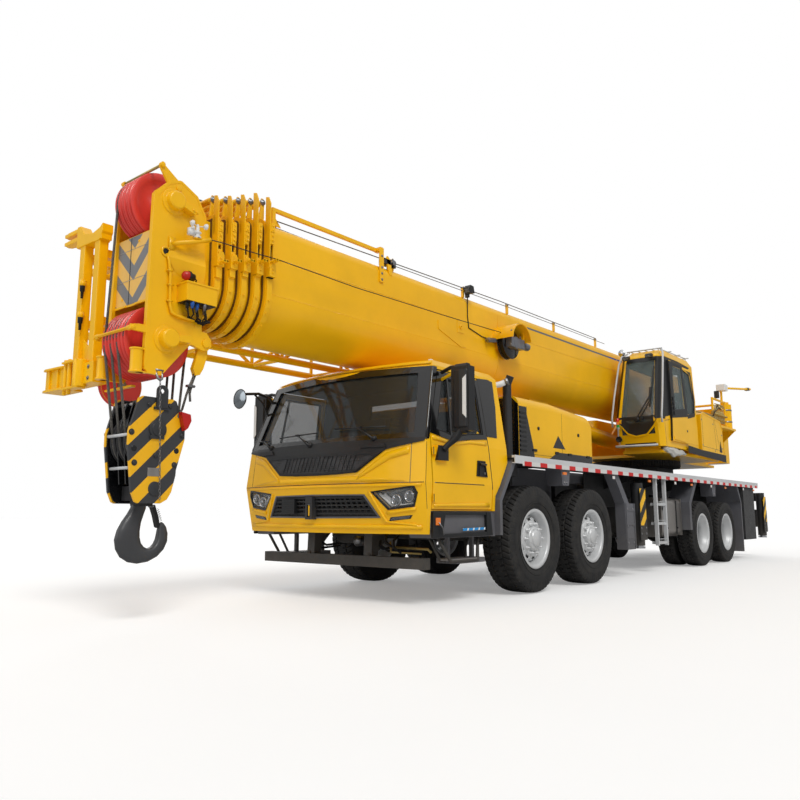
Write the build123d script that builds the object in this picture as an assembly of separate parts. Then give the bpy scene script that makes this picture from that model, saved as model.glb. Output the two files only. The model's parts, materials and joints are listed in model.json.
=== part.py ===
from build123d import *
from math import atan2, cos, degrees, hypot, radians, sin
import os

# Four-axle mobile crane: truck carrier, slewing superstructure and six-section telescopic boom.
# Millimetres. +X forward, +Y to the driver's left, +Z up, ground at Z = 0.
# Stations (X) are measured from the first axle; first_axle_x moves them so that the origin
# lies under the middle of the crane's length.

# ------------------------------------------------------------------ driving sizes
first_axle_x = 2763
seat = 0.3                      # clearance between pieces that only rest on each other
running = 0.05                  # radial clearance of a pin in its bore
far = 30000                     # reach of a cut that has to pass right through a piece

axle_stations = (0, -1460, -5790, -7140)
track_outer = 1360              # outer face of the tyres
deck_half_width = 1400
deck_bottom, deck_top = 1437, 1524
deck_front, deck_rear = 520, -9280
plate_bottom = 1497             # underside of the walkway plates
rail_depth = 40                 # the light edge rail takes this much of the half width
muffler_rear = 180

steer_tyre_radius, steer_tyre_width = 605, 385
drive_tyre_radius, drive_tyre_width = 555, 300
twin_pitch = 345
bead_radius, rim_flange_radius, rim_lip = 300, 330, 12
kingpin_y = track_outer - 360
kingpin_radius = 25

rail_inner, rail_outer = 380, 460
rail_bottom, rail_top = 760, 1060
frame_half_width = 560
frame_bottom, frame_top = 830, 1330
frame_front = -2850             # front end of the torsion box
frame_wall = 14
tail_lamp_rear = -10060

beam_width, beam_height, beam_wall = 240, 330, 12
beam_bottom = 630
beam_half_length = 1200         # its inner end, on the far side
box_reach = 1205                # end of the outrigger box
beam_reach = box_reach + 35     # outer end of a stowed outrigger beam
box_wall = 16
beam_slack = 4                  # sliding clearance round a beam
jack_y = box_reach + 100
jack_radius, jack_rod_radius = 85, 60
jack_bottom, jack_top = 430, 1330
outrigger_stations = {"front": (-3050, -3340), "rear": (-9760, -9470)}      # left beam, right beam

slew_station = -6300
ring_radius, ring_bore = 800, 600
ring_top = 1860
table_bottom, table_top = ring_top + seat, 1911
cheek_inner, cheek_outer = 461, 501

foot = (-7800, 3080)            # boom foot pin (x, z)
foot_pin_radius = 60
boom_droop = 0.53               # degrees that the resting boom dips towards the cab
boom_rear, boom_front = -7950, 3300
boom_half_width = 420
boom_bottom, boom_top = 2492, 3614      # at the collar, in the boom's own level frame
boom_corner = 110
boom_wall = 9
nest_step = 28                  # each section is this much smaller all round
section_count = 6
collar_pitch, collar_length, collar_depth = 125, 62, 32
first_tail = -7640              # rear end of the section inside the base
tail_step = 90                  # each further section starts this much further forward
shoe_length = 80

head_rear = 3868                # rear edge of the head's side plates
head_plate_inner, head_plate_outer = 280, 302
upper_sheave, upper_sheave_radius = (4200, 3520), 300
lower_sheave, lower_sheave_radius = (4212, 2312), 305
sheave_pitch = 50
rope_radius = 11
groove_depth = 26
sheave_pin_radius = 50

cylinder_foot = (-5600, 2160)
cylinder_head = (-2200, 2400)
barrel_radius, barrel_wall, piston_rod_radius = 130, 20, 90
cylinder_pin_radius = 45

block_sheave = (4175, 1480)
block_sheave_radius = 240
block_half_width = 190


# ------------------------------------------------------------------ helpers
def box(x, y, z):
    """Block between two values on each axis."""
    (x0, x1), (y0, y1), (z0, z1) = sorted(x), sorted(y), sorted(z)
    return Pos((x0 + x1) / 2, (y0 + y1) / 2, (z0 + z1) / 2) * Box(x1 - x0, y1 - y0, z1 - z0)


def side_slab(points, y0, y1):
    """Side-view outline of (x, z) points, from y0 to y1."""
    face = make_face(Polyline(*[(x, y0, z) for x, z in points], close=True))
    return extrude(face, amount=y1 - y0, dir=(0, 1, 0))


def plan_slab(points, z0, z1):
    """Plan outline of (x, y) points, from z0 to z1."""
    face = make_face(Polyline(*[(x, y, z0) for x, y in points], close=True))
    return extrude(face, amount=z1 - z0, dir=(0, 0, 1))


def front_slab(points, x0, x1):
    """Front-view outline of (y, z) points, from x0 to x1."""
    face = make_face(Polyline(*[(x0, y, z) for y, z in points], close=True))
    return extrude(face, amount=x1 - x0, dir=(1, 0, 0))


def rod(a, b, radius):
    """Round bar from point a to point b."""
    a, b = Vector(*a), Vector(*b)
    bar = Cylinder(radius, (b - a).length, align=(Align.CENTER, Align.CENTER, Align.MIN))
    return Plane(origin=a, z_dir=b - a) * bar


def pin(x, z, radius, y0, y1):
    """Round bar across the crane."""
    return rod((x, y0, z), (x, y1, z), radius)


def post(x, y, radius, z0, z1):
    """Upright round bar."""
    return rod((x, y, z0), (x, y, z1), radius)


def mirrored(shape):
    return mirror(shape, about=Plane.XZ)


def both_sides(shape):
    return [shape, mirrored(shape)]


def fused(*shapes):
    flat = [solid for shape in shapes for solid in (shape if isinstance(shape, list) else [shape])]
    return flat[0].fuse(*flat[1:])


def spun(points, x, z, y):
    """Profile of (y, r) points turned about the cross axis through (x, z); y is the profile's zero."""
    face = make_face(Polyline(*[(x, y + across, z + r) for across, r in points], close=True))
    return revolve(face, Axis((x, 0, z), (0, 1, 0)))


def save(node, *pieces):
    """Write one node's STEP file, moved so that the origin is under the middle of the crane."""
    flat = [solid for piece in pieces for part in (piece if isinstance(piece, list) else [piece])
            for solid in part.solids()]
    export_step(Pos(first_axle_x, 0, 0) * Compound(flat), f"parts/{node}.step")


# ------------------------------------------------------------------ wheels
def tyre(x, y, radius, width):
    """Solid of revolution: flat bead, bulging sides, rounded crown."""
    bead, shoulder = 0.40 * width, 0.43 * width
    z = radius

    def at(across, r):
        return (x, y + across, z + r)

    outline = [Line(at(-bead, bead_radius), at(bead, bead_radius)),
               Line(at(bead, bead_radius), at(bead, bead_radius + 34)),
               ThreePointArc(at(bead, bead_radius + 34), at(width / 2, radius - 150),
                             at(shoulder, radius - 22)),
               ThreePointArc(at(shoulder, radius - 22), at(0, radius), at(-shoulder, radius - 22)),
               ThreePointArc(at(-shoulder, radius - 22), at(-width / 2, radius - 150),
                             at(-bead, bead_radius + 34)),
               Line(at(-bead, bead_radius + 34), at(-bead, bead_radius))]
    return revolve(make_face(outline), Axis((x, 0, z), (0, 1, 0)))


def rim_barrel(x, y, z, width, disc):
    """Rim with its disc: disc is a list of (y, r) points from the barrel's outer side to its inner side."""
    seat_radius = bead_radius - seat
    edge = 0.40 * width + seat
    barrel = seat_radius - 13
    profile = [(-edge - rim_lip, rim_flange_radius), (-edge, rim_flange_radius), (-edge, seat_radius),
               (edge, seat_radius), (edge, rim_flange_radius), (edge + rim_lip, rim_flange_radius),
               (edge + rim_lip, barrel)] + disc(barrel) + [(-edge - rim_lip, barrel)]
    return spun(profile, x, z, y)


def steer_disc(barrel):
    """Outward-crowned disc, hub and closed hub cap of a steered wheel."""
    bore = spindle_radius + running
    return [(62, barrel), (118, 235), (128, 150), (150, 112), (172, 100), (172, 0.0), (132, 0.0),
            (132, bore), (-58, bore), (-58, 105), (90, 120), (104, 225), (44, barrel)]


def drive_disc(barrel):
    """Deep-set disc of the outer wheel of a pair, with the axle hub standing out of it."""
    bore = spindle_radius + running
    y = -twin_pitch / 2
    return [(y + 34, barrel), (y + 16, 235), (y + 16, 150), (y + 150, 132), (y + 176, 100), (y + 176, 0.0),
            (y + 150, 0.0), (y + 150, bore), (y, bore), (y, 240), (y + 20, barrel)]


def inner_drive_disc(barrel):
    """Disc of the inner wheel, face to face with the outer one."""
    bore = spindle_radius + running
    y = twin_pitch / 2
    return [(y - 20, barrel), (y, 240), (y, bore), (y - 90, bore), (y - 90, 120), (y - 16, 150),
            (y - 16, 235), (y - 34, barrel)]


spindle_radius = 55
steer_wheel_y = track_outer - steer_tyre_width / 2
drive_wheel_y = track_outer - (twin_pitch + drive_tyre_width) / 2


def steer_wheel(x):
    return [tyre(x, steer_wheel_y, steer_tyre_radius, steer_tyre_width),
            rim_barrel(x, steer_wheel_y, steer_tyre_radius, steer_tyre_width, steer_disc)]


def drive_wheel(x):
    outer, inner = drive_wheel_y + twin_pitch / 2, drive_wheel_y - twin_pitch / 2
    z = drive_tyre_radius
    rims = fused(rim_barrel(x, outer, z, drive_tyre_width, drive_disc),
                 rim_barrel(x, inner, z, drive_tyre_width, inner_drive_disc))
    return [tyre(x, outer, z, drive_tyre_width), tyre(x, inner, z, drive_tyre_width), rims]


# ------------------------------------------------------------------ axles
knuckle_gap = 0.3
eye_half_height, eye_radius = 62, 52


def knuckle(x):
    """Fork over the axle's eye, with its kingpin and the wheel's spindle."""
    z = steer_tyre_radius
    arm = eye_half_height + knuckle_gap
    plate_y = kingpin_y + 70
    arms = [plan_slab([(x - 42, kingpin_y - 38), (x + 42, kingpin_y - 38), (x + 55, plate_y + 18),
                       (x - 55, plate_y + 18)], z + z0, z + z0 + 30) for z0 in (arm, -arm - 30)]
    plate = box((x - 55, x + 55), (plate_y, plate_y + 18), (z - arm - 30, z + arm + 30))
    spindle = pin(x, z, spindle_radius, plate_y + 18, steer_wheel_y + 125)
    collar = pin(x, z, 90, plate_y + 18, plate_y + 26)
    return fused(plate, *arms, spindle, collar, post(x, kingpin_y, kingpin_radius - running, z - arm - 30, z + arm + 30))


def steer_axle(x):
    """Dropped forged beam with kingpin eyes and its two leaf springs."""
    z = steer_tyre_radius
    half = [(0, z - 45), (520, z - 45), (760, z - 40), (kingpin_y - 20, z - 40),
            (kingpin_y - 20, z + 40), (760, z + 40), (520, z + 35), (0, z + 35)]
    beam = front_slab(half, x - 46, x + 46)
    eye = post(x, kingpin_y, eye_radius, z - eye_half_height, z + eye_half_height)
    side = fused(beam, eye) - post(x, kingpin_y, kingpin_radius, z - 100, z + 100)
    spring_y = (rail_inner + 5, rail_outer - 5)
    reach, seat_top = 640, z + 35
    spring = side_slab([(x - reach, rail_bottom - 26), (x - reach, rail_bottom), (x - reach + 60, rail_bottom),
                        (x - 300, seat_top + 75), (x, seat_top + 62), (x + 300, seat_top + 75),
                        (x + reach - 60, rail_bottom), (x + reach, rail_bottom), (x + reach, rail_bottom - 26),
                        (x + 300, seat_top + 20), (x + 80, seat_top), (x - 80, seat_top),
                        (x - 300, seat_top + 20)], *spring_y)
    return fused(side, mirrored(side), spring, mirrored(spring))


def drive_axle(x):
    """Axle housing with its differential and spindles."""
    z = drive_tyre_radius
    inner_face = drive_wheel_y - (twin_pitch + drive_tyre_width) / 2 - 40
    housing = pin(x, z, 105, -inner_face, inner_face)
    spindles = pin(x, z, spindle_radius, -drive_wheel_y - 145, drive_wheel_y + 145)
    differential = Pos(x, 0, z) * Sphere(225)
    nose = rod((x, 0, z), (x + 330, 0, z), 95)
    return fused(housing, spindles, differential, nose)


def driveline():
    """Both drive axles on their rocking beams, and the propeller shafts."""
    a, b = axle_stations[2], axle_stations[3]
    z = drive_tyre_radius
    middle = (a + b) / 2
    rocker = side_slab([(a + 90, z - 60), (a + 90, z + 120), (middle + 140, frame_bottom),
                        (middle - 140, frame_bottom), (b - 90, z + 120), (b - 90, z - 60)],
                       frame_half_width - 100, frame_half_width - 10)
    shaft = rod((a + 300, 0, z), (-2300, 0, z), 50)
    between = rod((b + 300, 0, z), (a, 0, z), 50)
    return fused(drive_axle(a), drive_axle(b), rocker, mirrored(rocker), shaft, between)


# ------------------------------------------------------------------ chassis
def outrigger_box_span(place):
    """Front and rear faces of an outrigger box."""
    reach = beam_width / 2 + beam_slack + box_wall
    return max(outrigger_stations[place]) + reach, min(outrigger_stations[place]) - reach


def outrigger_box(place):
    """Welded box with one slot for the left beam and one for the right."""
    front, rear = outrigger_box_span(place)
    z0, z1 = beam_bottom - beam_slack - box_wall, beam_bottom + beam_height + beam_slack + box_wall
    body = box((rear, front), (-box_reach, box_reach), (z0, z1))
    for x in outrigger_stations[place]:
        half = beam_width / 2 + beam_slack
        body -= box((x - half, x + half), (-box_reach - 1, box_reach + 1),
                    (beam_bottom - seat, z1 - box_wall))
    return body


def chassis_frame():
    """Ladder rails at the front, torsion box from the front outriggers to the rear ones."""
    front_box, rear_box = outrigger_box_span("front"), outrigger_box_span("rear")
    kick = front_box[0] + 700
    rail = side_slab([(front_box[0], frame_bottom), (kick, rail_bottom), (1500, rail_bottom), (1500, rail_top),
                      (kick + 300, rail_top), (kick, frame_top), (front_box[0], frame_top)],
                     rail_inner, rail_outer)
    members = [box((x, x + 70), (-rail_inner, rail_inner), (rail_bottom + 60, rail_top - 60))
               for x in (1400, 620, -2350)]
    box_top = beam_bottom + beam_height + beam_slack + box_wall
    torsion = box((rear_box[0], front_box[1]), (-frame_half_width, frame_half_width), (frame_bottom, frame_top))
    torsion -= box((rear_box[0] - 1, front_box[1] + 1),
                   (-frame_half_width + frame_wall, frame_half_width - frame_wall),
                   (frame_bottom + frame_wall, frame_top - frame_wall))
    caps = [box((b, a), (-frame_half_width, frame_half_width), (box_top, frame_top)) for a, b in (front_box, rear_box)]
    front_link = box((front_box[0], frame_front), (-frame_half_width, frame_half_width), (frame_bottom, frame_top))
    tail = box((rear_box[1] - 60, rear_box[1]), (-frame_half_width, frame_half_width), (700, frame_top))
    lamp_arm = box((tail_lamp_rear + 70, rear_box[1] - 60), (480, 540), (1180, 1260))
    lamp_bar = box((tail_lamp_rear + 40, tail_lamp_rear + 70), (480, deck_half_width - 100), (1160, 1340))
    lamp = box((tail_lamp_rear, tail_lamp_rear + 40), (deck_half_width - 440, deck_half_width - 110), (1180, 1320))
    tail_lamps = [part for piece in (lamp_arm, lamp_bar, lamp) for part in both_sides(piece)]
    return fused(torsion, rail, mirrored(rail), *members, *caps, front_link, tail, *tail_lamps, underrun_bar())


def underrun_bar():
    """Low front bar on two uprights, which stand on the rails' ends."""
    half = cab_half_width - 156
    bar = box((1757, 1857), (-half, half), (349, 457))
    upright = side_slab([(1500, 700), (1500, 1000), (1560, 1000), (1857, 457), (1757, 457)], 420, 460)
    foot_plate = side_slab([(1400, 700), (1400, 760), (1500, 760), (1500, 700)], 420, 460)
    return fused(bar, upright, mirrored(upright), foot_plate, mirrored(foot_plate))


def deck():
    """Walkways beside the frame on gussets, with the rear lockers hung below them."""
    inner = frame_half_width
    outer = deck_half_width - rail_depth
    plate = box((deck_rear, muffler_rear - 20), (inner, outer), (plate_bottom, deck_top))
    strip = box((muffler_rear - 20, deck_front), (outer - 130, outer), (plate_bottom, deck_top))
    lip = box((deck_rear, frame_front), (inner, inner + 12), (frame_top - 60, plate_bottom))
    gussets = [front_slab([(inner + 12, frame_top - 60), (inner + 12, plate_bottom), (outer, plate_bottom)], x, x + 14)
               for x in (-3560, -4800, -6100, -6800, -8220, -9200)]
    stays = [box((x, x + 60), (rail_outer, inner + 60), (rail_top - 60, rail_top)) for x in (-700, -1900)]
    stays += [box((x, x + 60), (inner, inner + 60), (rail_top, plate_bottom)) for x in (-700, -1900)]
    locker = box((-9060, -8300), (inner + 140, outer), (380, plate_bottom))
    return fused(plate, strip, lip, *gussets, *stays, locker)


def side_rail():
    """Light channel along the deck edge, with the boarding ladder."""
    inner, outer = deck_half_width - rail_depth, deck_half_width
    rail = box((deck_rear, deck_front), (inner, outer), (deck_bottom, deck_top))
    rail -= box((deck_rear - 1, deck_front + 1), (inner - 1, outer - 8), (deck_bottom + 8, plate_bottom))
    stiles, rungs = [], []
    for x in (-3690, -4060):
        stiles.append(box((x - 22, x + 22), (inner - 50, inner), (410, deck_bottom)))
        stiles.append(box((x - 22, x + 22), (inner - 50, outer), (deck_bottom - 30, deck_bottom)))
    for z in (430, 720, 1010):
        rungs.append(box((-4060, -3690), (inner - 110, inner - 10), (z, z + 40)))
    return fused(rail, *stiles, *rungs)


# Each guard leg: front and rear outlines (x, z) from the deck down, and its inner Y.
guard_legs = [
    ([(475, plate_bottom), (785, 1035), (785, 660), (735, 660), (735, 1020), (400, plate_bottom)], 960),
    ([(-590, plate_bottom), (-650, 1225), (-810, 1225), (-870, plate_bottom)], 1150),
    ([(-2080, plate_bottom), (-2470, 1030), (-2490, 390), (-2800, 390), (-2800, 1030), (-2620, 1030),
      (-2220, plate_bottom)], 1215),
    ([(-5500, plate_bottom), (-5120, 1080), (-5120, 620), (-5215, 620), (-5215, 1050), (-5620, plate_bottom)], 1000),
    ([(-6340, plate_bottom), (-6390, 1200), (-6540, 1200), (-6590, plate_bottom)], 1150),
    ([(-7830, plate_bottom), (-8100, 1100), (-8100, 160), (-8150, 160), (-8150, 1110), (-7930, plate_bottom)], 720),
]


def mudguards():
    """Guard legs under the deck edge, the front one moulded with the cab's step panel."""
    legs = [side_slab(points, inner_y, deck_half_width - rail_depth - seat) for points, inner_y in guard_legs]
    step = side_slab([(780, 912 - seat), (1920, 912 - seat), (1920, 760), (1860, 650), (780, 650)],
                     deck_half_width - 400, deck_half_width - 110)
    tread = fused(box((940, 1450), (1010, 1260), (390, 440)), box((960, 1000), (1100, 1140), (440, 650)),
                  box((1390, 1430), (1100, 1140), (440, 650)))
    legs[0] = fused(legs[0], step, tread)
    return legs


def fuel_tank():
    """Round-cornered tank hung on the left of the frame by two brackets."""
    body = fillet(box((-5080, -4200), (640, 1220), (520, 1145)).edges().filter_by(Axis.X), 110)
    bracket = [box((x, x + 60), (frame_half_width, 660), (560, 1100)) for x in (-4900, -4450)]
    return fused(body, *bracket)


def engine():
    """Engine and transmission as one block between the rails, and the exhaust stack behind the cab."""
    block = box((-1560, -60), (-rail_inner + 20, rail_inner - 20), (800, 1640))
    case = box((-2260, -1560), (-200, 200), (430, 1000))
    mount = [box((x, x + 120), (-rail_inner, rail_inner), (850, 950)) for x in (-1300, -400)]
    stack = fused(post(280, 1170, 50, 1500, 2360), rod((280, 1170, 2360), (280, 1220, 2460), 45))
    muffler = box((muffler_rear, muffler_rear + 190), (620, 1225), (1300, 1524))
    arm = box((250, 330), (rail_outer, 620), (1400, 1480))
    leg = box((250, 330), (rail_inner, rail_outer), (rail_top, 1480))
    return fused(block, case, *mount), fused(muffler, arm, leg, stack)


def engine_hood():
    """Louvred cover over the engine: black air box in front, long cover behind, hollow below."""
    base = deck_top + seat
    outline = [(150, base), (150, 2255), (-700, 2255), (-1640, 2190), (-1750, 2020), (-1750, base)]
    cover = side_slab(outline, -1240, 1240)
    cover = fillet(cover.edges().filter_by(Axis.X).sort_by(Axis.Z)[-2:], 120)
    inner = side_slab([(x * 0.93 - 60, z if z < 1600 else z - 40) for x, z in outline], -1190, 1190)
    inner = Pos(0, 0, -5) * inner
    return cover - inner


# ------------------------------------------------------------------ driver's cab
cab_wall = 45
cab_half_width = deck_half_width - 78
# Plan sections of the cab: height, half width, corner x, nose x at the middle
cab_sections = [
    (690, cab_half_width - 32, 1950, 2130),
    (1180, cab_half_width, 2030, 2210),
    (1580, cab_half_width - 22, 1985, 2180),
    (2380, cab_half_width - 147, 1705, 1890),
    (2455, cab_half_width - 232, 1600, 1760),
]
cab_rear = 530
cab_middle = cab_rear + 600
tunnel_half_width = 480         # the floor steps up over the chassis rails


def cab_section(row, inset):
    z, half, corner, nose = row
    half, corner, nose, rear = half - inset, corner - inset, nose - inset, cab_rear + inset
    outline = [Line((rear, -half, z), (corner, -half, z)),
               ThreePointArc((corner, -half, z), (nose, 0, z), (corner, half, z)),
               Line((corner, half, z), (rear, half, z)), Line((rear, half, z), (rear, -half, z))]
    return make_face(outline)


def cab_form(inset, low, high):
    """The cab's outer shape shrunk by inset, between two heights."""
    faces = [cab_section(row, inset) for row in cab_sections]
    form = loft(faces, ruled=True)
    return form & box((-far, far), (-far, far), (low, high))


cab_side = [(cab_rear - 10, 2600), (cab_rear - 10, 1450), (800, 1070), (800, 912), (1925, 912), (1925, 1178),
            (2600, 1178), (2600, 2600)]
cab_room = [(cab_rear + cab_wall, 2410), (cab_rear + cab_wall, 1480), (860, 1120), (1960, 1120), (2400, 1300),
            (2400, 2410)]
door_outline = [(866, 930), (866, 1130), (905, 1640), (930, 2330), (1640, 2330), (1905, 1640), (1905, 930)]
door_window = [(960, 1690), (975, 2270), (1600, 2270), (1815, 1690), (1500, 1625), (1300, 1625)]
sill_half, header_half = cab_half_width - 132, cab_half_width - 242
windscreen = [(-sill_half, 1620), (sill_half, 1620), (header_half, 2330), (-header_half, 2330)]
rear_window = [(-700, 1750), (700, 1750), (700, 2250), (-700, 2250)]
door_gap = 14
door_hinge = (1908, cab_half_width + 4)
hinge_radius, hinge_heights = 10, ((1000, 1070), (1450, 1520))


def grown(points, by):
    """Closed outline moved outwards by a distance."""
    face = make_face(Polyline(*[(a, b, 0) for a, b in points], close=True))
    edges = offset(face, by, kind=Kind.INTERSECTION).face().outer_wire().order_edges()
    return [(edge.position_at(0).X, edge.position_at(0).Y) for edge in edges]


def driver_cab():
    low, high = 912, 2455
    shell = cab_form(0, low, high) & side_slab(cab_side, -far, far)
    room = cab_form(cab_wall, 1120, high - cab_wall) & side_slab(cab_room, -far, far)
    shell -= room
    shell -= box((cab_rear - 20, 1640), (-tunnel_half_width, tunnel_half_width), (900, rail_top + seat))
    skin = cab_form(-2, low, high) - cab_form(cab_wall + seat, low - 5, high + 5)
    opening = side_slab(grown(door_outline, door_gap), -far, far)
    shell -= skin & opening
    shell -= front_slab(windscreen, cab_middle, far)
    shell -= front_slab(rear_window, -far, cab_middle)
    return shell


def cab_glass():
    """Windscreen and rear pane, set in the middle of the wall."""
    pane = cab_form(14, 1500, 2400) - cab_form(21, 1400, 2500)
    front = pane & front_slab(grown(windscreen, -seat), cab_middle, far)
    rear = front_slab(grown(rear_window, -seat), cab_rear + 14, cab_rear + 21)
    return [front, rear]


# Rear-view mirror: case as (x, y, z) ranges, and its two stays as points
mirror_case = ((1600, 1705), (cab_half_width + 78, cab_half_width + 288), (1680, 2320))
mirror_foot = ((1690, 1860), (cab_half_width - 42, cab_half_width + 30), (1395, 1540))
mirror_stays = [
    ((1760, cab_half_width + 10, 1480), (1680, cab_half_width + 150, 1700)),
    ((1590, cab_half_width - 132, 2235), (1650, cab_half_width + 140, 2300)),
]
stay_radius = 17


def driver_door():
    """Left door with its hinge barrels, its mirror and its window pane."""
    inside = cab_form(cab_wall, 900, 2450)
    skin = cab_form(0, 912, 2400) - inside
    panel = skin & side_slab(door_outline, 900, far)
    panel -= side_slab(door_window, 900, far)
    x, y = door_hinge
    hinges = []
    for low, high in hinge_heights:
        hinges.append(post(x, y, hinge_radius, low, high))
        hinges.append(box((x - 42, x - 4), (y - 34, y + 3), (low, high)))
    stays = [rod(a, b, stay_radius) for a, b in mirror_stays]
    fittings = fused(box(*mirror_foot), box(*mirror_case), *stays) - inside
    panel = fused(panel, fittings, *hinges)
    pane = (cab_form(14, 1500, 2400) - cab_form(21, 1400, 2500)) & side_slab(grown(door_window, -seat), 900, far)
    return [panel, pane]


def bumper():
    """Lower fascia with lamp and grille openings."""
    form = cab_form(0, 690, 1178 - seat) - cab_form(60, 600, 1300)
    form &= box((fascia_rear + seat, far), (-far, far), (0, far))
    form -= front_slab(grille_outline, cab_middle, far)
    for lamp in both_sides(front_slab(lamp_outline, cab_middle, far)):
        form -= lamp
    return form


fascia_rear = 1925
grille_half = cab_half_width - 522
grille_outline = [(-grille_half, 850), (grille_half, 850), (grille_half - 160, 1065), (160 - grille_half, 1065)]
lamp_outline = [(cab_half_width - inset, z)
                for inset, z in ((582, 1090), (412, 930), (142, 960), (97, 1080), (127, 1137))]


def grilles():
    """Bars of the lower air intake."""
    form = cab_form(12, 700, 1175) - cab_form(48, 600, 1300)
    frame = form & front_slab(grown(grille_outline, -seat), cab_middle, far)
    low, high = grille_outline[0][1], grille_outline[2][1]
    gap = (high - low) / 6
    for bar in range(5):
        z = low + gap * (bar + 0.6)
        half = grille_outline[1][0] - 60 - (z - low) * 0.75
        frame -= box((cab_middle, far), (-half, half), (z, z + gap / 2))
    return frame


def headlamps():
    form = cab_form(6, 700, 1175) - cab_form(56, 600, 1300)
    return both_sides(form & front_slab(grown(lamp_outline, -seat), cab_middle, far))


def cab_interior():
    """Dashboard, steering wheel and two seats on the floor."""
    dash = side_slab([(1700, 1120.3), (1780, 1500), (1660, 1560), (1400, 1520), (1480, 1400), (1600, 1120.3)], -1100, 1100)
    wheel_centre, lean = (1330, 520, 1560), 32
    column = rod((1560, 520, 1350), wheel_centre, 28)
    ring = Pos(*wheel_centre) * Rot(0, -90 + lean + 28, 0) * Torus(215, 17)
    spoke = Pos(*wheel_centre) * Rot(0, -90 + lean + 28, 0) * Box(430, 40, 14)
    seats = []
    for y in (-520, 520):
        base = box((760 + 160, 1180), (y - 190, y + 190), (1120.3, 1300))
        cushion = box((900, 1300), (y - 240, y + 240), (1300, 1410))
        back = side_slab([(900, 1410), (720, 2050), (640, 2050), (760, 1410)], y - 230, y + 230)
        rear = box((760, 900), (y - 240, y + 240), (1300, 1410))
        seats.append(fused(base, cushion, rear, back))
    return [dash, fused(column, ring, spoke) - dash, *seats]


# ------------------------------------------------------------------ outriggers
def outrigger_beam(x):
    """Left outrigger beam at a station: square tube with the jack's outer tube at its end."""
    half = beam_width / 2
    z0, z1 = beam_bottom, beam_bottom + beam_height
    beam = box((x - half, x + half), (-beam_half_length, beam_reach), (z0, z1))
    beam -= box((x - half + beam_wall, x + half - beam_wall), (-beam_half_length - 1, beam_reach - beam_wall),
                (z0 + beam_wall, z1 - beam_wall))
    tube = post(x, jack_y, jack_radius, jack_bottom, jack_top)
    shoulder = box((x - 70, x + 70), (beam_reach, jack_y), (z0 - 60, z1 + 60))
    outer = jack_y + jack_radius
    cover = box((x - half, x + half), (outer - 12, outer), (510, 960))
    link = box((x - 60, x + 60), (jack_y, outer - 12), (560, 900))
    whole = fused(beam, tube, shoulder, cover, link)
    return whole - post(x, jack_y, jack_rod_radius + running, jack_bottom - 1, jack_top - 20)


def jack_rod(x):
    """Jack piston rod with its foot flange."""
    return fused(post(x, jack_y, jack_rod_radius, jack_bottom - 40, jack_top - 60),
                 post(x, jack_y, jack_radius, jack_bottom - 40, jack_bottom - 12))


# ------------------------------------------------------------------ slewing ring and superstructure
ring_teeth = 96
tooth_depth = 16


def slew_ring():
    """Pedestal on the frame and the toothed ring on top of it."""
    x = slew_station
    pedestal = post(x, 0, ring_radius - 110, frame_top, ring_top - 130)
    pedestal = pedestal & box((x - 2000, x + 2000), (-frame_half_width, frame_half_width), (0, 3000))
    flange = post(x, 0, ring_radius - 60, ring_top - 130, ring_top - 100)
    outer, root = ring_radius, ring_radius - tooth_depth
    pitch = 360 / ring_teeth
    points = []
    for tooth in range(ring_teeth):
        for share, radius in ((0.0, root), (0.28, root), (0.40, outer), (0.88, outer)):
            angle = radians((tooth + share) * pitch)
            points.append((x + radius * cos(angle), radius * sin(angle)))
    gear = plan_slab(points, ring_top - 100, ring_top)
    whole = fused(pedestal, flange, gear)
    return whole - post(x, 0, ring_bore - 100, frame_top - 1, ring_top + 1)


cheek_outline = [(-5250, table_top), (-5250, 2230), (-5500, 2330), (-6300, 2420), (-7300, 3180), (-7650, 3290),
                 (-7950, 3290), (-8130, 3120), (-8250, 2700), (-9020, 2700), (-9020, table_top)]


cabinet_outline = [(-5880, table_top), (-5880, 2640), (-6000, 2680), (-6980, 2600), (-7100, 2440), (-7100, table_top)]
cabinet_outer = 1390


def turntable():
    """Base plate, two cheeks that carry the boom foot and the luffing cylinder, and the side cabinet."""
    x = slew_station
    plan = [(-4950, -560), (-4950, 560), (-4250, 620), (-4250, 1290), (-7100, 1290), (-7100, 620),
            (-9020, 620), (-9020, -620), (-7700, -620), (-7700, -1290), (-5900, -1290), (-5900, -560)]
    base = plan_slab(plan, table_bottom, table_top)
    cheek = side_slab(cheek_outline, cheek_inner, cheek_outer)
    cheek -= pin(*foot, foot_pin_radius + running, 0, 1000)
    cheek -= pin(*cylinder_foot, cylinder_pin_radius + running, 0, 1000)
    web = box((-8170, -8130), (-cheek_inner, cheek_inner), (table_top, 2400))
    cabinet = side_slab(cabinet_outline, 620, cabinet_outer)
    hub = post(x, 0, 420, table_bottom - 200, table_bottom)
    return fused(base, cheek, mirrored(cheek), web, cabinet, hub)


def foot_pins():
    """Boom foot pin and cylinder foot pin, held by the cheeks."""
    reach = cheek_outer + 20
    return [pin(*foot, foot_pin_radius, -reach, reach), pin(*cylinder_foot, cylinder_pin_radius, -reach, reach)]


def winches():
    """Two hoist winches between the cheeks: drums with flanges, wound with rope."""
    drums = []
    for x, z, radius in ((-8760, 2440, 235), (-8420, 2130, 175)):
        half = cheek_inner
        drums.append(spun([(-half, 0), (-half, radius), (-half + 30, radius), (-half + 30, radius - 40),
                           (half - 30, radius - 40), (half - 30, radius), (half, radius), (half, 0)], x, z, 0))
    return drums


def counterweight():
    """Cast slab hung on the tail of the turntable."""
    outline = [(-9020 - seat, -850), (-9020 - seat, 850), (-9360, 850), (-9450, 700), (-9450, -700), (-9360, -850)]
    return plan_slab(outline, 1960, 2760)


shelf_rear, shelf_front, shelf_outer, shelf_top = -8450, -7110, 1270, 2600
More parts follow.
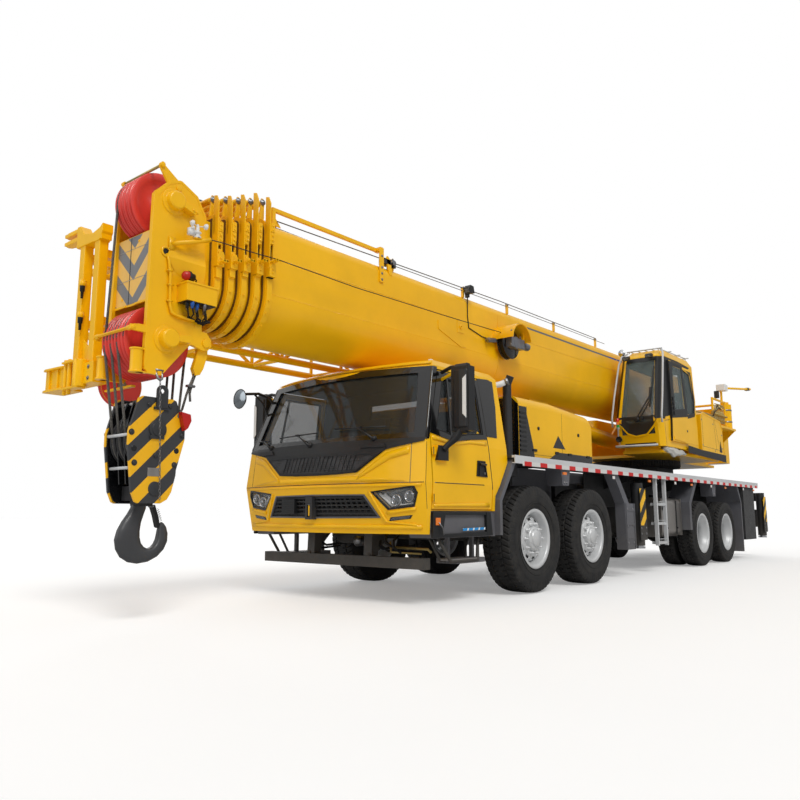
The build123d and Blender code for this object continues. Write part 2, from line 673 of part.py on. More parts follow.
# Pipes above the shelf, as points
pipe_runs = [
    [(-7300, 1180, 2640), (-7300, 1180, 3140)],
    [(-8080, 1180, 2640), (-8080, 1180, 3140)],
    [(-7300, 1180, 3120), (-8080, 1180, 3120)],
    [(-7300, 1180, 2840), (-8080, 1180, 2840)],
    [(-7300, 1180, 2980), (-7300, 800, 2980)],
    [(-8080, 1180, 2980), (-8080, 800, 2980)],
    [(-7920, 1180, 3110), (-7920, 1180, 3360)],
    [(-7920, 1200, 3400), (-8900, 1480, 3470)],
]
pipe_radius = 22


def hydraulics():
    """Oil tank on the right; valve bank, pipework, accumulator and lamp arm on the left behind the cab."""
    tank = fillet(box((-7600, -5950), (-1290, -620), (table_top, 2700)).edges().filter_by(Axis.Z), 80)
    wall = box((shelf_rear, shelf_front - 70), (560, 620), (table_top, shelf_top - 40))
    shelf = box((shelf_rear, shelf_front), (560, shelf_outer), (shelf_top - 40, shelf_top))
    gussets = [front_slab([(620, table_top + 60), (620, shelf_top - 40), (shelf_outer - 20, shelf_top - 40)], x, x + 20)
               for x in (shelf_rear, shelf_front - 90)]
    valves = [box((-7920 + 130 * i, -7840 + 130 * i), (660, 1100), (shelf_top, shelf_top + 330)) for i in range(4)]
    manifold = box((-8000, -7380), (640, 900), (shelf_top, shelf_top + 160))
    x, y, r = -8300, 1120, 125
    accumulator = fused(post(x, y, r, shelf_top, shelf_top + 500), post(x, y, r - 45, shelf_top, shelf_top + 550))
    pipes = [rod(a, b, pipe_radius) for a, b in pipe_runs]
    feet = [post(x, 1180, pipe_radius + 14, shelf_top, shelf_top + 60) for x in (-7300, -8080)]
    camera_box = box((-8020, -7820), (1120, 1280), (3340, 3460))
    return [tank, fused(wall, shelf, *gussets, *valves, manifold, accumulator, *pipes, *feet, camera_box)]


# Operator's cab sections: height, front x, rear x, inner y, outer y
op_sections = [(1960, -4150, -5800, 560, 1352), (2380, -4075, -5800, 560, 1352), (3490, -4380, -5830, 600, 1300),
               (3610, -4560, -5790, 660, 1230)]
op_wall = 40
op_outer, op_knee = op_sections[1][4], op_sections[1][0]
op_lean = (op_outer - op_sections[2][4]) / (op_sections[2][0] - op_knee)     # the side leans inwards above the knee
op_front, op_rear = op_sections[0][1:3]
op_middle_x, op_middle_y = (op_front + op_rear) / 2, (op_sections[0][3] + op_outer) / 2
op_door_gap, op_door_thickness = 6, 32
op_door_outline = [(-4470, 2080), (-4590, 3400), (-5170, 3400), (-5210, 2080)]
op_door_panel = [(-4440, 2060), (-4560, 3420), (-5190, 3420), (-5235, 2060)]
op_door_window = [(-4610, 2560), (-4660, 3340), (-5110, 3340), (-5130, 2560)]
op_screen = [(680, 2160), (1230, 2160), (1180, 3440), (700, 3440)]
op_inner_window = [(-4500, 2500), (-4640, 3380), (-5700, 3380), (-5700, 2500)]
op_side_window = [(-5260, 2560), (-5250, 3380), (-5640, 3330), (-5740, 2900), (-5700, 2640)]
op_rear_window = [(720, 2700), (1180, 2700), (1160, 3380), (740, 3380)]


def op_form(inset, low, high):
    """The operator's cab shrunk by inset."""
    faces = []
    for z, front, rear, inner, outer in op_sections:
        front, rear, inner, outer = front - inset, rear + inset, inner + inset, outer - inset
        faces.append(make_face(Polyline((rear, inner, z), (front - 90, inner, z), (front, inner + 70, z),
                                        (front, outer - 70, z), (front - 90, outer, z), (rear, outer, z), close=True)))
    return loft(faces, ruled=True) & box((-far, far), (0, far), (low, high))


def op_side(z):
    """Distance of the operator cab's outer side from the middle, at a height."""
    return op_outer - max(0, z - op_knee) * op_lean


def operator_cab():
    """Hollow shell on two legs, with its windows, doorway and the door's tracks."""
    low, high = op_sections[0][0], op_sections[-1][0]
    shell = op_form(0, low, high) - op_form(op_wall, low + op_wall, high - op_wall)
    shell -= side_slab(grown(op_door_outline, -25), op_middle_y, far)
    shell -= front_slab(op_screen, op_middle_x, far)
    shell -= side_slab(op_inner_window, 0, op_middle_y)
    shell -= front_slab(op_rear_window, -far, op_middle_x)
    shell -= side_slab(op_side_window, op_middle_y, far)
    legs = [box((x, x + 120), (640, 1240), (table_top, low)) for x in (op_front - 250, op_rear + 100)]
    tracks = []
    for bottom in (op_door_panel[0][1] + 15, op_door_panel[1][1] - 45):
        face = [(op_side(z) + op_door_gap - seat, z) for z in (bottom, bottom + 40)]
        tracks.append(front_slab(face + [(y - op_door_gap - 2, z) for y, z in reversed(face)], op_rear + 20, op_front - 250))
    return fused(shell, *legs, *tracks)


def operator_glass():
    """Panes of the operator's cab, in the outer third of its wall."""
    low, high = op_sections[0][0] + 10, op_sections[-1][0]
    pane = op_form(14, low + 10, high - 10) - op_form(20, low, high)
    return [pane & front_slab(grown(op_screen, -seat), op_middle_x, far),
            pane & side_slab(grown(op_inner_window, -seat), 0, op_middle_y),
            pane & front_slab(grown(op_rear_window, -seat), -far, op_middle_x),
            pane & side_slab(grown(op_side_window, -seat), op_middle_y, far)]


def op_door():
    """Sliding door outside the cab wall, with its pane."""
    heights = (op_door_panel[0][1], op_knee, op_door_panel[1][1])
    inner = [(op_side(z) + op_door_gap, z) for z in heights]
    profile = inner + [(y + op_door_thickness, z) for y, z in reversed(inner)]
    panel = front_slab(profile, op_rear, op_front) & side_slab(op_door_panel, op_middle_y, far)
    middle = front_slab([(y + shift, z) for (y, z), shift in zip(profile, (14, 14, 14, -12, -12, -12))], op_rear, op_front)
    pane = middle & side_slab(grown(op_door_window, -seat), op_middle_y, far)
    return [panel - side_slab(op_door_window, op_middle_y, far), pane]


def operator_seat():
    x, y, z = -5150, 955, 2000.3
    base = box((x - 150, x + 150), (y - 150, y + 150), (z, z + 260))
    cushion = box((x - 220, x + 250), (y - 240, y + 240), (z + 260, z + 370))
    back = side_slab([(x - 150, z + 370), (x - 330, z + 1000), (x - 420, z + 1000), (x - 300, z + 300), (x - 220, z + 300)],
                     y - 230, y + 230)
    consoles = [box((x - 120, x + 300), (y + s * 290 - 45, y + s * 290 + 45), (z + 260, z + 500)) for s in (-1, 1)]
    brackets = [box((x - 100, x + 100), (y - 300, y + 300), (z + 200, z + 260))]
    return [fused(base, cushion, back, *brackets, *consoles)]


# ------------------------------------------------------------------ boom
def at_droop(shape):
    """Turn a piece from the boom's own level frame to its resting angle about the foot pin."""
    x, z = foot
    return Pos(x, 0, z) * Rot(0, boom_droop, 0) * Pos(-x, 0, -z) * shape


foot_drop = (3300 - foot[0]) * sin(radians(boom_droop))      # how far the droop lowers the collar end
level_bottom, level_top = boom_bottom + foot_drop, boom_top + foot_drop


def boom_face(inset, x):
    """Section of the boom: flat top with round corners, straight sides, half-round belly."""
    half, low, high = boom_half_width - inset, level_bottom + inset, level_top - inset
    corner = max(boom_corner - inset, 8)
    bend = corner * (1 - cos(radians(45)))
    belly = low + half

    def at(y, z):
        return (x, y, z)

    return make_face([
        Line(at(-half, belly), at(-half, high - corner)),
        ThreePointArc(at(-half, high - corner), at(-half + bend, high - bend), at(-half + corner, high)),
        Line(at(-half + corner, high), at(half - corner, high)),
        ThreePointArc(at(half - corner, high), at(half - bend, high - bend), at(half, high - corner)),
        Line(at(half, high - corner), at(half, belly)),
        ThreePointArc(at(half, belly), at(0, low), at(-half, belly))])


def boom_bar(inset, x0, x1):
    return extrude(boom_face(inset, x0), amount=x1 - x0, dir=(1, 0, 0))


def boom_ring(outer_inset, inner_inset, x0, x1):
    """Length of boom tube between two insets."""
    return boom_bar(outer_inset, x0, x1) - boom_bar(inner_inset, x0 - 1, x1 + 1)


# Fin on a collar's top: (x from the collar's front, height above the section's top)
collar_fin = [(-60, -4), (-60, 190), (-48, 245), (-28, 245), (-14, 120), (-4, 60), (-4, -4)]
fin_y, fin_half = 0.78, 8       # fins stand at this share of the section's half width
# Boxes on a collar's side: low and high z as depths below the section's top, and how far they stand out
collar_boxes = [(55, 215, 44), (440, 555, 38)]
horn_depth, horn_radius, horn_reach = 425, 9, 140


def collar_gear(inset, front):
    """Fins with a rope roller on top of a collar, slide adjusters on its sides, cable horns on its left."""
    half, top = boom_half_width - inset, level_top - inset
    y = half * fin_y
    fin = side_slab([(front + x, top + z) for x, z in collar_fin], y - fin_half, y + fin_half)
    roller = pin(front - 38, top + 205, 16, -y - fin_half - 12, y + fin_half + 12)
    side = half + collar_depth
    boxes = [box((front - collar_length, front - 4), (side - 8, side + out), (top - low, top - high))
             for high, low, out in collar_boxes]
    horns = [pin(x, top - horn_depth, horn_radius, side - 8, side + horn_reach) for x in (front - 46, front - 18)]
    return [roller, *horns] + [copy for piece in [fin, *boxes] for copy in both_sides(piece)]


def section_tube(index):
    """One boom section: tube, collar with its slide ring in front, slide shoe round its tail."""
    inset = nest_step * index
    rear = first_tail + tail_step * (index - 1) if index else boom_rear
    front = boom_front + collar_pitch * index
    last = index == section_count - 1
    end = head_rear + 117 if last else front
    tube = boom_ring(inset, inset + boom_wall, rear, end)
    parts = [tube]
    if not last:
        parts.append(boom_ring(inset - collar_depth, inset + boom_wall - 1, front - collar_length, front))
        parts.append(boom_ring(inset + boom_wall - 1, inset + nest_step - seat, front - collar_length, front))
        parts += collar_gear(inset, front)
    if index > 0:
        parts.append(boom_ring(inset - nest_step + boom_wall + seat, inset + 1, rear, rear + shoe_length))
    return fused(*parts)


def boom_base():
    """Outer section with its foot bosses and the lugs that hold the luffing cylinder's pin."""
    x, z = foot
    plate = 14
    side = boom_half_width
    outline = [(x + 1100, level_bottom + 480), (x + 1100, level_top - 200), (x - 150, level_top - 200),
               (x - 150, level_bottom + 430)]
    tube = at_droop(fused(section_tube(0), *top_rails()))
    plates = at_droop(fused(side_slab(outline, side - 1, side + plate), side_slab(outline, -side - plate, -side + 1)))
    bosses = [pin(x, z, 150, side, cheek_inner - seat), pin(x, z, 150, -cheek_inner + seat, -side)]
    whole = fused(tube, plates, *bosses, *cylinder_lugs(), *cable_reel())
    whole -= pin(x, z, foot_pin_radius + running, -far, far)
    return whole


rail_rear, rail_front, rail_tube = 1620, 3160, 36       # hand rails over the collar end
rail_rise = 150                 # their height above the boom


def top_rails():
    """Square rails over the front of the base section, each on two legs."""
    y0, y1 = boom_half_width - 90, boom_half_width - 90 + rail_tube
    z0 = level_top + rail_rise
    rail = box((rail_rear, rail_front), (y0, y1), (z0, z0 + rail_tube))
    front_leg = box((rail_front - 40, rail_front), (y0, y1), (level_top - 6, z0 + 1))
    rear_leg = box((rail_rear, rail_rear + 46), (boom_half_width - 2, boom_half_width + 12), (level_top - 220, z0 + rail_tube))
    link = box((rail_rear, rail_rear + 46), (y0, boom_half_width + 12), (z0, z0 + rail_tube))
    return [copy for piece in (fused(rail, front_leg), fused(rear_leg, link)) for copy in both_sides(piece)]


reel_centre, reel_radius, reel_width = (-850, 3150), 200, 90
guard_radius = 245


def cable_reel():
    """Spring reel for the cable to the boom head, on the left side: bracket, drum, motor and half-round guard."""
    x, z = reel_centre
    side = boom_half_width
    bracket = box((x - 160, x + 160), (side - 3, side + 50), (z - 90, z + 90))
    drum = fused(pin(x, z, reel_radius, side + 50, side + 60), pin(x, z, reel_radius - 35, side + 55, side + 50 + reel_width),
                 pin(x, z, reel_radius, side + 40 + reel_width, side + 50 + reel_width))
    motor = box((x - 200, x + 130), (side + 50 + reel_width, side + 230), (z - 70, z + 60))
    guard = pin(x, z, guard_radius, side - 3, side + 320) - pin(x, z, guard_radius - 10, side - 4, side + 321)
    guard &= box((-far, far), (0, far), (z + 30, far))
    stay = box((x - guard_radius, x + guard_radius), (side - 3, side + 20), (z + 30, z + 60))
    strut = box((x - 200, x - 170), (side + 200, side + 230), (z + 50, z + 200))
    strut &= pin(x, z, guard_radius - 5, 0, far)
    return [bracket, drum, motor, guard, stay, strut]


# Half-open seats let the cylinder's pin leave the lugs downwards and forwards.
lug_inner, lug_outer = 120, 160


def cylinder_lugs():
    """Two lugs under the belly with half-round seats for the luffing cylinder's pin."""
    x, z = cylinder_head
    outline = [(x - 420, z + 215), (x - 140, z - 40), (x, z), (x + 200, z + 146), (x + 260, z + 215)]
    lugs = []
    for y0, y1 in ((lug_inner, lug_outer), (-lug_outer, -lug_inner)):
        lug = side_slab(outline, y0, y1) - pin(x, z, cylinder_pin_radius + seat, y0 - 1, y1 + 1)
        lugs.append(lug - at_droop(boom_bar(boom_wall / 2, x - 1500, x + 1500)))
    return lugs


def luff_barrel():
    """Luffing cylinder barrel with its foot eye; bored for the rod all the way."""
    a, b = (cylinder_foot[0], 0, cylinder_foot[1]), (cylinder_head[0], 0, cylinder_head[1])
    way = (Vector(*b) - Vector(*a)).normalized()
    length = (Vector(*b) - Vector(*a)).length
    start, end = Vector(*a) + way * 95, Vector(*a) + way * (length - 330)
    tube = rod(tuple(start), tuple(end), barrel_radius)
    gland = rod(tuple(Vector(*a) + way * (length - 400)), tuple(end), barrel_radius + 14)
    eye = pin(a[0], a[2], 105, -barrel_radius, barrel_radius)
    whole = fused(tube, gland, eye)
    whole -= rod(tuple(Vector(*a) + way * 200), tuple(end + way), piston_rod_radius + running)
    return whole - pin(a[0], a[2], cylinder_pin_radius + running, -500, 500)


def luff_rod():
    """Luffing cylinder rod with its eye and the pin across it."""
    a, b = (cylinder_foot[0], 0, cylinder_foot[1]), (cylinder_head[0], 0, cylinder_head[1])
    way = (Vector(*b) - Vector(*a)).normalized()
    bar = rod(tuple(Vector(*a) + way * 230), tuple(Vector(*b) - way * 80), piston_rod_radius)
    eye = pin(b[0], b[2], 92, -lug_inner + 6, lug_inner - 6)
    cross = pin(b[0], b[2], cylinder_pin_radius, -lug_outer - 12, lug_outer + 12)
    return fused(bar, eye, cross)


# ------------------------------------------------------------------ boom head
head_outline = [(head_rear, 2420), (head_rear, 3480), (3960, 3640), (4140, 3730), (4250, 3690), (4385, 3560),
                (4400, 2040), (4360, 2008), (4240, 2004), (4020, 2262), (3950, 2330)]


def boom_tip():
    """Innermost section with the head: side plates, cover plate, shelf, sheave pins and rope guards."""
    tube = at_droop(section_tube(section_count - 1)) & box((-far, head_rear + 12), (-far, far), (0, far))
    plate = side_slab(head_outline, head_plate_inner, head_plate_outer)
    inner = head_plate_inner + 1
    front = box((4350, 4360), (-inner, inner), (2630, 3240))
    shelf = box((head_rear, 4350), (-inner, inner), (2900, 2912))
    bulkhead = at_droop(boom_bar((section_count - 1) * nest_step, head_rear, head_rear + 24))
    bulkhead &= box((head_rear - 1, head_rear + 12), (-inner, inner), (0, far))
    parts = [tube, plate, mirrored(plate), front, shelf, bulkhead]
    for x, z in (upper_sheave, lower_sheave):
        parts.append(pin(x, z, sheave_pin_radius, -head_plate_outer, head_plate_outer))
    parts += [pin(*lower_sheave, 78, head_plate_outer, head_plate_outer + 80),
              pin(*lower_sheave, 70, -head_plate_outer - 24, -head_plate_outer)]
    parts += [pin(*upper_sheave, 70, s * head_plate_outer, s * (head_plate_outer + 20)) for s in (-1, 1)]
    # rope guards in front of the lower sheaves and over the upper ones
    arm = side_slab([(4390, 2345), (4390, 2385), (4535, 2385), (4535, 2345)], head_plate_inner, head_plate_outer)
    horn = side_slab([(4130, 3700), (4320, 3830), (4350, 3800), (4260, 3660)], head_plate_inner, head_plate_outer)
    parts += [arm, mirrored(arm), horn, mirrored(horn)]
    parts += [pin(4525, 2365, 9, -head_plate_inner - 1, head_plate_inner + 1),
              pin(4330, 3812, 11, -head_plate_outer - 8, head_plate_outer + 8)]
    # lug and wedge socket of the rope's dead end, on the left plate
    lug = side_slab([(3960, 2440), (3800, 2430), (3770, 2330), (3830, 2280), (3960, 2310)], 262, head_plate_inner + 4)
    socket = side_slab([(3790, 2390), (3850, 2390), (3905, 2120), (3885, 2060), (3845, 2070), (3775, 2300)], 230, 262)
    parts += [lug, socket]
    return fused(*parts)


def sheave_stack(centre, radius, count, bore):
    """Side-by-side rope sheaves as one turned piece."""
    half = sheave_pitch * count / 2
    points = [(-half, bore), (-half, radius)]
    for i in range(count):
        left = -half + sheave_pitch * i
        points += [(left + 7, radius), (left + sheave_pitch / 2 - rope_radius, radius - groove_depth),
                   (left + sheave_pitch / 2 + rope_radius, radius - groove_depth), (left + sheave_pitch - 7, radius)]
    points += [(half, radius), (half, bore)]
    return spun(points, *centre, 0)


def head_sheaves():
    bore = sheave_pin_radius + seat
    return [sheave_stack(upper_sheave, upper_sheave_radius, 5, bore),
            sheave_stack(lower_sheave, lower_sheave_radius, 7, bore)]


# ------------------------------------------------------------------ hook block
block_sheave_y = (-100, 0, 100)
block_sheave_width = 56
# Cheek outline as (x, z) from the sheave pin
block_outline = [(-165, 370), (160, 370), (265, 210), (265, -300), (130, -515), (-130, -515), (-265, -300), (-265, 210)]
hook_centre = (block_sheave[0] - 15, block_sheave[1] - 778)
shank_radius = 52


def block_sheaves():
    bore = sheave_pin_radius + seat
    half, radius = block_sheave_width / 2, block_sheave_radius
    points = [(-half, bore), (-half, radius), (-rope_radius - 6, radius), (-rope_radius, radius - groove_depth),
              (rope_radius, radius - groove_depth), (rope_radius + 6, radius), (half, radius), (half, bore)]
    return [spun(points, *block_sheave, y) for y in block_sheave_y]


def hook_block():
    """Two cheeks, dividers between the sheaves, sheave pin, top eye and hook crosshead."""
    x, z = block_sheave
    cheek = side_slab([(x + dx, z + dz) for dx, dz in block_outline], block_half_width - 40, block_half_width)
    dividers = [side_slab([(x - 40, 1790), (x + 40, 1790), (x + 60, 1175), (x - 60, 1175)], y - 10, y + 10) for y in (-50, 50)]
    head = box((x - 60, x + 60), (-block_half_width + 40, block_half_width - 40), (1790, 1850))
    eye = side_slab([(x - 45, 1850), (x - 45, 1910), (x - 20, 1945), (x + 20, 1945), (x + 45, 1910), (x + 45, 1850)], -15, 15)
    eye -= pin(x, 1900, 22, -20, 20)
    crosshead = box((x - 90, x + 90), (-block_half_width + 40, block_half_width - 40), (985, 1100))
    shaft = pin(x, z, sheave_pin_radius, -block_half_width, block_half_width)
    whole = fused(cheek, mirrored(cheek), *dividers, head, eye, crosshead, shaft)
    return [whole - post(x, 0, shank_radius + seat, 900, 1101)] + block_sheaves()


def hook():
    """Single forged hook: shank, nut above the crosshead, bowl open to the rear."""
    x, z = hook_centre
    bowl = side_circle(x, z, 233) - side_circle(x - 13, z + 40, 108)
    opening = side_slab([(x - 13, z + 58), (x - 55, z + 300), (x - 425, z + 300), (x - 425, z + 73), (x - 125, z + 73)], -60, 60)
    neck = side_slab([(x - 45, z + 140), (x + 90, z + 140), (x + 68, 985), (x - 38, 985)], -45, 45)
    body = fused(bowl - opening, neck)
    shank = post(block_sheave[0], 0, shank_radius, 960, 1150)
    nut = post(block_sheave[0], 0, 85, 1101, 1160)
    return fused(body, shank, nut)


def side_circle(x, z, radius):
    return pin(x, z, radius, -45, 45)


def hoist_ropes():
    """Falls between the head's lower sheaves and the block, tangent to both."""
    (x1, z1), (x2, z2) = lower_sheave, block_sheave
    r1 = lower_sheave_radius - groove_depth + rope_radius + seat
    r2 = block_sheave_radius - groove_depth + rope_radius + seat
    down = atan2(z2 - z1, x2 - x1)
    span = hypot(x2 - x1, z2 - z1)
    falls = []
    for side in (-1, 1):
        angle = down + side * (radians(90) + atan2(r2 - r1, span))
        top = (x1 + r1 * cos(angle), z1 + r1 * sin(angle))
        low = (x2 + r2 * cos(angle), z2 + r2 * sin(angle))
        falls += [rod((top[0], y, top[1]), (low[0], y, low[1]), rope_radius) for y in block_sheave_y]
    return falls


# ------------------------------------------------------------------ stowed jib
jib_y, jib_z = (-1150, -620), (2690, 3330)
jib_rear, jib_front = -4600, 4150
jib_end = 4370                  # station of the frame at its foot
chord_radius, brace_radius = 38, 20
jib_hangers = (2000, -3200)     # stations of the brackets to the boom


def jib():
    """Lattice jib stowed along the boom's right side, with its foot frame beside the boom head."""
    chords = [rod((jib_rear, y, z), (jib_front, y, z), chord_radius) for y in jib_y for z in jib_z]
    bays = 9
    pitch = (jib_front - jib_rear - 200) / bays
    posts = []
    for i in range(bays + 1):
        x = jib_rear + 100 + pitch * i
        posts += [rod((x, y, jib_z[0]), (x, y, jib_z[1]), brace_radius) for y in jib_y]
        posts += [rod((x, jib_y[0], z), (x, jib_y[1], z), brace_radius) for z in jib_z]
    corners = [jib_rear + 100 + pitch * i for i in range(bays + 1)]
    for i, (a, b) in enumerate(zip(corners, corners[1:])):
        low, high = jib_z if i % 2 else reversed(jib_z)
        posts += [rod((a, y, low), (b, y, high), brace_radius) for y, low, high in ((jib_y[0], low, high), (jib_y[1], low, high))]
    hangers = [box((x, x + 80), (jib_y[1], -boom_half_width), (jib_z[1] - 30, jib_z[1] + 30)) for x in jib_hangers]
    lattice = at_droop(fused(*chords, *posts, *hangers))
    x = jib_end
    beam = box((x - 70, x + 80), (-1290, -420), (2010, 2190))
    uprights = [box((x - 40, x + 40), (y - 40, y + 40), (2190, 3330)) for y in (-830, -560)]
    top = box((x - 50, x + 50), (-900, -480), (3330, 3400))
    fork = [box((x - 40, x + 40), (-1200, -900), (z, z + 30)) for z in (3420, 3500)]
    fork_base = box((x - 40, x + 40), (-930, -880), (3330, 3530))
    links = [box((4100, x - 40), (y - 38, y + 38), (z - 38, z + 38))
             for y, z in ((-830, 3230), (-830, 2600), (-600, 2600), (-600, 3230))]
    sheave_arm = box((4080, x - 70), (-700, -640), (2020, 2120))
    end = at_droop(fused(box((4080, 4130), (jib_y[0] - 20, jib_y[1] + 20), (jib_z[0] - 38, jib_z[0] + 38)),
                         box((4080, 4130), (jib_y[0] - 20, jib_y[1] + 20), (jib_z[1] - 38, jib_z[1] + 38))))
    sheave = spun([(-25, 25), (-25, 200), (-12, 200), (-8, 175), (8, 175), (12, 200), (25, 200), (25, 25)], 4090, 2040, -600)
    sheave_arm += pin(4090, 2040, 25 - seat, -700, -570)
    return [fused(lattice, end, beam, *uprights, top, *fork, fork_base, *links, sheave_arm), sheave]


# ------------------------------------------------------------------ write the nodes
def write_all():
    os.makedirs("parts", exist_ok=True)

    def left(pieces):
        return pieces

    def right(pieces):
        return [mirrored(piece) for piece in pieces]

    for side, (name, turn) in enumerate((("left", left), ("right", right))):
        for number, x in enumerate(axle_stations[:2], 1):
            save(f"wheel_{number}_{name}", turn(steer_wheel(x)))
            save(f"knuckle_{number}_{name}", turn([knuckle(x)]))
        for number, x in enumerate(axle_stations[2:], 3):
            save(f"wheel_{number}_{name}", turn(drive_wheel(x)))
        save(f"driver_door_{name}", turn(driver_door()))
        for place, stations in outrigger_stations.items():
            save(f"outrigger_beam_{place}_{name}", turn([outrigger_beam(stations[side])]))
            save(f"outrigger_jack_{place}_{name}", turn([jack_rod(stations[side])]))
    save("steer_axles", steer_axle(axle_stations[0]), steer_axle(axle_stations[1]))
    save("driveline", driveline())
    save("chassis_frame", fused(chassis_frame(), outrigger_box("front"), outrigger_box("rear")))
    save("deck", both_sides(deck()))
    save("side_rails", both_sides(side_rail()))
    save("mudguards", *[both_sides(leg) for leg in mudguards()])
    save("fuel_tank", fuel_tank())
    save("engine", *engine())
    save("engine_hood", engine_hood())
    save("driver_cab", driver_cab())
    save("driver_cab_glass", cab_glass())
    save("bumper", bumper())
    save("intake_grille", grilles())
    save("headlamps", headlamps())
    save("cab_interior", cab_interior())
    save("slew_ring", slew_ring())
    save("turntable", turntable(), foot_pins())
    save("winches", winches())
    save("counterweight", counterweight())
    save("hydraulics", hydraulics())
    save("operator_cab", operator_cab())
    save("operator_glass", operator_glass())
    save("operator_door", op_door())
    save("operator_seat", operator_seat())
    save("luff_barrel", luff_barrel())
    save("luff_rod", luff_rod())
    save("boom_base", boom_base())
    for index in range(1, section_count - 1):
        save(f"boom_section_{index}", at_droop(section_tube(index)))
    save("boom_tip", boom_tip())
    save("head_sheaves", head_sheaves())
    save("hook_block", hook_block())
    save("hook", hook())
    save("hoist_ropes", hoist_ropes())
    save("jib", jib())


write_all()
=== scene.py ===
import json
from math import atan2, cos, hypot, pi, radians, sin, sqrt

import bmesh
import bpy
from mathutils import Matrix, Vector

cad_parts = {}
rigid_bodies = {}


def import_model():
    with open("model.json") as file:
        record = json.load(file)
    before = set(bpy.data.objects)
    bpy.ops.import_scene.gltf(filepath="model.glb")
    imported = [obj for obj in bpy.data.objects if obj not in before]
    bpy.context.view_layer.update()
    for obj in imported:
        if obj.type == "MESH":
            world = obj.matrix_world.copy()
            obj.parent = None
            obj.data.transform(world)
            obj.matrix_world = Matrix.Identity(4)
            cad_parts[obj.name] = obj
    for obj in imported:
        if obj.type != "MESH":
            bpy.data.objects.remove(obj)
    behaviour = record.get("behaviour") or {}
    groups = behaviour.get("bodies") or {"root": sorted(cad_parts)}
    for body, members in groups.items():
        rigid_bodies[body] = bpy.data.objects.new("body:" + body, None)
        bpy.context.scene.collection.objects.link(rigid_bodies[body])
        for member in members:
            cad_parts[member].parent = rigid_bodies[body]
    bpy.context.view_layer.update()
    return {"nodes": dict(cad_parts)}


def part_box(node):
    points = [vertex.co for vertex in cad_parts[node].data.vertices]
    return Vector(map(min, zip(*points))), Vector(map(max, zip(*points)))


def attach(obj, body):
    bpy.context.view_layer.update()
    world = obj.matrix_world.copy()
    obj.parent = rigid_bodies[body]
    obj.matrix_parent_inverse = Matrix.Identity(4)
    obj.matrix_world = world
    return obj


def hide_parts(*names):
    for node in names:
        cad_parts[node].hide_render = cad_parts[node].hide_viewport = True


for old in list(bpy.data.objects):
    bpy.data.objects.remove(old)
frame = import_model()

# Points in this script are metres from the first axle, the crane's left, and the ground. D moves them into the frame.
low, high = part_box("wheel_1_left")
D = (low.x + high.x) / 2
SIDES = (("left", 1), ("right", -1))
AXLES = (0.0, -1.460, -5.790, -7.140)
STEERED = 2                                         # the first two axles
CARRIER, TURNTABLE, BOOM, TIP, BLOCK_BODY = "carrier", "superstructure", "boom", "boom_tip", "hook"


# ------------------------------------------------------------------ shader nodes
def new_material(name):
    """A material, its tree, its shader and the coordinates of the object that wears it."""
    m = bpy.data.materials.new(name)
    m.use_nodes = True
    t = m.node_tree
    return m, t, t.nodes["Principled BSDF"], t.nodes.new("ShaderNodeTexCoord").outputs["Object"]


def connect(t, socket, value):
    """Links an output to a socket, or sets the socket to a number or a colour."""
    if hasattr(value, "is_output"):
        t.links.new(value, socket)
    else:
        socket.default_value = (*value, 1) if isinstance(value, tuple) else value


def put(t, node, **values):
    """Sets or links inputs of a node; in their names _ stands for a space."""
    for name, value in values.items():
        connect(t, node.inputs[name.replace("_", " ")], value)
    return node


def noise(t, vector, scale, detail=4, rough=0.55):
    node = t.nodes.new("ShaderNodeTexNoise")
    return put(t, node, Vector=vector, Scale=scale, Detail=detail, Roughness=rough).outputs["Fac"]


def ramp(t, fac, *stops):
    """stops: (position, grey)"""
    n = t.nodes.new("ShaderNodeValToRGB")
    slots = n.color_ramp.elements
    while len(slots) < len(stops):
        slots.new(0.5)
    for slot, (position, grey) in zip(slots, stops):
        slot.position, slot.color = position, (grey, grey, grey, 1)
    t.links.new(fac, n.inputs["Fac"])
    return n.outputs["Color"]


def mix(t, fac, a, b):
    n = t.nodes.new("ShaderNodeMix")
    n.data_type = "RGBA"
    for index, value in ((0, fac), (6, a), (7, b)):
        connect(t, n.inputs[index], value)
    return n.outputs[2]


def calc(t, operation, *values):
    n = t.nodes.new("ShaderNodeMath")
    n.operation = operation
    for socket, value in zip(n.inputs, values):
        connect(t, socket, value)
    return n.outputs[0]


def bump(t, shader, height, strength, distance):
    n = put(t, t.nodes.new("ShaderNodeBump"), Height=height, Strength=strength, Distance=distance)
    t.links.new(n.outputs["Normal"], shader.inputs["Normal"])


def split(t, vector):
    n = t.nodes.new("ShaderNodeSeparateXYZ")
    t.links.new(vector, n.inputs[0])
    return n.outputs


def srgb(*levels):
    return tuple(c / 255 / 12.92 if c / 255 <= 0.04045 else ((c / 255 + 0.055) / 1.055) ** 2.4 for c in levels)


# ------------------------------------------------------------------ materials
ROAD_DUST, WORN = srgb(128, 118, 104), srgb(90, 80, 66)


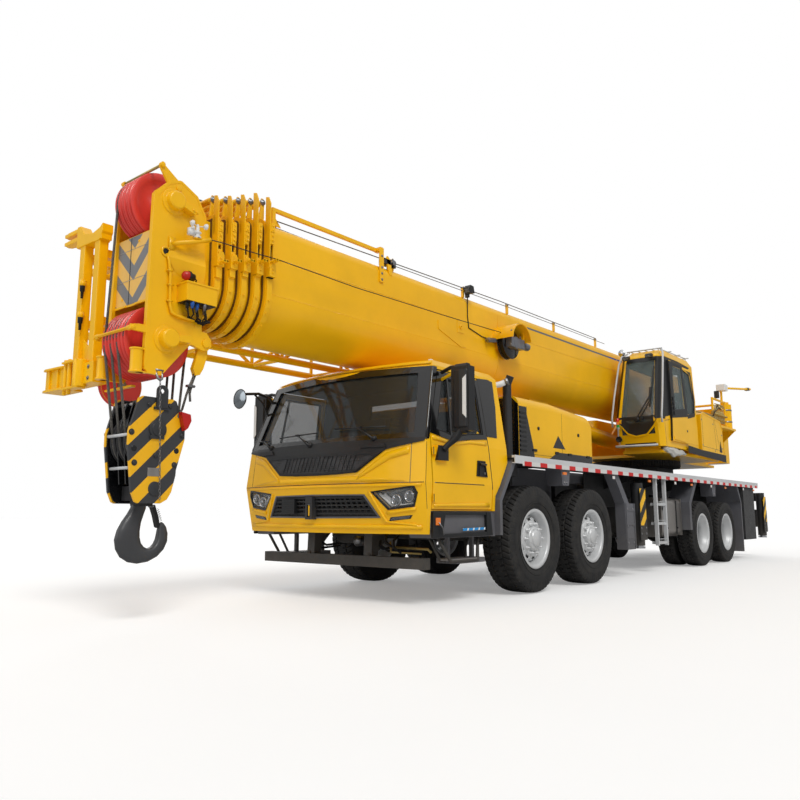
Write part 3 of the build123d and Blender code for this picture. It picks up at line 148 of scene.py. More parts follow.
def surface(name, colour, rough=0.5, metal=0.0, spread=0.10, dust=0.0, grain=0.0, grain_scale=300, coat=0.0,
            shine=0.5):
    """Paint, plastic or metal: cloudy colour, uneven gloss, fine grain, and road dust that fades upwards."""
    dust_top = 1.3
    m, t, b, v = new_material(name)
    cloud, fine = noise(t, v, 1.7, 5), noise(t, v, 26, 6, 0.7)
    dark = tuple(c * (1 - spread) for c in colour)
    light = tuple(min(c * (1 + spread), 1) for c in colour)
    shade = mix(t, ramp(t, cloud, (0.35, 0.0), (0.65, 1.0)), dark, light)
    specks = calc(t, "MULTIPLY", ramp(t, fine, (0.5, 0.0), (0.8, 1.0)), spread)
    shade = mix(t, specks, shade, tuple(c * 0.6 for c in colour))
    gloss = calc(t, "MULTIPLY_ADD", fine, 0.22, max(rough - 0.11, 0.03))
    if dust:
        depth = calc(t, "MULTIPLY", calc(t, "SUBTRACT", dust_top, split(t, v)[2]), 0.9)
        patches = calc(t, "ADD", noise(t, v, 7, 6, 0.7), 0.25)
        amount = ramp(t, calc(t, "MULTIPLY", depth, patches), (0.15, 0.0), (1.0, 1.0))
        amount = calc(t, "MULTIPLY", amount, dust)
        shade = mix(t, amount, shade, ROAD_DUST)
        gloss = calc(t, "ADD", gloss, calc(t, "MULTIPLY", amount, 0.3))
    put(t, b, Base_Color=shade, Roughness=gloss, Metallic=metal, Specular_IOR_Level=shine)
    if coat:
        put(t, b, Coat_Weight=coat, Coat_Roughness=0.06)
    if grain:
        bump(t, b, noise(t, v, grain_scale, 3, 0.6), grain, 0.002)
    else:
        bump(t, b, noise(t, v, 90, 2), 0.03, 0.0015)
    return m


def tyre_rubber():
    m, t, b, v = new_material("tyre_rubber")
    dusty = ramp(t, noise(t, v, 9, 7, 0.72), (0.42, 0.0), (0.78, 1.0))
    put(t, b, Base_Color=mix(t, calc(t, "MULTIPLY", dusty, 0.35), srgb(27, 27, 28), srgb(84, 79, 72)),
        Roughness=calc(t, "MULTIPLY_ADD", dusty, 0.2, 0.68))
    bump(t, b, noise(t, v, 240, 4, 0.7), 0.5, 0.002)
    return m


def tread_plate():
    """Chequered walkway plate: small raised lozenges in two directions, painted lighter than the plate between them as
    painted highlight and shade.
    """
    m, t, b, v = new_material("walkway_plate")
    x, y, _ = split(t, v)
    waves = [calc(t, "SINE", calc(t, "MULTIPLY", calc(t, way, x, y), 150)) for way in ("ADD", "SUBTRACT")]
    lozenge = ramp(t, calc(t, "MULTIPLY", *waves), (0.55, 0.0), (0.8, 1.0))
    dirt = noise(t, v, 6, 6, 0.7)
    # raised lozenges lighter, plate between them darker: painted highlight and shade of the relief
    shade = mix(t, lozenge, srgb(62, 63, 65), srgb(96, 97, 98))
    put(t, b, Base_Color=mix(t, calc(t, "MULTIPLY", dirt, 0.45), shade, srgb(50, 46, 42)), Metallic=0.4,
        Roughness=calc(t, "MULTIPLY_ADD", dirt, 0.3, 0.38))
    bump(t, b, lozenge, 0.6, 0.004)
    return m


def glass(name, colour, alpha, rough=0.03):
    m, t, b, v = new_material(name)
    put(t, b, Base_Color=colour, IOR=1.5, Alpha=alpha, Specular_IOR_Level=0.7,
        Roughness=calc(t, "MULTIPLY_ADD", noise(t, v, 3, 3), 0.03, rough))
    return m


def lens(name, colour):
    """Ribbed lamp lens, with painted glints along its ribs."""
    m, t, b, v = new_material(name)
    _, y, z = split(t, v)
    ribs = calc(t, "SINE", calc(t, "MULTIPLY", calc(t, "ADD", y, z), 700))
    # a brighter copy of the colour, mixed in along the ribs: painted glints
    lit = tuple(min(1, c * 1.7 + 0.02) for c in colour)
    put(t, b, Base_Color=mix(t, calc(t, "MULTIPLY_ADD", ribs, 0.1, 0.12), colour, lit), Roughness=0.12,
        Coat_Weight=0.7)
    bump(t, b, ribs, 0.15, 0.001)
    return m


def stripes(name, a, c, period, direction, chevron=False, offset=0.0, duty=0.5):
    """Bands in two colours. direction: weights of x, y and z; a chevron folds them about y = 0."""
    rough = 0.4
    m, t, b, v = new_material(name)
    x, y, z = split(t, v)
    if chevron:
        y = calc(t, "ABSOLUTE", y)
    s = calc(t, "ADD", calc(t, "MULTIPLY", x, direction[0]), calc(t, "MULTIPLY", y, direction[1]))
    s = calc(t, "ADD", s, calc(t, "MULTIPLY", z, direction[2]))
    s = calc(t, "FRACT", calc(t, "DIVIDE", calc(t, "ADD", s, 50 + offset), period))
    worn = noise(t, v, 30, 6, 0.75)
    shade = mix(t, calc(t, "GREATER_THAN", s, duty), a, c)
    shade = mix(t, calc(t, "MULTIPLY", ramp(t, worn, (0.55, 0.0), (0.75, 1.0)), 0.15), shade, WORN)
    put(t, b, Base_Color=shade, Roughness=calc(t, "MULTIPLY_ADD", worn, 0.2, rough - 0.1))
    bump(t, b, noise(t, v, 120, 2), 0.03, 0.001)
    return m


def rope_lay():
    """Steel wire rope: fine diagonal strands, with painted shade in the grooves between them and painted highlight on
    their crowns.
    """
    m, t, b, v = new_material("wire_rope")
    x, y, z = split(t, v)
    across = calc(t, "MULTIPLY", calc(t, "ADD", x, y), 1.6)
    strand = calc(t, "SINE", calc(t, "MULTIPLY", calc(t, "ADD", z, across), 520))
    # dark in the grooves between strands, light on their crowns: painted shade and highlight
    shade = mix(t, calc(t, "MULTIPLY_ADD", strand, 0.5, 0.5), srgb(52, 50, 48), srgb(128, 124, 118))
    put(t, b, Base_Color=shade, Metallic=0.6, Roughness=calc(t, "MULTIPLY_ADD", noise(t, v, 60, 3), 0.25, 0.35))
    bump(t, b, strand, 0.7, 0.003)
    return m


def mesh_screen(name, cell, base, hole):
    """Punched grille whose openings are painted near-black as painted shade behind them."""
    m, t, b, v = new_material(name)
    cells = t.nodes.new("ShaderNodeTexVoronoi")
    cells.feature = "F1"
    put(t, cells, Vector=v, Scale=1 / cell, Randomness=0.0)
    solid = ramp(t, cells.outputs["Distance"], (0.30, 0.0), (0.42, 1.0))
    # openings painted near-black: painted shade behind the holes
    put(t, b, Base_Color=mix(t, solid, hole, base),
        Roughness=calc(t, "MULTIPLY_ADD", noise(t, v, 20, 3), 0.15, 0.32))
    bump(t, b, solid, 0.8, 0.004)
    return m


M = {
    "yellow": surface("paint_yellow", srgb(248, 190, 8), 0.32, spread=0.04, coat=0.16, shine=0.3),
    "boom": surface("paint_boom", srgb(248, 188, 10), 0.34, spread=0.05, coat=0.2, shine=0.3),
    # dark brown painted shade for the gaps between the boom's collars
    "boom_painted_shade": surface("boom_painted_shade", srgb(112, 76, 12), 0.55),
    "dark": surface("paint_chassis", srgb(38, 39, 41), 0.48, spread=0.18, dust=0.35),
    "black": surface("plastic_black", srgb(24, 25, 27), 0.42, spread=0.15, grain=0.25, grain_scale=900),
    "fender": surface("plastic_fender", srgb(92, 93, 99), 0.55, spread=0.14, dust=0.28, grain=0.35, grain_scale=700),
    "trim": surface("gloss_black", srgb(14, 15, 17), 0.16, spread=0.1, coat=0.6),
    "grey": surface("paint_light_grey", srgb(198, 200, 202), 0.42, spread=0.06, dust=0.1),
    "slate": surface("paint_slate", srgb(96, 100, 108), 0.36, spread=0.06, coat=0.3),
    "slate_dark": surface("paint_block", srgb(52, 54, 57), 0.42, spread=0.12),
    "hook_paint": surface("paint_hook", srgb(62, 63, 66), 0.40, spread=0.10, coat=0.15),
    "blue_band": surface("band_blue", srgb(28, 86, 168), 0.4, spread=0.05),
    "alu": surface("aluminium_brushed", srgb(176, 172, 168), 0.34, metal=0.85, spread=0.08, dust=0.22),
    "rim": surface("rim_silver", srgb(208, 210, 212), 0.36, metal=0.2, spread=0.05, dust=0.12),
    "steel": surface("steel_bare", srgb(150, 150, 152), 0.33, metal=0.95, spread=0.12),
    "chrome": surface("chrome_rod", srgb(214, 216, 220), 0.10, metal=1.0, spread=0.02),
    "brass": surface("zinc_yellow", srgb(196, 174, 110), 0.4, metal=0.7, spread=0.12),
    "iron": surface("cast_iron", srgb(50, 50, 52), 0.62, metal=0.3, spread=0.2, grain=0.6, grain_scale=140),
    "red": surface("sheave_red", srgb(226, 62, 52), 0.38, spread=0.10, coat=0.3),
    "red_plain": surface("plastic_red", srgb(190, 24, 18), 0.36, spread=0.06),
    "white": surface("plastic_white", srgb(226, 226, 224), 0.42, spread=0.03),
    "fabric": surface("seat_cloth", srgb(44, 45, 50), 0.88, spread=0.16, grain=0.9, grain_scale=1400),
    "fabric_pale": surface("wrap_cloth", srgb(196, 196, 192), 0.9, spread=0.14),
    "hose": surface("rubber_hose", srgb(22, 22, 23), 0.6, spread=0.15, grain=0.3, grain_scale=500),
    "inside": surface("cab_trim", srgb(70, 70, 74), 0.7, spread=0.12, grain=0.4, grain_scale=600),
    "mirror": surface("mirror_face", srgb(150, 158, 164), 0.06, metal=1.0, spread=0.02),
    "tyre": tyre_rubber(),
    "plate": tread_plate(),
    "rope": rope_lay(),
    "glass": glass("glass_tinted", srgb(52, 58, 60), 0.40),
    "glass_clear": glass("glass_cab", srgb(112, 128, 128), 0.24),
    "lamp": glass("lamp_cover", srgb(214, 220, 224), 0.12, 0.05),
    "amber": lens("lens_amber", srgb(240, 120, 10)),
    "red_lens": lens("lens_red", srgb(200, 18, 12)),
    "green_lens": lens("lens_green", srgb(20, 150, 60)),
    "tape": stripes("tape_red_white", srgb(206, 24, 22), srgb(214, 214, 212), 0.36, (1, 0, 0), duty=0.45),
    "blue_strip": stripes("reflector_blue", srgb(30, 140, 210), srgb(230, 236, 240), 0.10, (1, 0, 0.4), duty=0.75),
    "hazard_x": stripes("hazard_side", srgb(26, 26, 27), srgb(247, 190, 10), 0.20, (0.7, 0, 0.7)),
    "hazard_block": stripes("hazard_cheeks", srgb(58, 59, 62), srgb(246, 184, 12), 0.2875, (1, 0, 1), offset=-0.1193),
    "chevron": stripes("chevron_film", srgb(122, 123, 126), srgb(240, 190, 96), 0.283, (0, -0.95, 1.0), chevron=True,
                       offset=0.0731, duty=0.463),
    "grille": mesh_screen("mesh_grille", 0.022, srgb(46, 47, 50), srgb(6, 6, 7)),
}


# ------------------------------------------------------------------ paint on the CAD nodes
def numbered(pattern, numbers):
    return [pattern.format(n, side) for n in numbers for side, _ in SIDES]


ENDS = ("front", "rear")
PAINTED = {
    "yellow": ["driver_cab", "bumper", "driver_door_left", "driver_door_right", "engine_hood", "turntable",
               "counterweight", "winches", "operator_cab", "operator_door", "jib", "luff_barrel", "hydraulics"],
    "boom": ["boom_base", *[f"boom_section_{k}" for k in range(1, 5)], "boom_tip"],
    "red": ["head_sheaves"],
    "dark": ["chassis_frame", "steer_axles", "driveline", "hook_block", *numbered("knuckle_{}_{}", (1, 2)),
             *numbered("outrigger_beam_{}_{}", ENDS)],
    "plate": ["deck"],
    "grey": ["side_rails"],
    "fender": ["mudguards"],
    "black": ["intake_grille"],
    "inside": ["cab_interior"],
    "alu": ["fuel_tank"],
    "iron": ["engine", "slew_ring", "hook"],
    "chrome": ["luff_rod", *numbered("outrigger_jack_{}_{}", ENDS)],
    "glass": ["driver_cab_glass"],
    "glass_clear": ["operator_glass"],
    "lamp": ["headlamps"],
    "tyre": numbered("wheel_{}_{}", (1, 2, 3, 4)),
    "fabric": ["operator_seat"],
    "rope": ["hoist_ropes"],
}
for o in frame["nodes"].values():
    o.data.materials.clear()
for material, names in PAINTED.items():
    for name in names:
        frame["nodes"][name].data.materials.append(M[material])


def inside(x, z, outline):
    """Whether a point lies within an outline given as (x, z) pairs."""
    hit = False
    for (x0, z0), (x1, z1) in zip(outline, outline[1:] + outline[:1]):
        if (z0 > z) != (z1 > z) and x < x0 + (z - z0) * (x1 - x0) / (z1 - z0):
            hit = not hit
    return hit


def paint_faces(name, *rules):
    """Paints the faces of one CAD node whose centre meets a rule of (material, test)."""
    o = frame["nodes"][name]
    first = len(o.data.materials)
    for material, _ in rules:
        o.data.materials.append(M[material])
    for face in o.data.polygons:
        c = o.matrix_world @ face.center
        for k, (_, test) in enumerate(rules):
            if test(c.x - D, abs(c.y), c.z):
                face.material_index = first + k


def paint_inner(name, material, centre, low_z, high_z):
    """Paints the faces of a hollow CAD node that look at a point inside it."""
    o = frame["nodes"][name]
    o.data.materials.append(M[material])
    for face in o.data.polygons:
        c = o.matrix_world @ face.center
        n = o.matrix_world.to_3x3() @ face.normal
        away = c - Vector((centre[0] + D, centre[1], centre[2]))
        if low_z < c.z < high_z and n.dot(away) < -0.05 * away.length:
            face.material_index = len(o.data.materials) - 1


DOOR_SKIN_Y = 1.333                                 # of the driver's doors; the mirrors' feet stand outside it
DOOR_PANE = [(0.972, 1.715), (0.986, 2.262), (1.588, 2.264), (1.806, 1.705), (1.498, 1.648), (1.25, 1.690)]
OP_DOOR_PANE = [(-4.61, 2.56), (-4.66, 3.34), (-5.11, 3.34), (-5.13, 2.56)]
paint_inner("driver_cab", "inside", (1.35, 0, 1.75), 1.16, 2.43)
paint_inner("operator_cab", "inside", (-5.0, 0.95, 2.8), 1.99, 3.60)
for side, _ in SIDES:
    paint_faces(f"driver_door_{side}", ("glass", lambda x, y, z: inside(x, z, DOOR_PANE)),
                ("black", lambda x, y, z: y > DOOR_SKIN_Y))
paint_faces("operator_door", ("black", lambda x, y, z: abs(x + 4.440 + 0.0882 * (z - 2.06)) < 0.006),
            ("glass_clear", lambda x, y, z: inside(x, z, OP_DOOR_PANE)))


# ------------------------------------------------------------------ mesh tools
ABOUT = {"x": lambda w, u, v: (w, u, v), "y": lambda w, u, v: (u, w, v), "z": lambda w, u, v: (u, v, w)}


def circle(segments, start=0.0):
    """Cosine and sine at even steps round a turn."""
    angles = [2 * pi * (k + start) / segments for k in range(segments)]
    return [(cos(a), sin(a)) for a in angles]


def rod(start, end, radius):
    """Profile of a plain cylinder for Piece.lathe."""
    return [(start, 0.0), (start, radius), (end, radius), (end, 0.0)]


def shifted(offset, *profile):
    """The same profile further along its axis."""
    return [(offset + w, r) for w, r in profile]


class Piece:
    """Collects solids and sheets for one named piece, which rides on one body."""

    def __init__(self, name, material, body, bevel=0.0, smooth=False, slot=None):
        self.name, self.body, self.bevel, self.smooth, self.slot = name, body, bevel, smooth, slot
        self.materials = [material]
        self.bm = bmesh.new()

    def add(self, points, faces, material=None, smooth=None):
        """Takes up points and the faces between them; every other method ends here."""
        made = [self.bm.verts.new((x + D, y, z)) for x, y, z in points]
        material = material or self.materials[0]
        if material not in self.materials:
            self.materials.append(material)
        for corners in faces:
            try:
                face = self.bm.faces.new([made[i] for i in corners])
            except ValueError:                      # the same face twice
                continue
            face.material_index = self.materials.index(material)
            face.smooth = self.smooth if smooth is None else smooth

    def box(self, x, y, z, material=None):
        (x0, x1), (y0, y1), (z0, z1) = sorted(x), sorted(y), sorted(z)
        return self.prism("y", [(x0, z0), (x1, z0), (x1, z1), (x0, z1)], y0, y1, material)

    def prism(self, axis, points, a, b, material=None):
        """Outline in the plane across axis ('x': (y, z), 'y': (x, z), 'z': (x, y)), from a to b."""
        n = len(points)
        faces = [tuple(range(n))[::-1], tuple(range(n, 2 * n))]
        faces += [(i, (i + 1) % n, n + (i + 1) % n, n + i) for i in range(n)]
        self.add([ABOUT[axis](w, *p) for w in (a, b) for p in points], faces, material)
        return self

    def loop_skin(self, loops, caps=True, material=None, smooth=None):
        """Skin over closed rings of equal count."""
        n, count = len(loops[0]), len(loops)
        faces = [(k * n + i, k * n + (i + 1) % n, (k + 1) * n + (i + 1) % n, (k + 1) * n + i)
                 for k in range(count - 1) for i in range(n)]
        if caps:
            faces += [tuple(range(n))[::-1], tuple(range((count - 1) * n, count * n))]
        self.add([p for loop in loops for p in loop], faces, material, smooth)
        return self

    def tube(self, points, radius, segments=10, material=None, radii=None):
        """Round bar along points, mitred at its corners."""
        pts = [Vector(p) for p in points]
        steps = [(q - p).normalized() for p, q in zip(pts, pts[1:])]
        loops, up = [], None
        for i, p in enumerate(pts):
            stretch = 1
            if i == 0 or i == len(pts) - 1:
                d = pts[1] - p if i == 0 else p - pts[i - 1]
            else:
                d = steps[i] + steps[i - 1]
                stretch = 1 / max(0.5, sqrt((1 + steps[i].dot(steps[i - 1])) / 2))
            d.normalize()
            if up is None:
                up = Vector((0, 0, 1)) if abs(d.z) < 0.9 else Vector((1, 0, 0))
            side = d.cross(up).normalized()
            up = side.cross(d).normalized()
            r = radii[i] if radii else radius
            loops.append([p + (side * c + up * s) * r * stretch for c, s in circle(segments)])
        return self.loop_skin(loops, material=material, smooth=True)

    def lathe(self, profile, centre, axis="y", segments=48, material=None, closed=False):
        """profile: (along, radius) pairs turned about an axis through centre."""
        c, n = Vector(centre), len(profile)
        points = [c + Vector(ABOUT[axis](w, r * u, r * v)) for u, v in circle(segments) for w, r in profile]
        faces = []
        for k in range(segments):
            m = (k + 1) % segments
            for i in range(n if closed else n - 1):
                j = (i + 1) % n
                faces.append((k * n + i, m * n + i, m * n + j, k * n + j))
        self.add(points, faces, material, smooth=True)
        return self

    def bolt(self, at, normal, radius=0.012, height=0.008, material=None, washer=True):
        """Hexagon head, on its washer or alone."""
        n = Vector(normal).normalized()
        side = n.cross(Vector((0, 0, 1)) if abs(n.z) < 0.9 else Vector((1, 0, 0))).normalized()
        over = n.cross(side)
        rings = [(16, [(1.5, 0.0), (1.5, 0.25)])] if washer else []
        for count, ring in rings + [(6, [(1.0, 0.0), (1.0, 0.9), (0.85, 1.0)])]:
            self.loop_skin([[Vector(at) + n * height * h + (side * c + over * s) * radius * wide
                             for c, s in circle(count)] for wide, h in ring], material=material)
        return self

    def both(self):
        """Adds the same on the crane's other side."""
        made = bmesh.ops.duplicate(self.bm, geom=[*self.bm.verts, *self.bm.edges, *self.bm.faces])["geom"]
        for v in made:
            if isinstance(v, bmesh.types.BMVert):
                v.co.y = -v.co.y
        bmesh.ops.reverse_faces(self.bm, faces=[g for g in made if isinstance(g, bmesh.types.BMFace)])
        return self

    def turn(self, about, axis, angle):
        """Turns all that is there so far."""
        bmesh.ops.rotate(self.bm, cent=Vector((about[0] + D, about[1], about[2])),
                         matrix=Matrix.Rotation(angle, 3, axis), verts=list(self.bm.verts))
        return self

    def done(self, replaces=(), weld=False):
        """Bevels the sharp edges and hands the piece to the frame, for the nodes that it replaces."""
        if weld:
            bmesh.ops.remove_doubles(self.bm, verts=list(self.bm.verts), dist=0.0002)
        bmesh.ops.recalc_face_normals(self.bm, faces=list(self.bm.faces))
        sharp = [e for e in self.bm.edges if len(e.link_faces) == 2 and e.calc_face_angle(0) > radians(32)]
        if self.bevel and sharp:
            bmesh.ops.bevel(self.bm, geom=sharp, offset=self.bevel, segments=2, affect="EDGES", profile=0.7,
                            clamp_overlap=True)
        data = bpy.data.meshes.new(self.name)
        self.bm.to_mesh(data)
        self.bm.free()
        for name in self.materials:
            data.materials.append(M[name])
        o = bpy.data.objects.new(self.name, data)
        bpy.context.scene.collection.objects.link(o)
        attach(o, self.body)
        if replaces:
            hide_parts(*replaces)


# ------------------------------------------------------------------ wheels
def tyre_mesh(p, middle, radius, width, lugs, groove=0.014):
    """Tyre with a block tread: rings across it, whose crown is cut into lugs, and moulded rings on its walls."""
    wall = [(-0.40, 0.302), (-0.425, 0.330), (-0.468, 0.372), (-0.497, 0.43), (-0.500, 0.47),
            (-0.488, radius - 0.095), (-0.472, radius - 0.052), (-0.452, radius - 0.030)]
    crown = [0.055, 0.07, 0.17, 0.19, 0.215, 0.235, 0.345, 0.36, 0.43]
    steps = lugs * 5
    rows = []
    for k in range(steps):
        notch = groove * 0.8 if k % 5 == 0 else 0
        edge = [(w * width, r - (notch if w < -0.46 and r > radius - 0.11 else 0), 0.0) for w, r in wall]
        ring = list(edge)
        for w in [-w for w in reversed(crown)] + crown:
            shoulder = abs(w) >= 0.235 and k % 5 == 0
            rib = 0.06 < abs(w) <= 0.17 and (k + (2 if w > 0 else 0)) % 5 == 0
            cut = groove if abs(w) in (0.215, 0.19) or shoulder or rib else 0
            r = radius - 0.012 * (w / 0.43) ** 4 - 0.0006
            ring.append((w * width, r - cut, 0.35 * 2 * pi / lugs * sin(w * 9)))
        ring += [(-w, r, 0.0) for w, r, _ in reversed(edge)]
        a = 2 * pi * k / steps
        rows.append([(r * cos(a + lead), middle + w, r * sin(a + lead)) for w, r, lead in ring])
    n = len(rows[0])
    p.add([q for row in rows for q in row],
          [(k * n + i, (k + 1) % steps * n + i, (k + 1) % steps * n + (i + 1) % n, k * n + (i + 1) % n)
           for k in range(steps) for i in range(n)])
    for s in (-1, 1):
        for r in (0.345, 0.405, radius - 0.115):
            w = width / 2 * (0.90 if r < 0.36 else 0.975)
            ring = [(middle + s * (w + dy), r + dr)
                    for dy, dr in ((-0.004, -0.006), (0.004, -0.003), (0.004, 0.003), (-0.004, 0.006))]
            loops = [[(rr * u, yy, rr * v) for yy, rr in ring] for u, v in circle(96)]
            p.loop_skin(loops + loops[:1], caps=False)


def disc_with_holes(p, profile, hole_from, holes=10, hole_to=0.240, thickness=0.012, segments=120):
    """Turned sheet with a ring of openings between two radii; profile: (along, radius) from outside in."""
    n, every = len(profile), segments // holes
    open_steps = every // 2
    points = [(r * u, y - depth, r * v) for depth in (0, thickness) for u, v in circle(segments) for y, r in profile]
    back = segments * n
    in_hole = [i for i in range(n - 1) if hole_from < (profile[i][1] + profile[i + 1][1]) / 2 < hole_to]
    faces = []
    for k in range(segments):
        m = (k + 1) % segments
        for i in range(n - 1):
            if k % every < open_steps and i in in_hole:
                continue
            front = (k * n + i, m * n + i, m * n + i + 1, k * n + i + 1)
            faces += [front, tuple(back + f for f in reversed(front))]
    for h in range(holes):
        first, last = h * every, (h * every + open_steps) % segments
        for k in (first, last):
            faces += [(k * n + i, k * n + i + 1, back + k * n + i + 1, back + k * n + i) for i in in_hole]
        for k in range(first, first + open_steps):
            m = (k + 1) % segments
            faces += [(k * n + i, m * n + i, back + m * n + i, back + k * n + i) for i in (in_hole[0], in_hole[-1] + 1)]
    p.add(points, faces, smooth=True)


STEER_DISC = [(0.035, 0.262), (0.062, 0.258), (0.088, 0.248), (0.104, 0.236), (0.110, 0.222), (0.113, 0.206),
              (0.117, 0.196), (0.124, 0.190), (0.126, 0.140), (0.122, 0.132)]
STEER_HUB = [(0.05, 0.140), (0.152, 0.136), (0.166, 0.128), (0.170, 0.116), (0.170, 0.098), (0.182, 0.094),
             (0.190, 0.086), (0.193, 0.0)]
DRIVE_DISC = [(0.05, 0.262), (0.036, 0.254), (0.026, 0.244), (0.020, 0.232), (0.018, 0.222), (0.017, 0.206),
              (0.017, 0.198), (0.018, 0.190), (0.020, 0.140), (0.020, 0.100)]
DRIVE_HUB = [(0.015, 0.140), (0.060, 0.136), (0.090, 0.130), (0.150, 0.124), (0.164, 0.116), (0.166, 0.096),
             (0.176, 0.092), (0.180, 0.080), (0.182, 0.0)]
INNER_DISC = [(-0.05, 0.262), (-0.036, 0.254), (-0.026, 0.244), (-0.018, 0.222), (-0.014, 0.200), (-0.004, 0.190),
              (-0.002, 0.100)]
STUD = [(0.0, 0.021), (0.006, 0.021), (0.006, 0.016), (0.024, 0.0155), (0.026, 0.013), (0.026, 0.010), (0.044, 0.010),
        (0.046, 0.0)]


def wheel(number, side, s):
    """Tyre and rim pieces of one wheel, made about its axle with the outside towards +Y, then put in place."""
    steer = number <= STEERED
    radius, width, lugs = (0.605, 0.385, 54) if steer else (0.555, 0.300, 48)
    node = f"wheel_{number}_{side}"
    t = Piece(f"w{number}_{side}_tyre", "tyre", node, slot="tyre")
    r = Piece(f"w{number}_{side}_rim", "rim", node, slot="aluminium")
    centre, e = (0, 0, 0), 0.40 * width
    for inner_twin, y in enumerate((1.1675,) if steer else (1.210, 0.865)):
        tyre_mesh(t, y, radius, width, lugs)
        well = [(e - 0.03, 0.300), (e, 0.303), (e + 0.004, 0.338), (e + 0.012, 0.340), (e + 0.016, 0.334),
                (e + 0.012, 0.300), (e - 0.006, 0.291), (e - 0.034, 0.288)]
        # one rim flange, the well between, and the other flange
        outer = [(-w, q) for w, q in reversed(well[:5])] + [(-0.05, 0.268), (0.05, 0.268)] + well \
            + [(0.05, 0.254), (-0.05, 0.254)] + [(-w, q) for w, q in reversed(well[5:])]
        r.lathe(shifted(y, *outer), centre, segments=96, closed=True)
        if inner_twin:
            disc_with_holes(r, shifted(y + 0.1725, *INNER_DISC), 0.205)
            continue
        f = y if steer else y - 0.1725
        disc, hub = (STEER_DISC, STEER_HUB) if steer else (DRIVE_DISC, DRIVE_HUB)
        disc_with_holes(r, shifted(f, *disc), 0.207)
        r.lathe(shifted(f, *hub), centre, segments=60)
        cap_bolts, ring_r, cap_y, stud_y = (8, 0.112, 0.170, 0.126) if steer else (10, 0.110, 0.166, 0.020)
        for u, v in circle(cap_bolts, 0.5):
            r.bolt((ring_r * u, f + cap_y, ring_r * v), (0, 1, 0), 0.009, 0.008, washer=False)
        for u, v in circle(10):
            r.lathe(shifted(f + stud_y, *STUD), (0.1675 * u, 0, 0.1675 * v), segments=12)
        valve = ((0.250, y + 0.02, 0.03), (0.262, y + 0.06, 0.03), (0.258, y + 0.095, 0.03))
        r.tube(valve, 0.005, 8, material="hose")
    for v in list(t.bm.verts) + list(r.bm.verts):
        v.co.x += AXLES[number - 1]
        v.co.y *= s
        v.co.z += radius
    t.done(replaces=[node])
    r.done()


for number in range(1, len(AXLES) + 1):
    for side, s in SIDES:
        wheel(number, side, s)


# ------------------------------------------------------------------ camera, light and floor
def sun(name, direction, strength, angle, colour=(1, 1, 1)):
    light = bpy.data.lights.new(name, "SUN")
    light.energy, light.angle, light.color = strength, radians(angle), colour
    lamp = bpy.data.objects.new(name, light)
    lamp.rotation_mode = "QUATERNION"
    lamp.rotation_quaternion = Vector(direction).to_track_quat("-Z", "Y")
    bpy.context.scene.collection.objects.link(lamp)


def camera():
    scene = bpy.context.scene
    scene.view_settings.view_transform = "Standard"
    cam = bpy.data.cameras.new("camera")
    cam.lens, cam.sensor_width = 33.30, 36
    cam.clip_start, cam.clip_end = 0.1, 400
    o = bpy.data.objects.new("camera", cam)
    scene.collection.objects.link(o)
    scene.camera = o
    o.location = (7.579 + D, 5.625, 0.879)
    yaw, pitch = radians(219.735), radians(8.774)
    ahead = Vector((cos(yaw) * cos(pitch), sin(yaw) * cos(pitch), sin(pitch)))
    o.rotation_mode = "QUATERNION"
    o.rotation_quaternion = ahead.to_track_quat("-Z", "Y")


def studio():
    """White where the camera looks past the crane; dimmer and graded for light and for reflections."""
    world = bpy.data.worlds.new("studio")
    bpy.context.scene.world = world
    world.use_nodes = True
    t = world.node_tree
    ray = t.nodes.new("ShaderNodeLightPath").outputs
    seen = calc(t, "MAXIMUM", ray["Is Camera Ray"], ray["Is Transmission Ray"])
    up = split(t, t.nodes.new("ShaderNodeNewGeometry").outputs["Position"])[2]
    height = calc(t, "MULTIPLY_ADD", up, 0.5, 0.5)
    sky = calc(t, "MULTIPLY", ramp(t, height, (0.40, 0.52), (0.62, 0.78), (1.0, 1.0)), 0.50)
    mirrored = ramp(t, height, (0.40, 0.18), (0.60, 0.38), (1.0, 1.0))
    colour = mix(t, seen, mix(t, ray["Is Glossy Ray"], sky, mirrored), (1.0, 1.0, 1.0))
    put(t, t.nodes["Background"], Color=colour, Strength=1.0)


def studio_floor():
    """Pale disc that glows a little to the camera alone and is darker in reflections."""
    m, t, b, v = new_material("floor_pale")
    ray = t.nodes.new("ShaderNodeLightPath").outputs
    pale = mix(t, noise(t, v, 0.4, 3), (0.80, 0.80, 0.80), (0.84, 0.84, 0.84))
    put(t, b, Roughness=0.9, Base_Color=mix(t, ray["Is Glossy Ray"], pale, (0.34, 0.34, 0.34)),
        Emission_Color=(1, 1, 1), Emission_Strength=calc(t, "MULTIPLY", ray["Is Camera Ray"], 0.26))
    bpy.ops.mesh.primitive_circle_add(vertices=64, radius=150, fill_type="NGON", location=(0, 0, -0.0015))
    floor = bpy.context.object
    floor.name = "floor"
    floor.data.materials.append(m)


camera()
studio()
sun("key", (-0.35, -0.62, -0.75), 1.50, 24, (1.0, 0.985, 0.95))
sun("fill", (-0.9, 0.35, -0.32), 0.45, 40)
sun("back", (0.5, 0.8, -0.45), 0.5, 40)
studio_floor()


# ------------------------------------------------------------------ lines and sheets on curved faces
def level(half, z):
    """Line across the front at one height."""
    return [(-half, z), (half, z)]


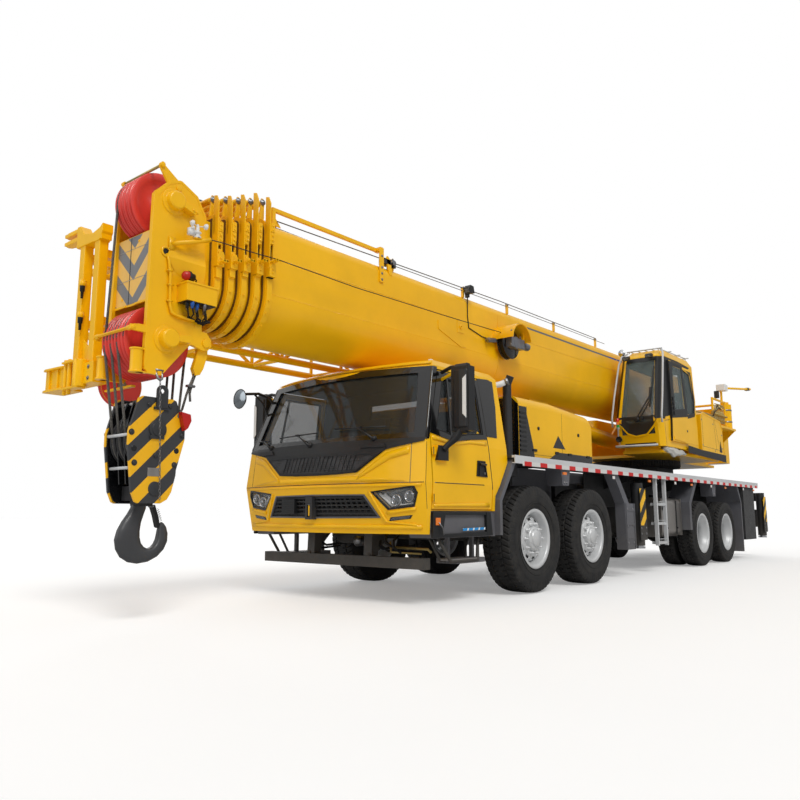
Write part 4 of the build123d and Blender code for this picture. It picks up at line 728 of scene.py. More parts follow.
def band(p, a, b, at, lift, depth=0.006, closed=False, sub=6, rows=1, material=None):
    """Sheet of even thickness between two lines of equal count, laid on a surface given by at(point, lift)."""
    def between(q, r, t):
        return q[0] + (r[0] - q[0]) * t, q[1] + (r[1] - q[1]) * t

    def fine(line):
        line = list(line) + ([line[0]] if closed else [])
        out = [between(q, r, k / sub) for q, r in zip(line, line[1:]) for k in range(sub)]
        return out if closed else out + [line[-1]]
    pairs = list(zip(fine(a), fine(b)))
    lines = [[between(q, r, k / rows) for q, r in pairs] for k in range(rows + 1)]
    top = [[at(q, lift) for q in line] for line in lines]
    low = [[at(q, lift - depth) for q in line] for line in lines]
    loops = [[row[i] for row in top] + [row[i] for row in reversed(low)] for i in range(len(pairs))]
    return p.loop_skin(loops + loops[:1] if closed else loops, caps=not closed, material=material)


def sheet(p, outline, at, lift, depth=0.006, rows=8, material=None):
    """Convex outline filled with strips along its second coordinate."""
    bottom, top = min(z for _, z in outline), max(z for _, z in outline)
    levels = sorted({bottom + (top - bottom) * k / rows for k in range(rows + 1)} | {z for _, z in outline})
    near = 1e-9
    left, right = [], []
    for z in levels:
        xs = []
        for (x0, z0), (x1, z1) in zip(outline, outline[1:] + outline[:1]):
            if abs(z1 - z0) < near and abs(z - z0) <= near:
                xs += [x0, x1]
            elif abs(z1 - z0) >= near and min(z0, z1) - near <= z <= max(z0, z1) + near:
                xs.append(x0 + (x1 - x0) * ((z - z0) / (z1 - z0)))
        left.append((min(xs), z))
        right.append((max(xs), z))
    return band(p, left, right, at, lift, depth, sub=1, rows=rows, material=material)


# ------------------------------------------------------------------ driver's cab
# height, half width, corner x and nose x
CAB = ((0.690, 1.290, 1.950, 2.130), (1.180, 1.322, 2.030, 2.210), (1.580, 1.300, 1.985, 2.180),
       (2.380, 1.175, 1.705, 1.890), (2.455, 1.090, 1.600, 1.760))


def cab_at(z):
    """Half width, corner x and nose x of the cab at a height."""
    z = min(max(z, CAB[0][0]), CAB[-1][0])
    for a, b in zip(CAB, CAB[1:]):
        if z <= b[0]:
            t = (z - a[0]) / (b[0] - a[0])
            return tuple(a[i] + (b[i] - a[i]) * t for i in (1, 2, 3))


def cab_front(p, lift):
    """Point of the curved front at (y, z), moved out by lift."""
    y, z = p
    half, corner, nose = cab_at(z)
    sag = nose - corner
    r = (half * half + sag * sag) / (2 * sag)
    inner = min(abs(y), half)
    return nose - r + sqrt(r * r - inner * inner) + lift, y + lift * y / r, z


def cab_side(s):
    """Surface of one side of the cab, for points (x, z)."""
    def at(p, lift):
        x, z = p
        return x, s * (cab_at(z)[0] + lift), z
    return at


def front(p, a, b, lift, depth=0.006, **options):
    """Band on the cab's front."""
    return band(p, a, b, cab_front, lift, depth, **options)


def cab_glazing():
    """Black surround of the screen, pillars, rear side windows and the beads on both corners."""
    def edge(z):
        return cab_at(z)[0] + 0.004
    p = Piece("cab_screen_surround", "trim", CARRIER)
    outer = [(-edge(1.595), 1.595), (0, 1.595), (edge(1.595), 1.595), (edge(2.0), 2.0), (edge(2.366), 2.366),
             (0, 2.392), (-edge(2.366), 2.366), (-edge(2.0), 2.0)]
    inner = [(-1.16, 1.665), (0, 1.655), (1.16, 1.665), (1.105, 2.0), (1.045, 2.300), (0, 2.312), (-1.045, 2.300),
             (-1.105, 2.0)]
    front(p, outer, inner, 0.006, 0.010, closed=True, sub=10)
    pillar = (1.60, 1.72, 1.9, 2.1, 2.25, 2.366)
    rear = [(0.900, 1.70), (0.905, 2.00), (0.925, 2.345), (0.715, 2.36), (0.62, 2.345), (0.635, 2.05), (0.70, 1.70)]
    for _, s in SIDES:
        band(p, [(cab_at(z)[1] + 0.002, z) for z in pillar], [(1.922 - (z - 1.64) * 0.384, z) for z in pillar],
             cab_side(s), 0.005, 0.008, sub=3)
        sheet(p, rear, cab_side(s), 0.005, 0.008, rows=6)
    p.done()
    p = Piece("cab_corner_beads", "trim", CARRIER)
    corner = [(z, *cab_at(z)) for z in (1.615, 1.72, 1.85, 2.0, 2.15, 2.30, 2.36)]
    for _, s in SIDES:
        p.tube([(x + 0.001, s * (half - 0.001), z) for z, half, x, _ in corner], 0.013, 10)
    p.done()


def cab_fascia():
    """Cowl with its mesh, panel seams, and the creases and lips of fascia and bumper."""
    p = Piece("cab_cowl", "black", CARRIER)
    half = [(0, 1.272), (0.30, 1.276), (0.57, 1.290), (0.885, 1.505), (0.95, 1.520), (1.286, 1.578)]
    low = [(-y, z) for y, z in half[:0:-1]] + half
    front(p, low, [(y, 1.612) for y, _ in low], 0.012, 0.02, rows=3)
    for y0, y1 in ((-1.02, -0.72), (0.60, 0.90)):
        front(p, [(y0, 1.532), (y1, 1.532)], [(y0 + 0.03, 1.572), (y1 - 0.03, 1.572)], 0.026, 0.02)
    p.done()
    mesh = [(-0.80, 1.468), (0.80, 1.468), (0.555, 1.318), (0.28, 1.304), (-0.28, 1.304), (-0.555, 1.318)]
    sheet(Piece("cab_mesh", "grille", CARRIER), mesh, cab_front, 0.016, 0.02, rows=4).done()
    p = Piece("cab_mesh_frame", "black", CARRIER)
    frame_out = [(-0.85, 1.486), (0, 1.486), (0.85, 1.486), (0.562, 1.302), (0.28, 1.288), (0, 1.286), (-0.28, 1.288),
                 (-0.562, 1.302)]
    frame_in = [mesh[0], (0, 1.468), *mesh[1:4], (0, 1.302), *mesh[4:]]
    front(p, frame_out, frame_in, 0.021, 0.02, closed=True)
    foot, head, lean = 1.312, 1.466, 0.05           # moulded ribs that lean across the mesh
    for y in [-0.74 + k * 0.059 for k in range(26)]:
        if abs(y) < 0.54 and abs(y + lean) < 0.78:
            front(p, [(y, foot), (y + 0.006, foot)], [(y + lean, head), (y + lean + 0.006, head)], 0.0185, 0.004,
                  sub=1, rows=2)
    p.done()

    p = Piece("cab_seams", "trim", CARRIER)
    front(p, level(1.31, 1.177), level(1.31, 1.184), 0.0012, 0.004, sub=24)
    seam = [(cab_at(z)[1] - 0.004, z) for z in (0.93, 1.18, 1.60)]
    for _, s in SIDES:
        front(p, [(s * 1.165, 1.184), (s * 1.155, 1.575)], [(s * 1.171, 1.184), (s * 1.161, 1.575)], 0.0012, 0.004,
              sub=3)
        band(p, seam, [(x - 0.006, z) for x, z in seam], cab_side(s), 0.0012, 0.004)
    p.done()
    p = Piece("cab_fascia_crease", "yellow", CARRIER, smooth=True)
    for _, s in SIDES:
        front(p, [(s * 0.60, 1.262), (s * 0.905, 1.478), (s * 1.14, 1.535)],
              [(s * 0.57, 1.215), (s * 0.945, 1.415), (s * 1.14, 1.46)], 0.010, 0.014)
    front(p, level(1.12, 1.196), level(0.60, 1.252), 0.008, 0.012, sub=16)
    p.done()
    p = Piece("bumper_lips", "yellow", CARRIER, smooth=True)
    front(p, level(1.29, 1.168), level(1.28, 1.146), 0.010, 0.014, sub=24)
    front(p, level(1.24, 0.735), level(1.24, 0.775), 0.012, 0.016, sub=24)
    for _, s in SIDES:
        front(p, [(s * 0.70, 1.10), (s * 0.86, 0.80), (s * 1.20, 0.765)],
              [(s * 0.725, 1.10), (s * 0.885, 0.815), (s * 1.20, 0.785)], 0.014, 0.018)
        front(p, [(s * 0.885, 0.905), (s * 1.20, 0.945)], [(s * 0.895, 0.875), (s * 1.20, 0.915)], 0.012, 0.016)
    p.done()


def intake():
    """Slatted air intake with painted shade behind its slats, its frame, radar box and towing eye."""
    p = Piece("intake_slats", "dark", CARRIER, bevel=0.002)
    for z, half in ((0.882, 0.765), (0.925, 0.735), (0.968, 0.705), (1.011, 0.675), (1.046, 0.650)):
        front(p, level(half, z - 0.007), level(half, z + 0.007), -0.002, 0.034, sub=16)
    for y in [k * 0.0735 for k in range(-9, 10)]:
        front(p, [(y, 0.872), (y + 0.008, 0.872)], [(y * 0.9, 1.05), (y * 0.9 + 0.008, 1.05)], -0.010, 0.03, sub=1,
              rows=3)
    p.done()
    # black sheet behind the slats: painted shade inside the intake
    p = Piece("intake_shade_sheet", "trim", CARRIER)
    sheet(p, level(0.775, 0.862) + level(-0.640, 1.058), cab_front, -0.034, 0.006, rows=4).done()
    p = Piece("intake_frame", "fender", CARRIER)
    front(p, [(-0.815, 0.842), (0, 0.836), (0.815, 0.842), (0.655, 1.073), (0, 1.080), (-0.655, 1.073)],
          [(-0.785, 0.858), (0, 0.853), (0.785, 0.858), (0.640, 1.060), (0, 1.066), (-0.640, 1.060)], 0.008, 0.02,
          closed=True, sub=8).done()
    p = Piece("radar_box", "black", CARRIER, bevel=0.008)
    p.box((2.135, 2.205), (-0.50, -0.30), (0.885, 1.035))
    for z in [0.905 + 0.021 * k for k in range(6)]:
        p.box((2.205, 2.209), (-0.48, -0.32), (z, z + 0.008))
    p.done()
    p = Piece("tow_eye", "dark", CARRIER, bevel=0.004)
    for y, z in (((-0.115, -0.015), (0.985, 1.055)), ((-0.115, -0.085), (0.825, 0.985)),
                 ((-0.045, -0.015), (0.825, 0.985)), ((-0.085, -0.045), (0.825, 0.848))):
        p.box((2.10, 2.222), y, z)
    p.lathe(rod(0.0, 0.115, 0.011), (2.206, -0.066, 0.858), "z", 16, "yellow")
    p.lathe(rod(0.0, 0.012, 0.02), (2.206, -0.066, 0.972), "z", 16, "steel").done()


def headlamp(side, s):
    """Dark bowl, two projectors with a light bar, and the fog lamp below."""
    def lamp_at(q, lift):
        return cab_front((s * q[0], q[1]), lift)
    rim = [(0.728, 1.098), (0.905, 0.918), (1.190, 0.950), (1.238, 1.083), (1.207, 1.150)]
    bowl = [(0.752, 1.088), (0.914, 0.936), (1.176, 0.966), (1.216, 1.080), (1.186, 1.130)]
    p = Piece(f"headlamp_bowl_{side}", "trim", CARRIER)
    band(p, rim, bowl, lamp_at, 0.005, 0.03, closed=True, sub=5)
    sheet(p, bowl, lamp_at, -0.062, 0.012, rows=4).done()
    p = Piece(f"headlamp_optics_{side}", "chrome", CARRIER, smooth=True)
    r = 0.047
    for y, z in ((0.985, 1.013), (1.128, 1.050)):
        c = lamp_at((y, z), 0)
        p.lathe([(-0.058, r + 0.008), (-0.022, r + 0.010), (-0.018, r + 0.004), (-0.024, r), (-0.05, r * 0.8)], c,
                "x", 28)
        p.lathe([(-0.05, r * 0.82), (-0.030, r * 0.76), (-0.018, r * 0.45), (-0.015, 0.0)], c, "x", 28, "lamp")
    for a, b in (([(0.80, 1.075), (0.93, 0.955)], [(0.82, 1.082), (0.945, 0.965)]),
                 ([(0.93, 0.952), (1.165, 0.980)], [(0.932, 0.962), (1.168, 0.990)])):
        band(p, a, b, lamp_at, -0.028, 0.02, sub=3, material="white")
    sheet(p, [(0.83, 1.052), (0.92, 0.972), (0.925, 1.035), (0.87, 1.083)], lamp_at, -0.04, 0.012, rows=2,
          material="grey").done()
    p = Piece(f"fog_lamp_{side}", "trim", CARRIER)
    sheet(p, [(0.905, 0.812), (1.135, 0.836), (1.160, 0.872), (0.925, 0.850)], lamp_at, 0.004, 0.02, rows=2)
    sheet(p, [(0.925, 0.820), (1.118, 0.840), (1.138, 0.864), (0.938, 0.846)], lamp_at, 0.008, 0.02, rows=2,
          material="lamp").done()


def wipers():
    p = Piece("wipers", "black", CARRIER)
    for pivot, arm, blade in (((-0.80, 1.612), (-0.98, 1.700), ((-1.13, 1.712), (-0.86, 1.694))),
                              ((-0.10, 1.600), (-0.33, 1.722), ((-0.66, 1.716), (-0.02, 1.728))),
                              ((0.74, 1.622), (0.52, 1.748), ((0.22, 1.752), (0.86, 1.740)))):
        p.lathe([(-0.02, 0.030), (0.012, 0.028), (0.022, 0.020), (0.026, 0.0)], cab_front(pivot, 0.012), "x", 18)
        p.tube([cab_front(pivot, 0.034), cab_front(arm, 0.034)], 0.009, 8, radii=[0.013, 0.007])
        p.tube([cab_front(end, 0.026) for end in blade], 0.007, 8)
        x, y, z = cab_front([sum(pair) / 2 for pair in zip(*blade)], 0.022)
        p.box((x - 0.006, x + 0.018), (y - 0.028, y + 0.028), (z - 0.010, z + 0.010))
    p.done()


def cab_roof():
    """Visor lip, roof ribs, beacons and vent pipe."""
    p = Piece("cab_roof_trim", "yellow", CARRIER, smooth=True)
    front(p, level(1.14, 2.398), level(1.12, 2.425), 0.030, 0.045, sub=20).done()
    p = Piece("cab_roof_ribs", "yellow", CARRIER, bevel=0.006)
    for y in (-0.78, -0.39, 0.0, 0.39, 0.78):
        p.box((0.62, 1.50), (y - 0.05, y + 0.05), (2.452, 2.464))
    p.done()
    p = Piece("cab_beacons", "white", CARRIER)
    beacon = (1.42, 0.93, 2.452)
    p.lathe([(0.0, 0.048), (0.010, 0.048), (0.012, 0.040), (0.040, 0.036), (0.058, 0.024), (0.064, 0.0)], beacon, "z",
            28)
    p.lathe([(-0.004, 0.056), (0.006, 0.056), (0.008, 0.05)], beacon, "z", 28, "black").both().done()
    p = Piece("cab_vent_pipe", "white", CARRIER)
    p.tube([(0.62, 1.02, 2.30), (0.50, 1.10, 2.33), (0.44, 1.17, 2.345), (0.40, 1.23, 2.372)], 0.034, 18)
    p.tube([(0.405, 1.222, 2.368), (0.385, 1.252, 2.382)], 0.042, 18, "steel").done()


def door(side, s):
    """Window frame, handle and creases of a driver's door, and its mirror."""
    body = f"driver_door_{side}"
    skin = cab_side(s)

    def y(value):
        return s * value
    p = Piece(f"door_frame_{side}", "trim", body)
    outer = [(0.911, 1.668), (0.914, 1.9), (0.930, 2.320), (1.25, 2.322), (1.650, 2.322), (1.780, 2.0),
             (1.912, 1.662), (1.52, 1.600), (1.25, 1.640)]
    inner = [(0.972, 1.715), (0.974, 1.9), (0.986, 2.262), (1.25, 2.264), (1.588, 2.264), (1.70, 1.98),
             (1.806, 1.705), (1.498, 1.648), (1.25, 1.690)]
    band(p, outer, inner, skin, 0.008, 0.012, closed=True, sub=5)
    band(p, [(1.545, 1.655), (1.490, 2.262)], [(1.575, 1.660), (1.515, 2.262)], skin, 0.010, 0.012, sub=3).done()
    p = Piece(f"door_rubber_{side}", "hose", body, smooth=True)
    band(p, inner, [(x + (1.36 - x) * 0.05, z + (1.95 - z) * 0.05) for x, z in inner], skin, 0.003, 0.010,
         closed=True, sub=5).done()
    p = Piece(f"door_handle_{side}", "black", body, bevel=0.004)
    sheet(p, [(0.958, 1.262), (1.160, 1.268), (1.128, 1.432), (0.985, 1.432)], skin, 0.010, 0.014, rows=3)
    band(p, [(0.975, 1.275), (0.998, 1.418)], [(0.992, 1.275), (1.012, 1.418)], skin, 0.020, 0.012)
    band(p, [(1.105, 1.275), (1.090, 1.418)], [(1.125, 1.275), (1.108, 1.418)], skin, 0.020, 0.012)
    p.tube([skin((x, 1.392), 0.026) for x in (1.000, 1.105)], 0.013, 10, "trim")
    p.lathe([(0.0, 0.015), (y(0.006), 0.014), (y(0.008), 0.0)], skin((1.02, 1.30), 0.012), "y", 18, "steel").done()
    p = Piece(f"door_crease_{side}", "yellow", body, smooth=True)
    band(p, [(0.915, 0.955), (1.88, 0.950)], [(0.93, 1.00), (1.88, 0.975)], skin, 0.010, 0.014, sub=10)
    band(p, [(1.02, 1.176), (1.88, 1.176)], [(1.02, 1.184), (1.88, 1.184)], skin, 0.0014, 0.004, sub=8,
         material="trim")
    band(p, [(0.935, 1.60), (1.25, 1.60), (1.50, 1.565), (1.885, 1.60)],
         [(0.935, 1.635), (1.25, 1.632), (1.50, 1.592), (1.885, 1.64)], skin, 0.009, 0.012).done()

    # mirror: domed case, two glasses at the back, pale panel in front, arm down to the foot and stay to the roof
    p = Piece(f"mirror_case_{side}", "black", body, bevel=0.010)
    p.prism("z", [(1.702, y(1.418)), (1.702, y(1.598)), (1.722, y(1.580)), (1.728, y(1.510)), (1.722, y(1.436))],
            1.715, 2.285)
    p.prism("y", [(1.612, 2.318), (1.635, 2.352), (1.680, 2.352), (1.700, 2.318)], y(1.430), y(1.580))
    p.prism("y", [(1.622, 1.682), (1.655, 1.650), (1.695, 1.655), (1.703, 1.682)], y(1.430), y(1.560)).done()
    p = Piece(f"mirror_glass_{side}", "mirror", body, bevel=0.002)
    for z0, z1 in ((1.985, 2.290), (1.715, 1.960)):
        p.box((1.594, 1.601), (y(1.416), y(1.596)), (z0, z1))
    p.done()
    p = Piece(f"mirror_panel_{side}", "white", body)
    p.prism("x", [(y(1.548), 1.845), (y(1.592), 1.800), (y(1.596), 2.225), (y(1.552), 2.190)], 1.7275, 1.7305).done()
    p = Piece(f"mirror_arms_{side}", "black", body, bevel=0.006)
    p.tube([(1.672, y(1.490), 1.690), (1.690, y(1.440), 1.610), (1.735, y(1.372), 1.545), (1.762, y(1.345), 1.500)],
           0.03, 12, radii=[0.040, 0.032, 0.030, 0.034])
    p.tube([(1.655, y(1.470), 2.325), (1.650, y(1.360), 2.335), (1.610, y(1.215), 2.305)], 0.020, 10).done()


def convex_mirror():
    """Round wide-angle mirror on a curved arm at the right corner of the screen."""
    p = Piece("convex_mirror_arm", "black", CARRIER, bevel=0.004)
    p.tube([(1.77, -1.17, 2.18), (1.83, -1.20, 2.26), (1.95, -1.25, 2.30), (2.09, -1.30, 2.285),
            (2.18, -1.325, 2.25)], 0.017, 10)
    p.tube([(1.83, -1.19, 2.02), (1.90, -1.23, 2.19), (1.99, -1.27, 2.285)], 0.013, 10).done()
    p = Piece("convex_mirror", "black", CARRIER)
    centre = (2.185, -1.300, 2.215)
    p.lathe([(-0.045, 0.0), (-0.043, 0.05), (-0.025, 0.092), (0.0, 0.118), (0.006, 0.115), (0.004, 0.108)], centre,
            "x", 36)
    p.lathe([(0.002, 0.109), (0.014, 0.080), (0.022, 0.040), (0.024, 0.0)], centre, "x", 36, "mirror").done()


def boarding_step(side, s):
    """Black well with its reflector strip and side marker, and the hanging tread."""
    outer, inner = s * 1.322, s * 1.290
    p = Piece(f"step_well_{side}", "black", CARRIER, bevel=0.006)
    p.prism("y", [(1.905, 0.655), (1.905, 0.900), (1.700, 0.900), (1.755, 0.690), (0.985, 0.700), (0.985, 0.660)],
            inner, outer)
    p.prism("y", [(0.985, 0.660), (0.985, 0.900), (0.905, 0.900), (0.870, 0.660)], inner, outer)
    p.box((0.99, 1.70), (s * 1.292, s * 1.318), (0.872, 0.898)).done()
    p = Piece(f"step_marker_{side}", "amber", CARRIER, bevel=0.004)
    p.box((1.800, 1.872), (outer, s * 1.330), (0.775, 0.845)).done()
    p = Piece(f"step_strip_{side}", "blue_strip", CARRIER)
    p.prism("y", [(1.42, 0.716), (1.02, 0.722), (1.02, 0.746), (1.42, 0.740)], outer, s * 1.324).done()
    p = Piece(f"step_lever_{side}", "steel", CARRIER)
    p.tube([(1.832, s * 1.332, 0.80), (1.79, s * 1.345, 0.75), (1.775, s * 1.345, 0.68)], 0.007, 8).done()
    p = Piece(f"step_hanger_{side}", "dark", CARRIER)
    p.tube([(1.74, s * 1.24, 0.66), (1.55, s * 1.26, 0.418), (1.08, s * 1.26, 0.418), (1.055, s * 1.25, 0.66)],
           0.016, 12)
    p.tube([(1.70, s * 1.10, 0.66), (1.53, s * 1.12, 0.418), (1.09, s * 1.12, 0.418), (1.07, s * 1.10, 0.66)],
           0.014, 12).done()
    p = Piece(f"step_tread_{side}", "alu", CARRIER, bevel=0.002)
    for y in (1.100, 1.262):
        p.box((1.10, 1.53), (s * y, s * (y + 0.008)), (0.408, 0.440))
    for x in [1.105 + 0.0300 * k for k in range(15)]:
        p.prism("y", [(x, 0.420), (x + 0.018, 0.420), (x + 0.018, 0.434), (x + 0.012, 0.441), (x + 0.006, 0.434),
                      (x, 0.441)], s * 1.108, s * 1.262)
    p.done()


def under_bumper():
    """Hoses, pipes, air vessels and the underrun bar's brackets."""
    p = Piece("front_plumbing", "hose", CARRIER)
    for y, z in ((0.34, 0.62), (0.42, 0.60), (0.50, 0.63), (0.60, 0.58), (-0.62, 0.60), (-0.5, 0.64)):
        p.tube([(1.52, y, z + 0.1), (1.66, y + 0.02, z + 0.03), (1.71, y + 0.06, z - 0.04), (1.62, y + 0.10, z - 0.10),
                (1.30, y + 0.12, z - 0.08)], 0.012, 8)
    p.tube([(1.60, 0.52, 0.54), (1.60, 1.02, 0.53), (1.60, 1.06, 0.50)], 0.013, 8, "brass")
    p.tube([(1.63, 0.55, 0.60), (1.63, 0.56, 0.49), (1.62, 0.95, 0.485)], 0.009, 8, "brass").done()
    p = Piece("air_vessels", "dark", CARRIER)
    for centre, r, half in (((1.30, 0.62, 0.70), 0.085, 0.25), ((1.45, -0.10, 0.66), 0.10, 0.26)):
        dome = [(half, 0), (half - 0.01, r * 0.6), (half - 0.04, r * 0.96), (half - 0.06, r)]
        p.lathe([(-w, q) for w, q in dome] + dome[::-1], centre, "y", 28)
    p.lathe([(0, 0), (0, 0.05), (0.10, 0.055), (0.115, 0.03), (0.12, 0.0)], (1.66, 0.20, 0.60), "x", 22,
            "steel").done()
    p = Piece("underrun_brackets", "dark", CARRIER, bevel=0.004)
    y = 0.42
    p.prism("y", [(1.55, 0.84), (1.86, 0.84), (1.83, 0.66), (1.84, 0.46), (1.74, 0.46), (1.72, 0.64), (1.60, 0.76)],
            y - 0.055, y + 0.055)
    p.box((1.845, 1.853), (y - 0.09, y + 0.09), (0.36, 0.455))
    for dy in (-0.06, 0.06):
        for z in (0.385, 0.43):
            p.bolt((1.853, y + dy, z), (1, 0, 0), 0.010, 0.006)
    p.both().done()


cab_glazing()
cab_fascia()
intake()
wipers()
cab_roof()
convex_mirror()
under_bumper()
for side, s in SIDES:
    headlamp(side, s)
    door(side, s)
    boarding_step(side, s)


# ------------------------------------------------------------------ boom
FOOT, DROOP = (-7.8, 0, 3.08), radians(0.53)
BELLY, TOP, HALF = 2.5947, 3.7167, 0.420           # of the base section, before it droops
COLLAR, PITCH, INSET = 3.3, 0.125, 0.028           # front of the first collar, and what each next section changes
CRESTS = (3.938, 3.945, 3.895, 3.850, 3.820)       # tops of the collars' side plates
DECK = 3.15                                        # height where those plates stand on the belly bands


def boom_line(inset, out, up=None):
    """Outline of the boom's section as (y, z), pushed out; up cuts it off at a height and leaves the belly."""
    half, top, middle = HALF - inset, TOP - inset, BELLY + HALF
    corner = max(0.110 - inset, 0.008)
    arc = [((half + out) * cos(radians(a)), middle - (half + out) * sin(radians(a))) for a in range(0, 181, 9)]
    if up is not None:
        return [(half + out, up)] + arc + [(-half - out, up)]
    bend = [(half - corner + (corner + out) * cos(radians(a)), top - corner + (corner + out) * sin(radians(a)))
            for a in (90, 68, 45, 22, 0)]
    return bend + arc + [(-y, z) for y, z in reversed(bend)]


def hoop(p, inset, x0, x1, low, high, up=None, material=None):
    """Band round the boom from x0 to x1, between two distances from its skin."""
    lines = zip(boom_line(inset, low, up), boom_line(inset, high, up))
    loops = [[(x0, *a), (x1, *a), (x1, *b), (x0, *b)] for a, b in lines]
    if up is None:
        loops.append(loops[0])
    p.loop_skin(loops, caps=up is not None, material=material)


def settle(p, **options):
    """Leans a boom piece by the resting droop and hands it over."""
    return p.turn(FOOT, "Y", DROOP).done(**options)


def collar(k):
    """Collar at the front of section k: belly bands, side plates, sliders, painted shade at its gaps, top roller and
    cable horns.
    """
    body = f"boom_section_{k}" if k else BOOM
    inset, f, crest = INSET * k, COLLAR + PITCH * k, CRESTS[k]
    side, top, middle = HALF - inset, TOP - inset, BELLY + HALF
    p = Piece(f"collar_band_{k}", "boom", body, bevel=0.003)
    hoop(p, inset, f - 0.066, f - 0.006, 0.030, 0.047, up=3.140)
    hoop(p, inset, f - 0.078, f - 0.062, 0.002, 0.036, up=3.140)
    settle(p)
    p = Piece(f"collar_bolts_{k}", "boom", body)
    for z in (3.19, 3.225):
        p.bolt((f - 0.034, side + 0.090, z), (0, 1, 0), 0.0085, 0.009)
    for z in (top - 0.075, top - 0.115, top - 0.17, top - 0.215):
        p.bolt((f - 0.033, side + 0.086, z), (0, 1, 0), 0.0075, 0.008)
    p.both()
    for a in range(10, 171, 15):
        c, s = cos(radians(a)), sin(radians(a))
        p.bolt((f - 0.036, (side + 0.047) * c, middle - (side + 0.047) * s), (0, c, -s), 0.0095, 0.009)
    settle(p)

    p = Piece(f"collar_ribs_{k}", "boom", body, bevel=0.003)
    y, fin = side + 0.028, side * 0.78
    p.prism("x", [(y, DECK), (side + 0.080, DECK), (side + 0.080, crest - 0.075), (side + 0.050, crest - 0.01),
                  (side + 0.01, crest), (side + 0.01, top - 0.15), (y, top - 0.15)], f - 0.011, f)
    p.prism("x", [(y, DECK), (side + 0.060, DECK), (side + 0.060, top - 0.03), (y, top - 0.01)], f - 0.066, f - 0.055)
    p.box((f - 0.055, f - 0.011), (y, side + 0.086), (top - 0.135, top - 0.048))
    p.box((f - 0.050, f - 0.015), (y, side + 0.081), (top - 0.250, top - 0.138))
    p.prism("y", [(f - 0.074, DECK), (f + 0.002, DECK), (f + 0.002, 3.235), (f - 0.020, 3.285), (f - 0.062, 3.285),
                  (f - 0.074, 3.255)], y, side + 0.090)
    p.box((f - 0.060, f - 0.004), (y, side + 0.062), (3.285, 3.315))
    p.prism("y", [(f - 0.066, top - 0.002), (f - 0.066, top + 0.10), (f - 0.060, top + 0.10), (f - 0.030, top + 0.01),
                  (f - 0.004, top - 0.002)], fin - 0.018, fin - 0.030)
    settle(p.both())
    p = Piece(f"collar_sliders_and_shade_{k}", "black", body, bevel=0.002)
    p.box((f - 0.053, f - 0.013), (side + 0.030, side + 0.042), (3.318, top - 0.252))
    # thin black strip just above the belly bands: painted shade for the gap there
    p.box((f - 0.064, f - 0.004), (side + 0.030, side + 0.066), (3.141, 3.149)).both()
    # dark brown band just ahead of the collar, round the next section: painted shade in the gap between the sections
    hoop(p, inset, f + 0.001, f + 0.008, -0.026, -0.003, material="boom_painted_shade")
    settle(p)

    p = Piece(f"collar_rollers_{k}", "steel", body)
    axle = (f - 0.038, 0, top + 0.205)
    end = [(0, 0.030), (0.010, 0.028), (0.012, 0.016), (0.020, 0.015), (0.022, 0.0)]
    p.lathe(shifted(fin + 0.008, *end), axle, "y", 24).both()
    reach = fin - 0.012
    p.lathe([(-reach, 0.016), (-reach, 0.027), (0.02 - reach, 0.030), (reach - 0.02, 0.030), (reach, 0.027),
             (reach, 0.016)], axle, "y", 20, "boom")
    settle(p)
    p = Piece(f"collar_horns_{k}", "boom", body, bevel=0.002)
    z = top - 0.425
    for out in (side + 0.10, side + 0.165):
        p.box((f - 0.056, f - 0.008), (out, out + 0.007), (z - 0.012, z + 0.012))
    p.prism("z", [(f - 0.060, side + 0.03), (f - 0.004, side + 0.03), (f - 0.010, side + 0.075),
                  (f - 0.054, side + 0.075)], z - 0.014, z - 0.008)
    settle(p)


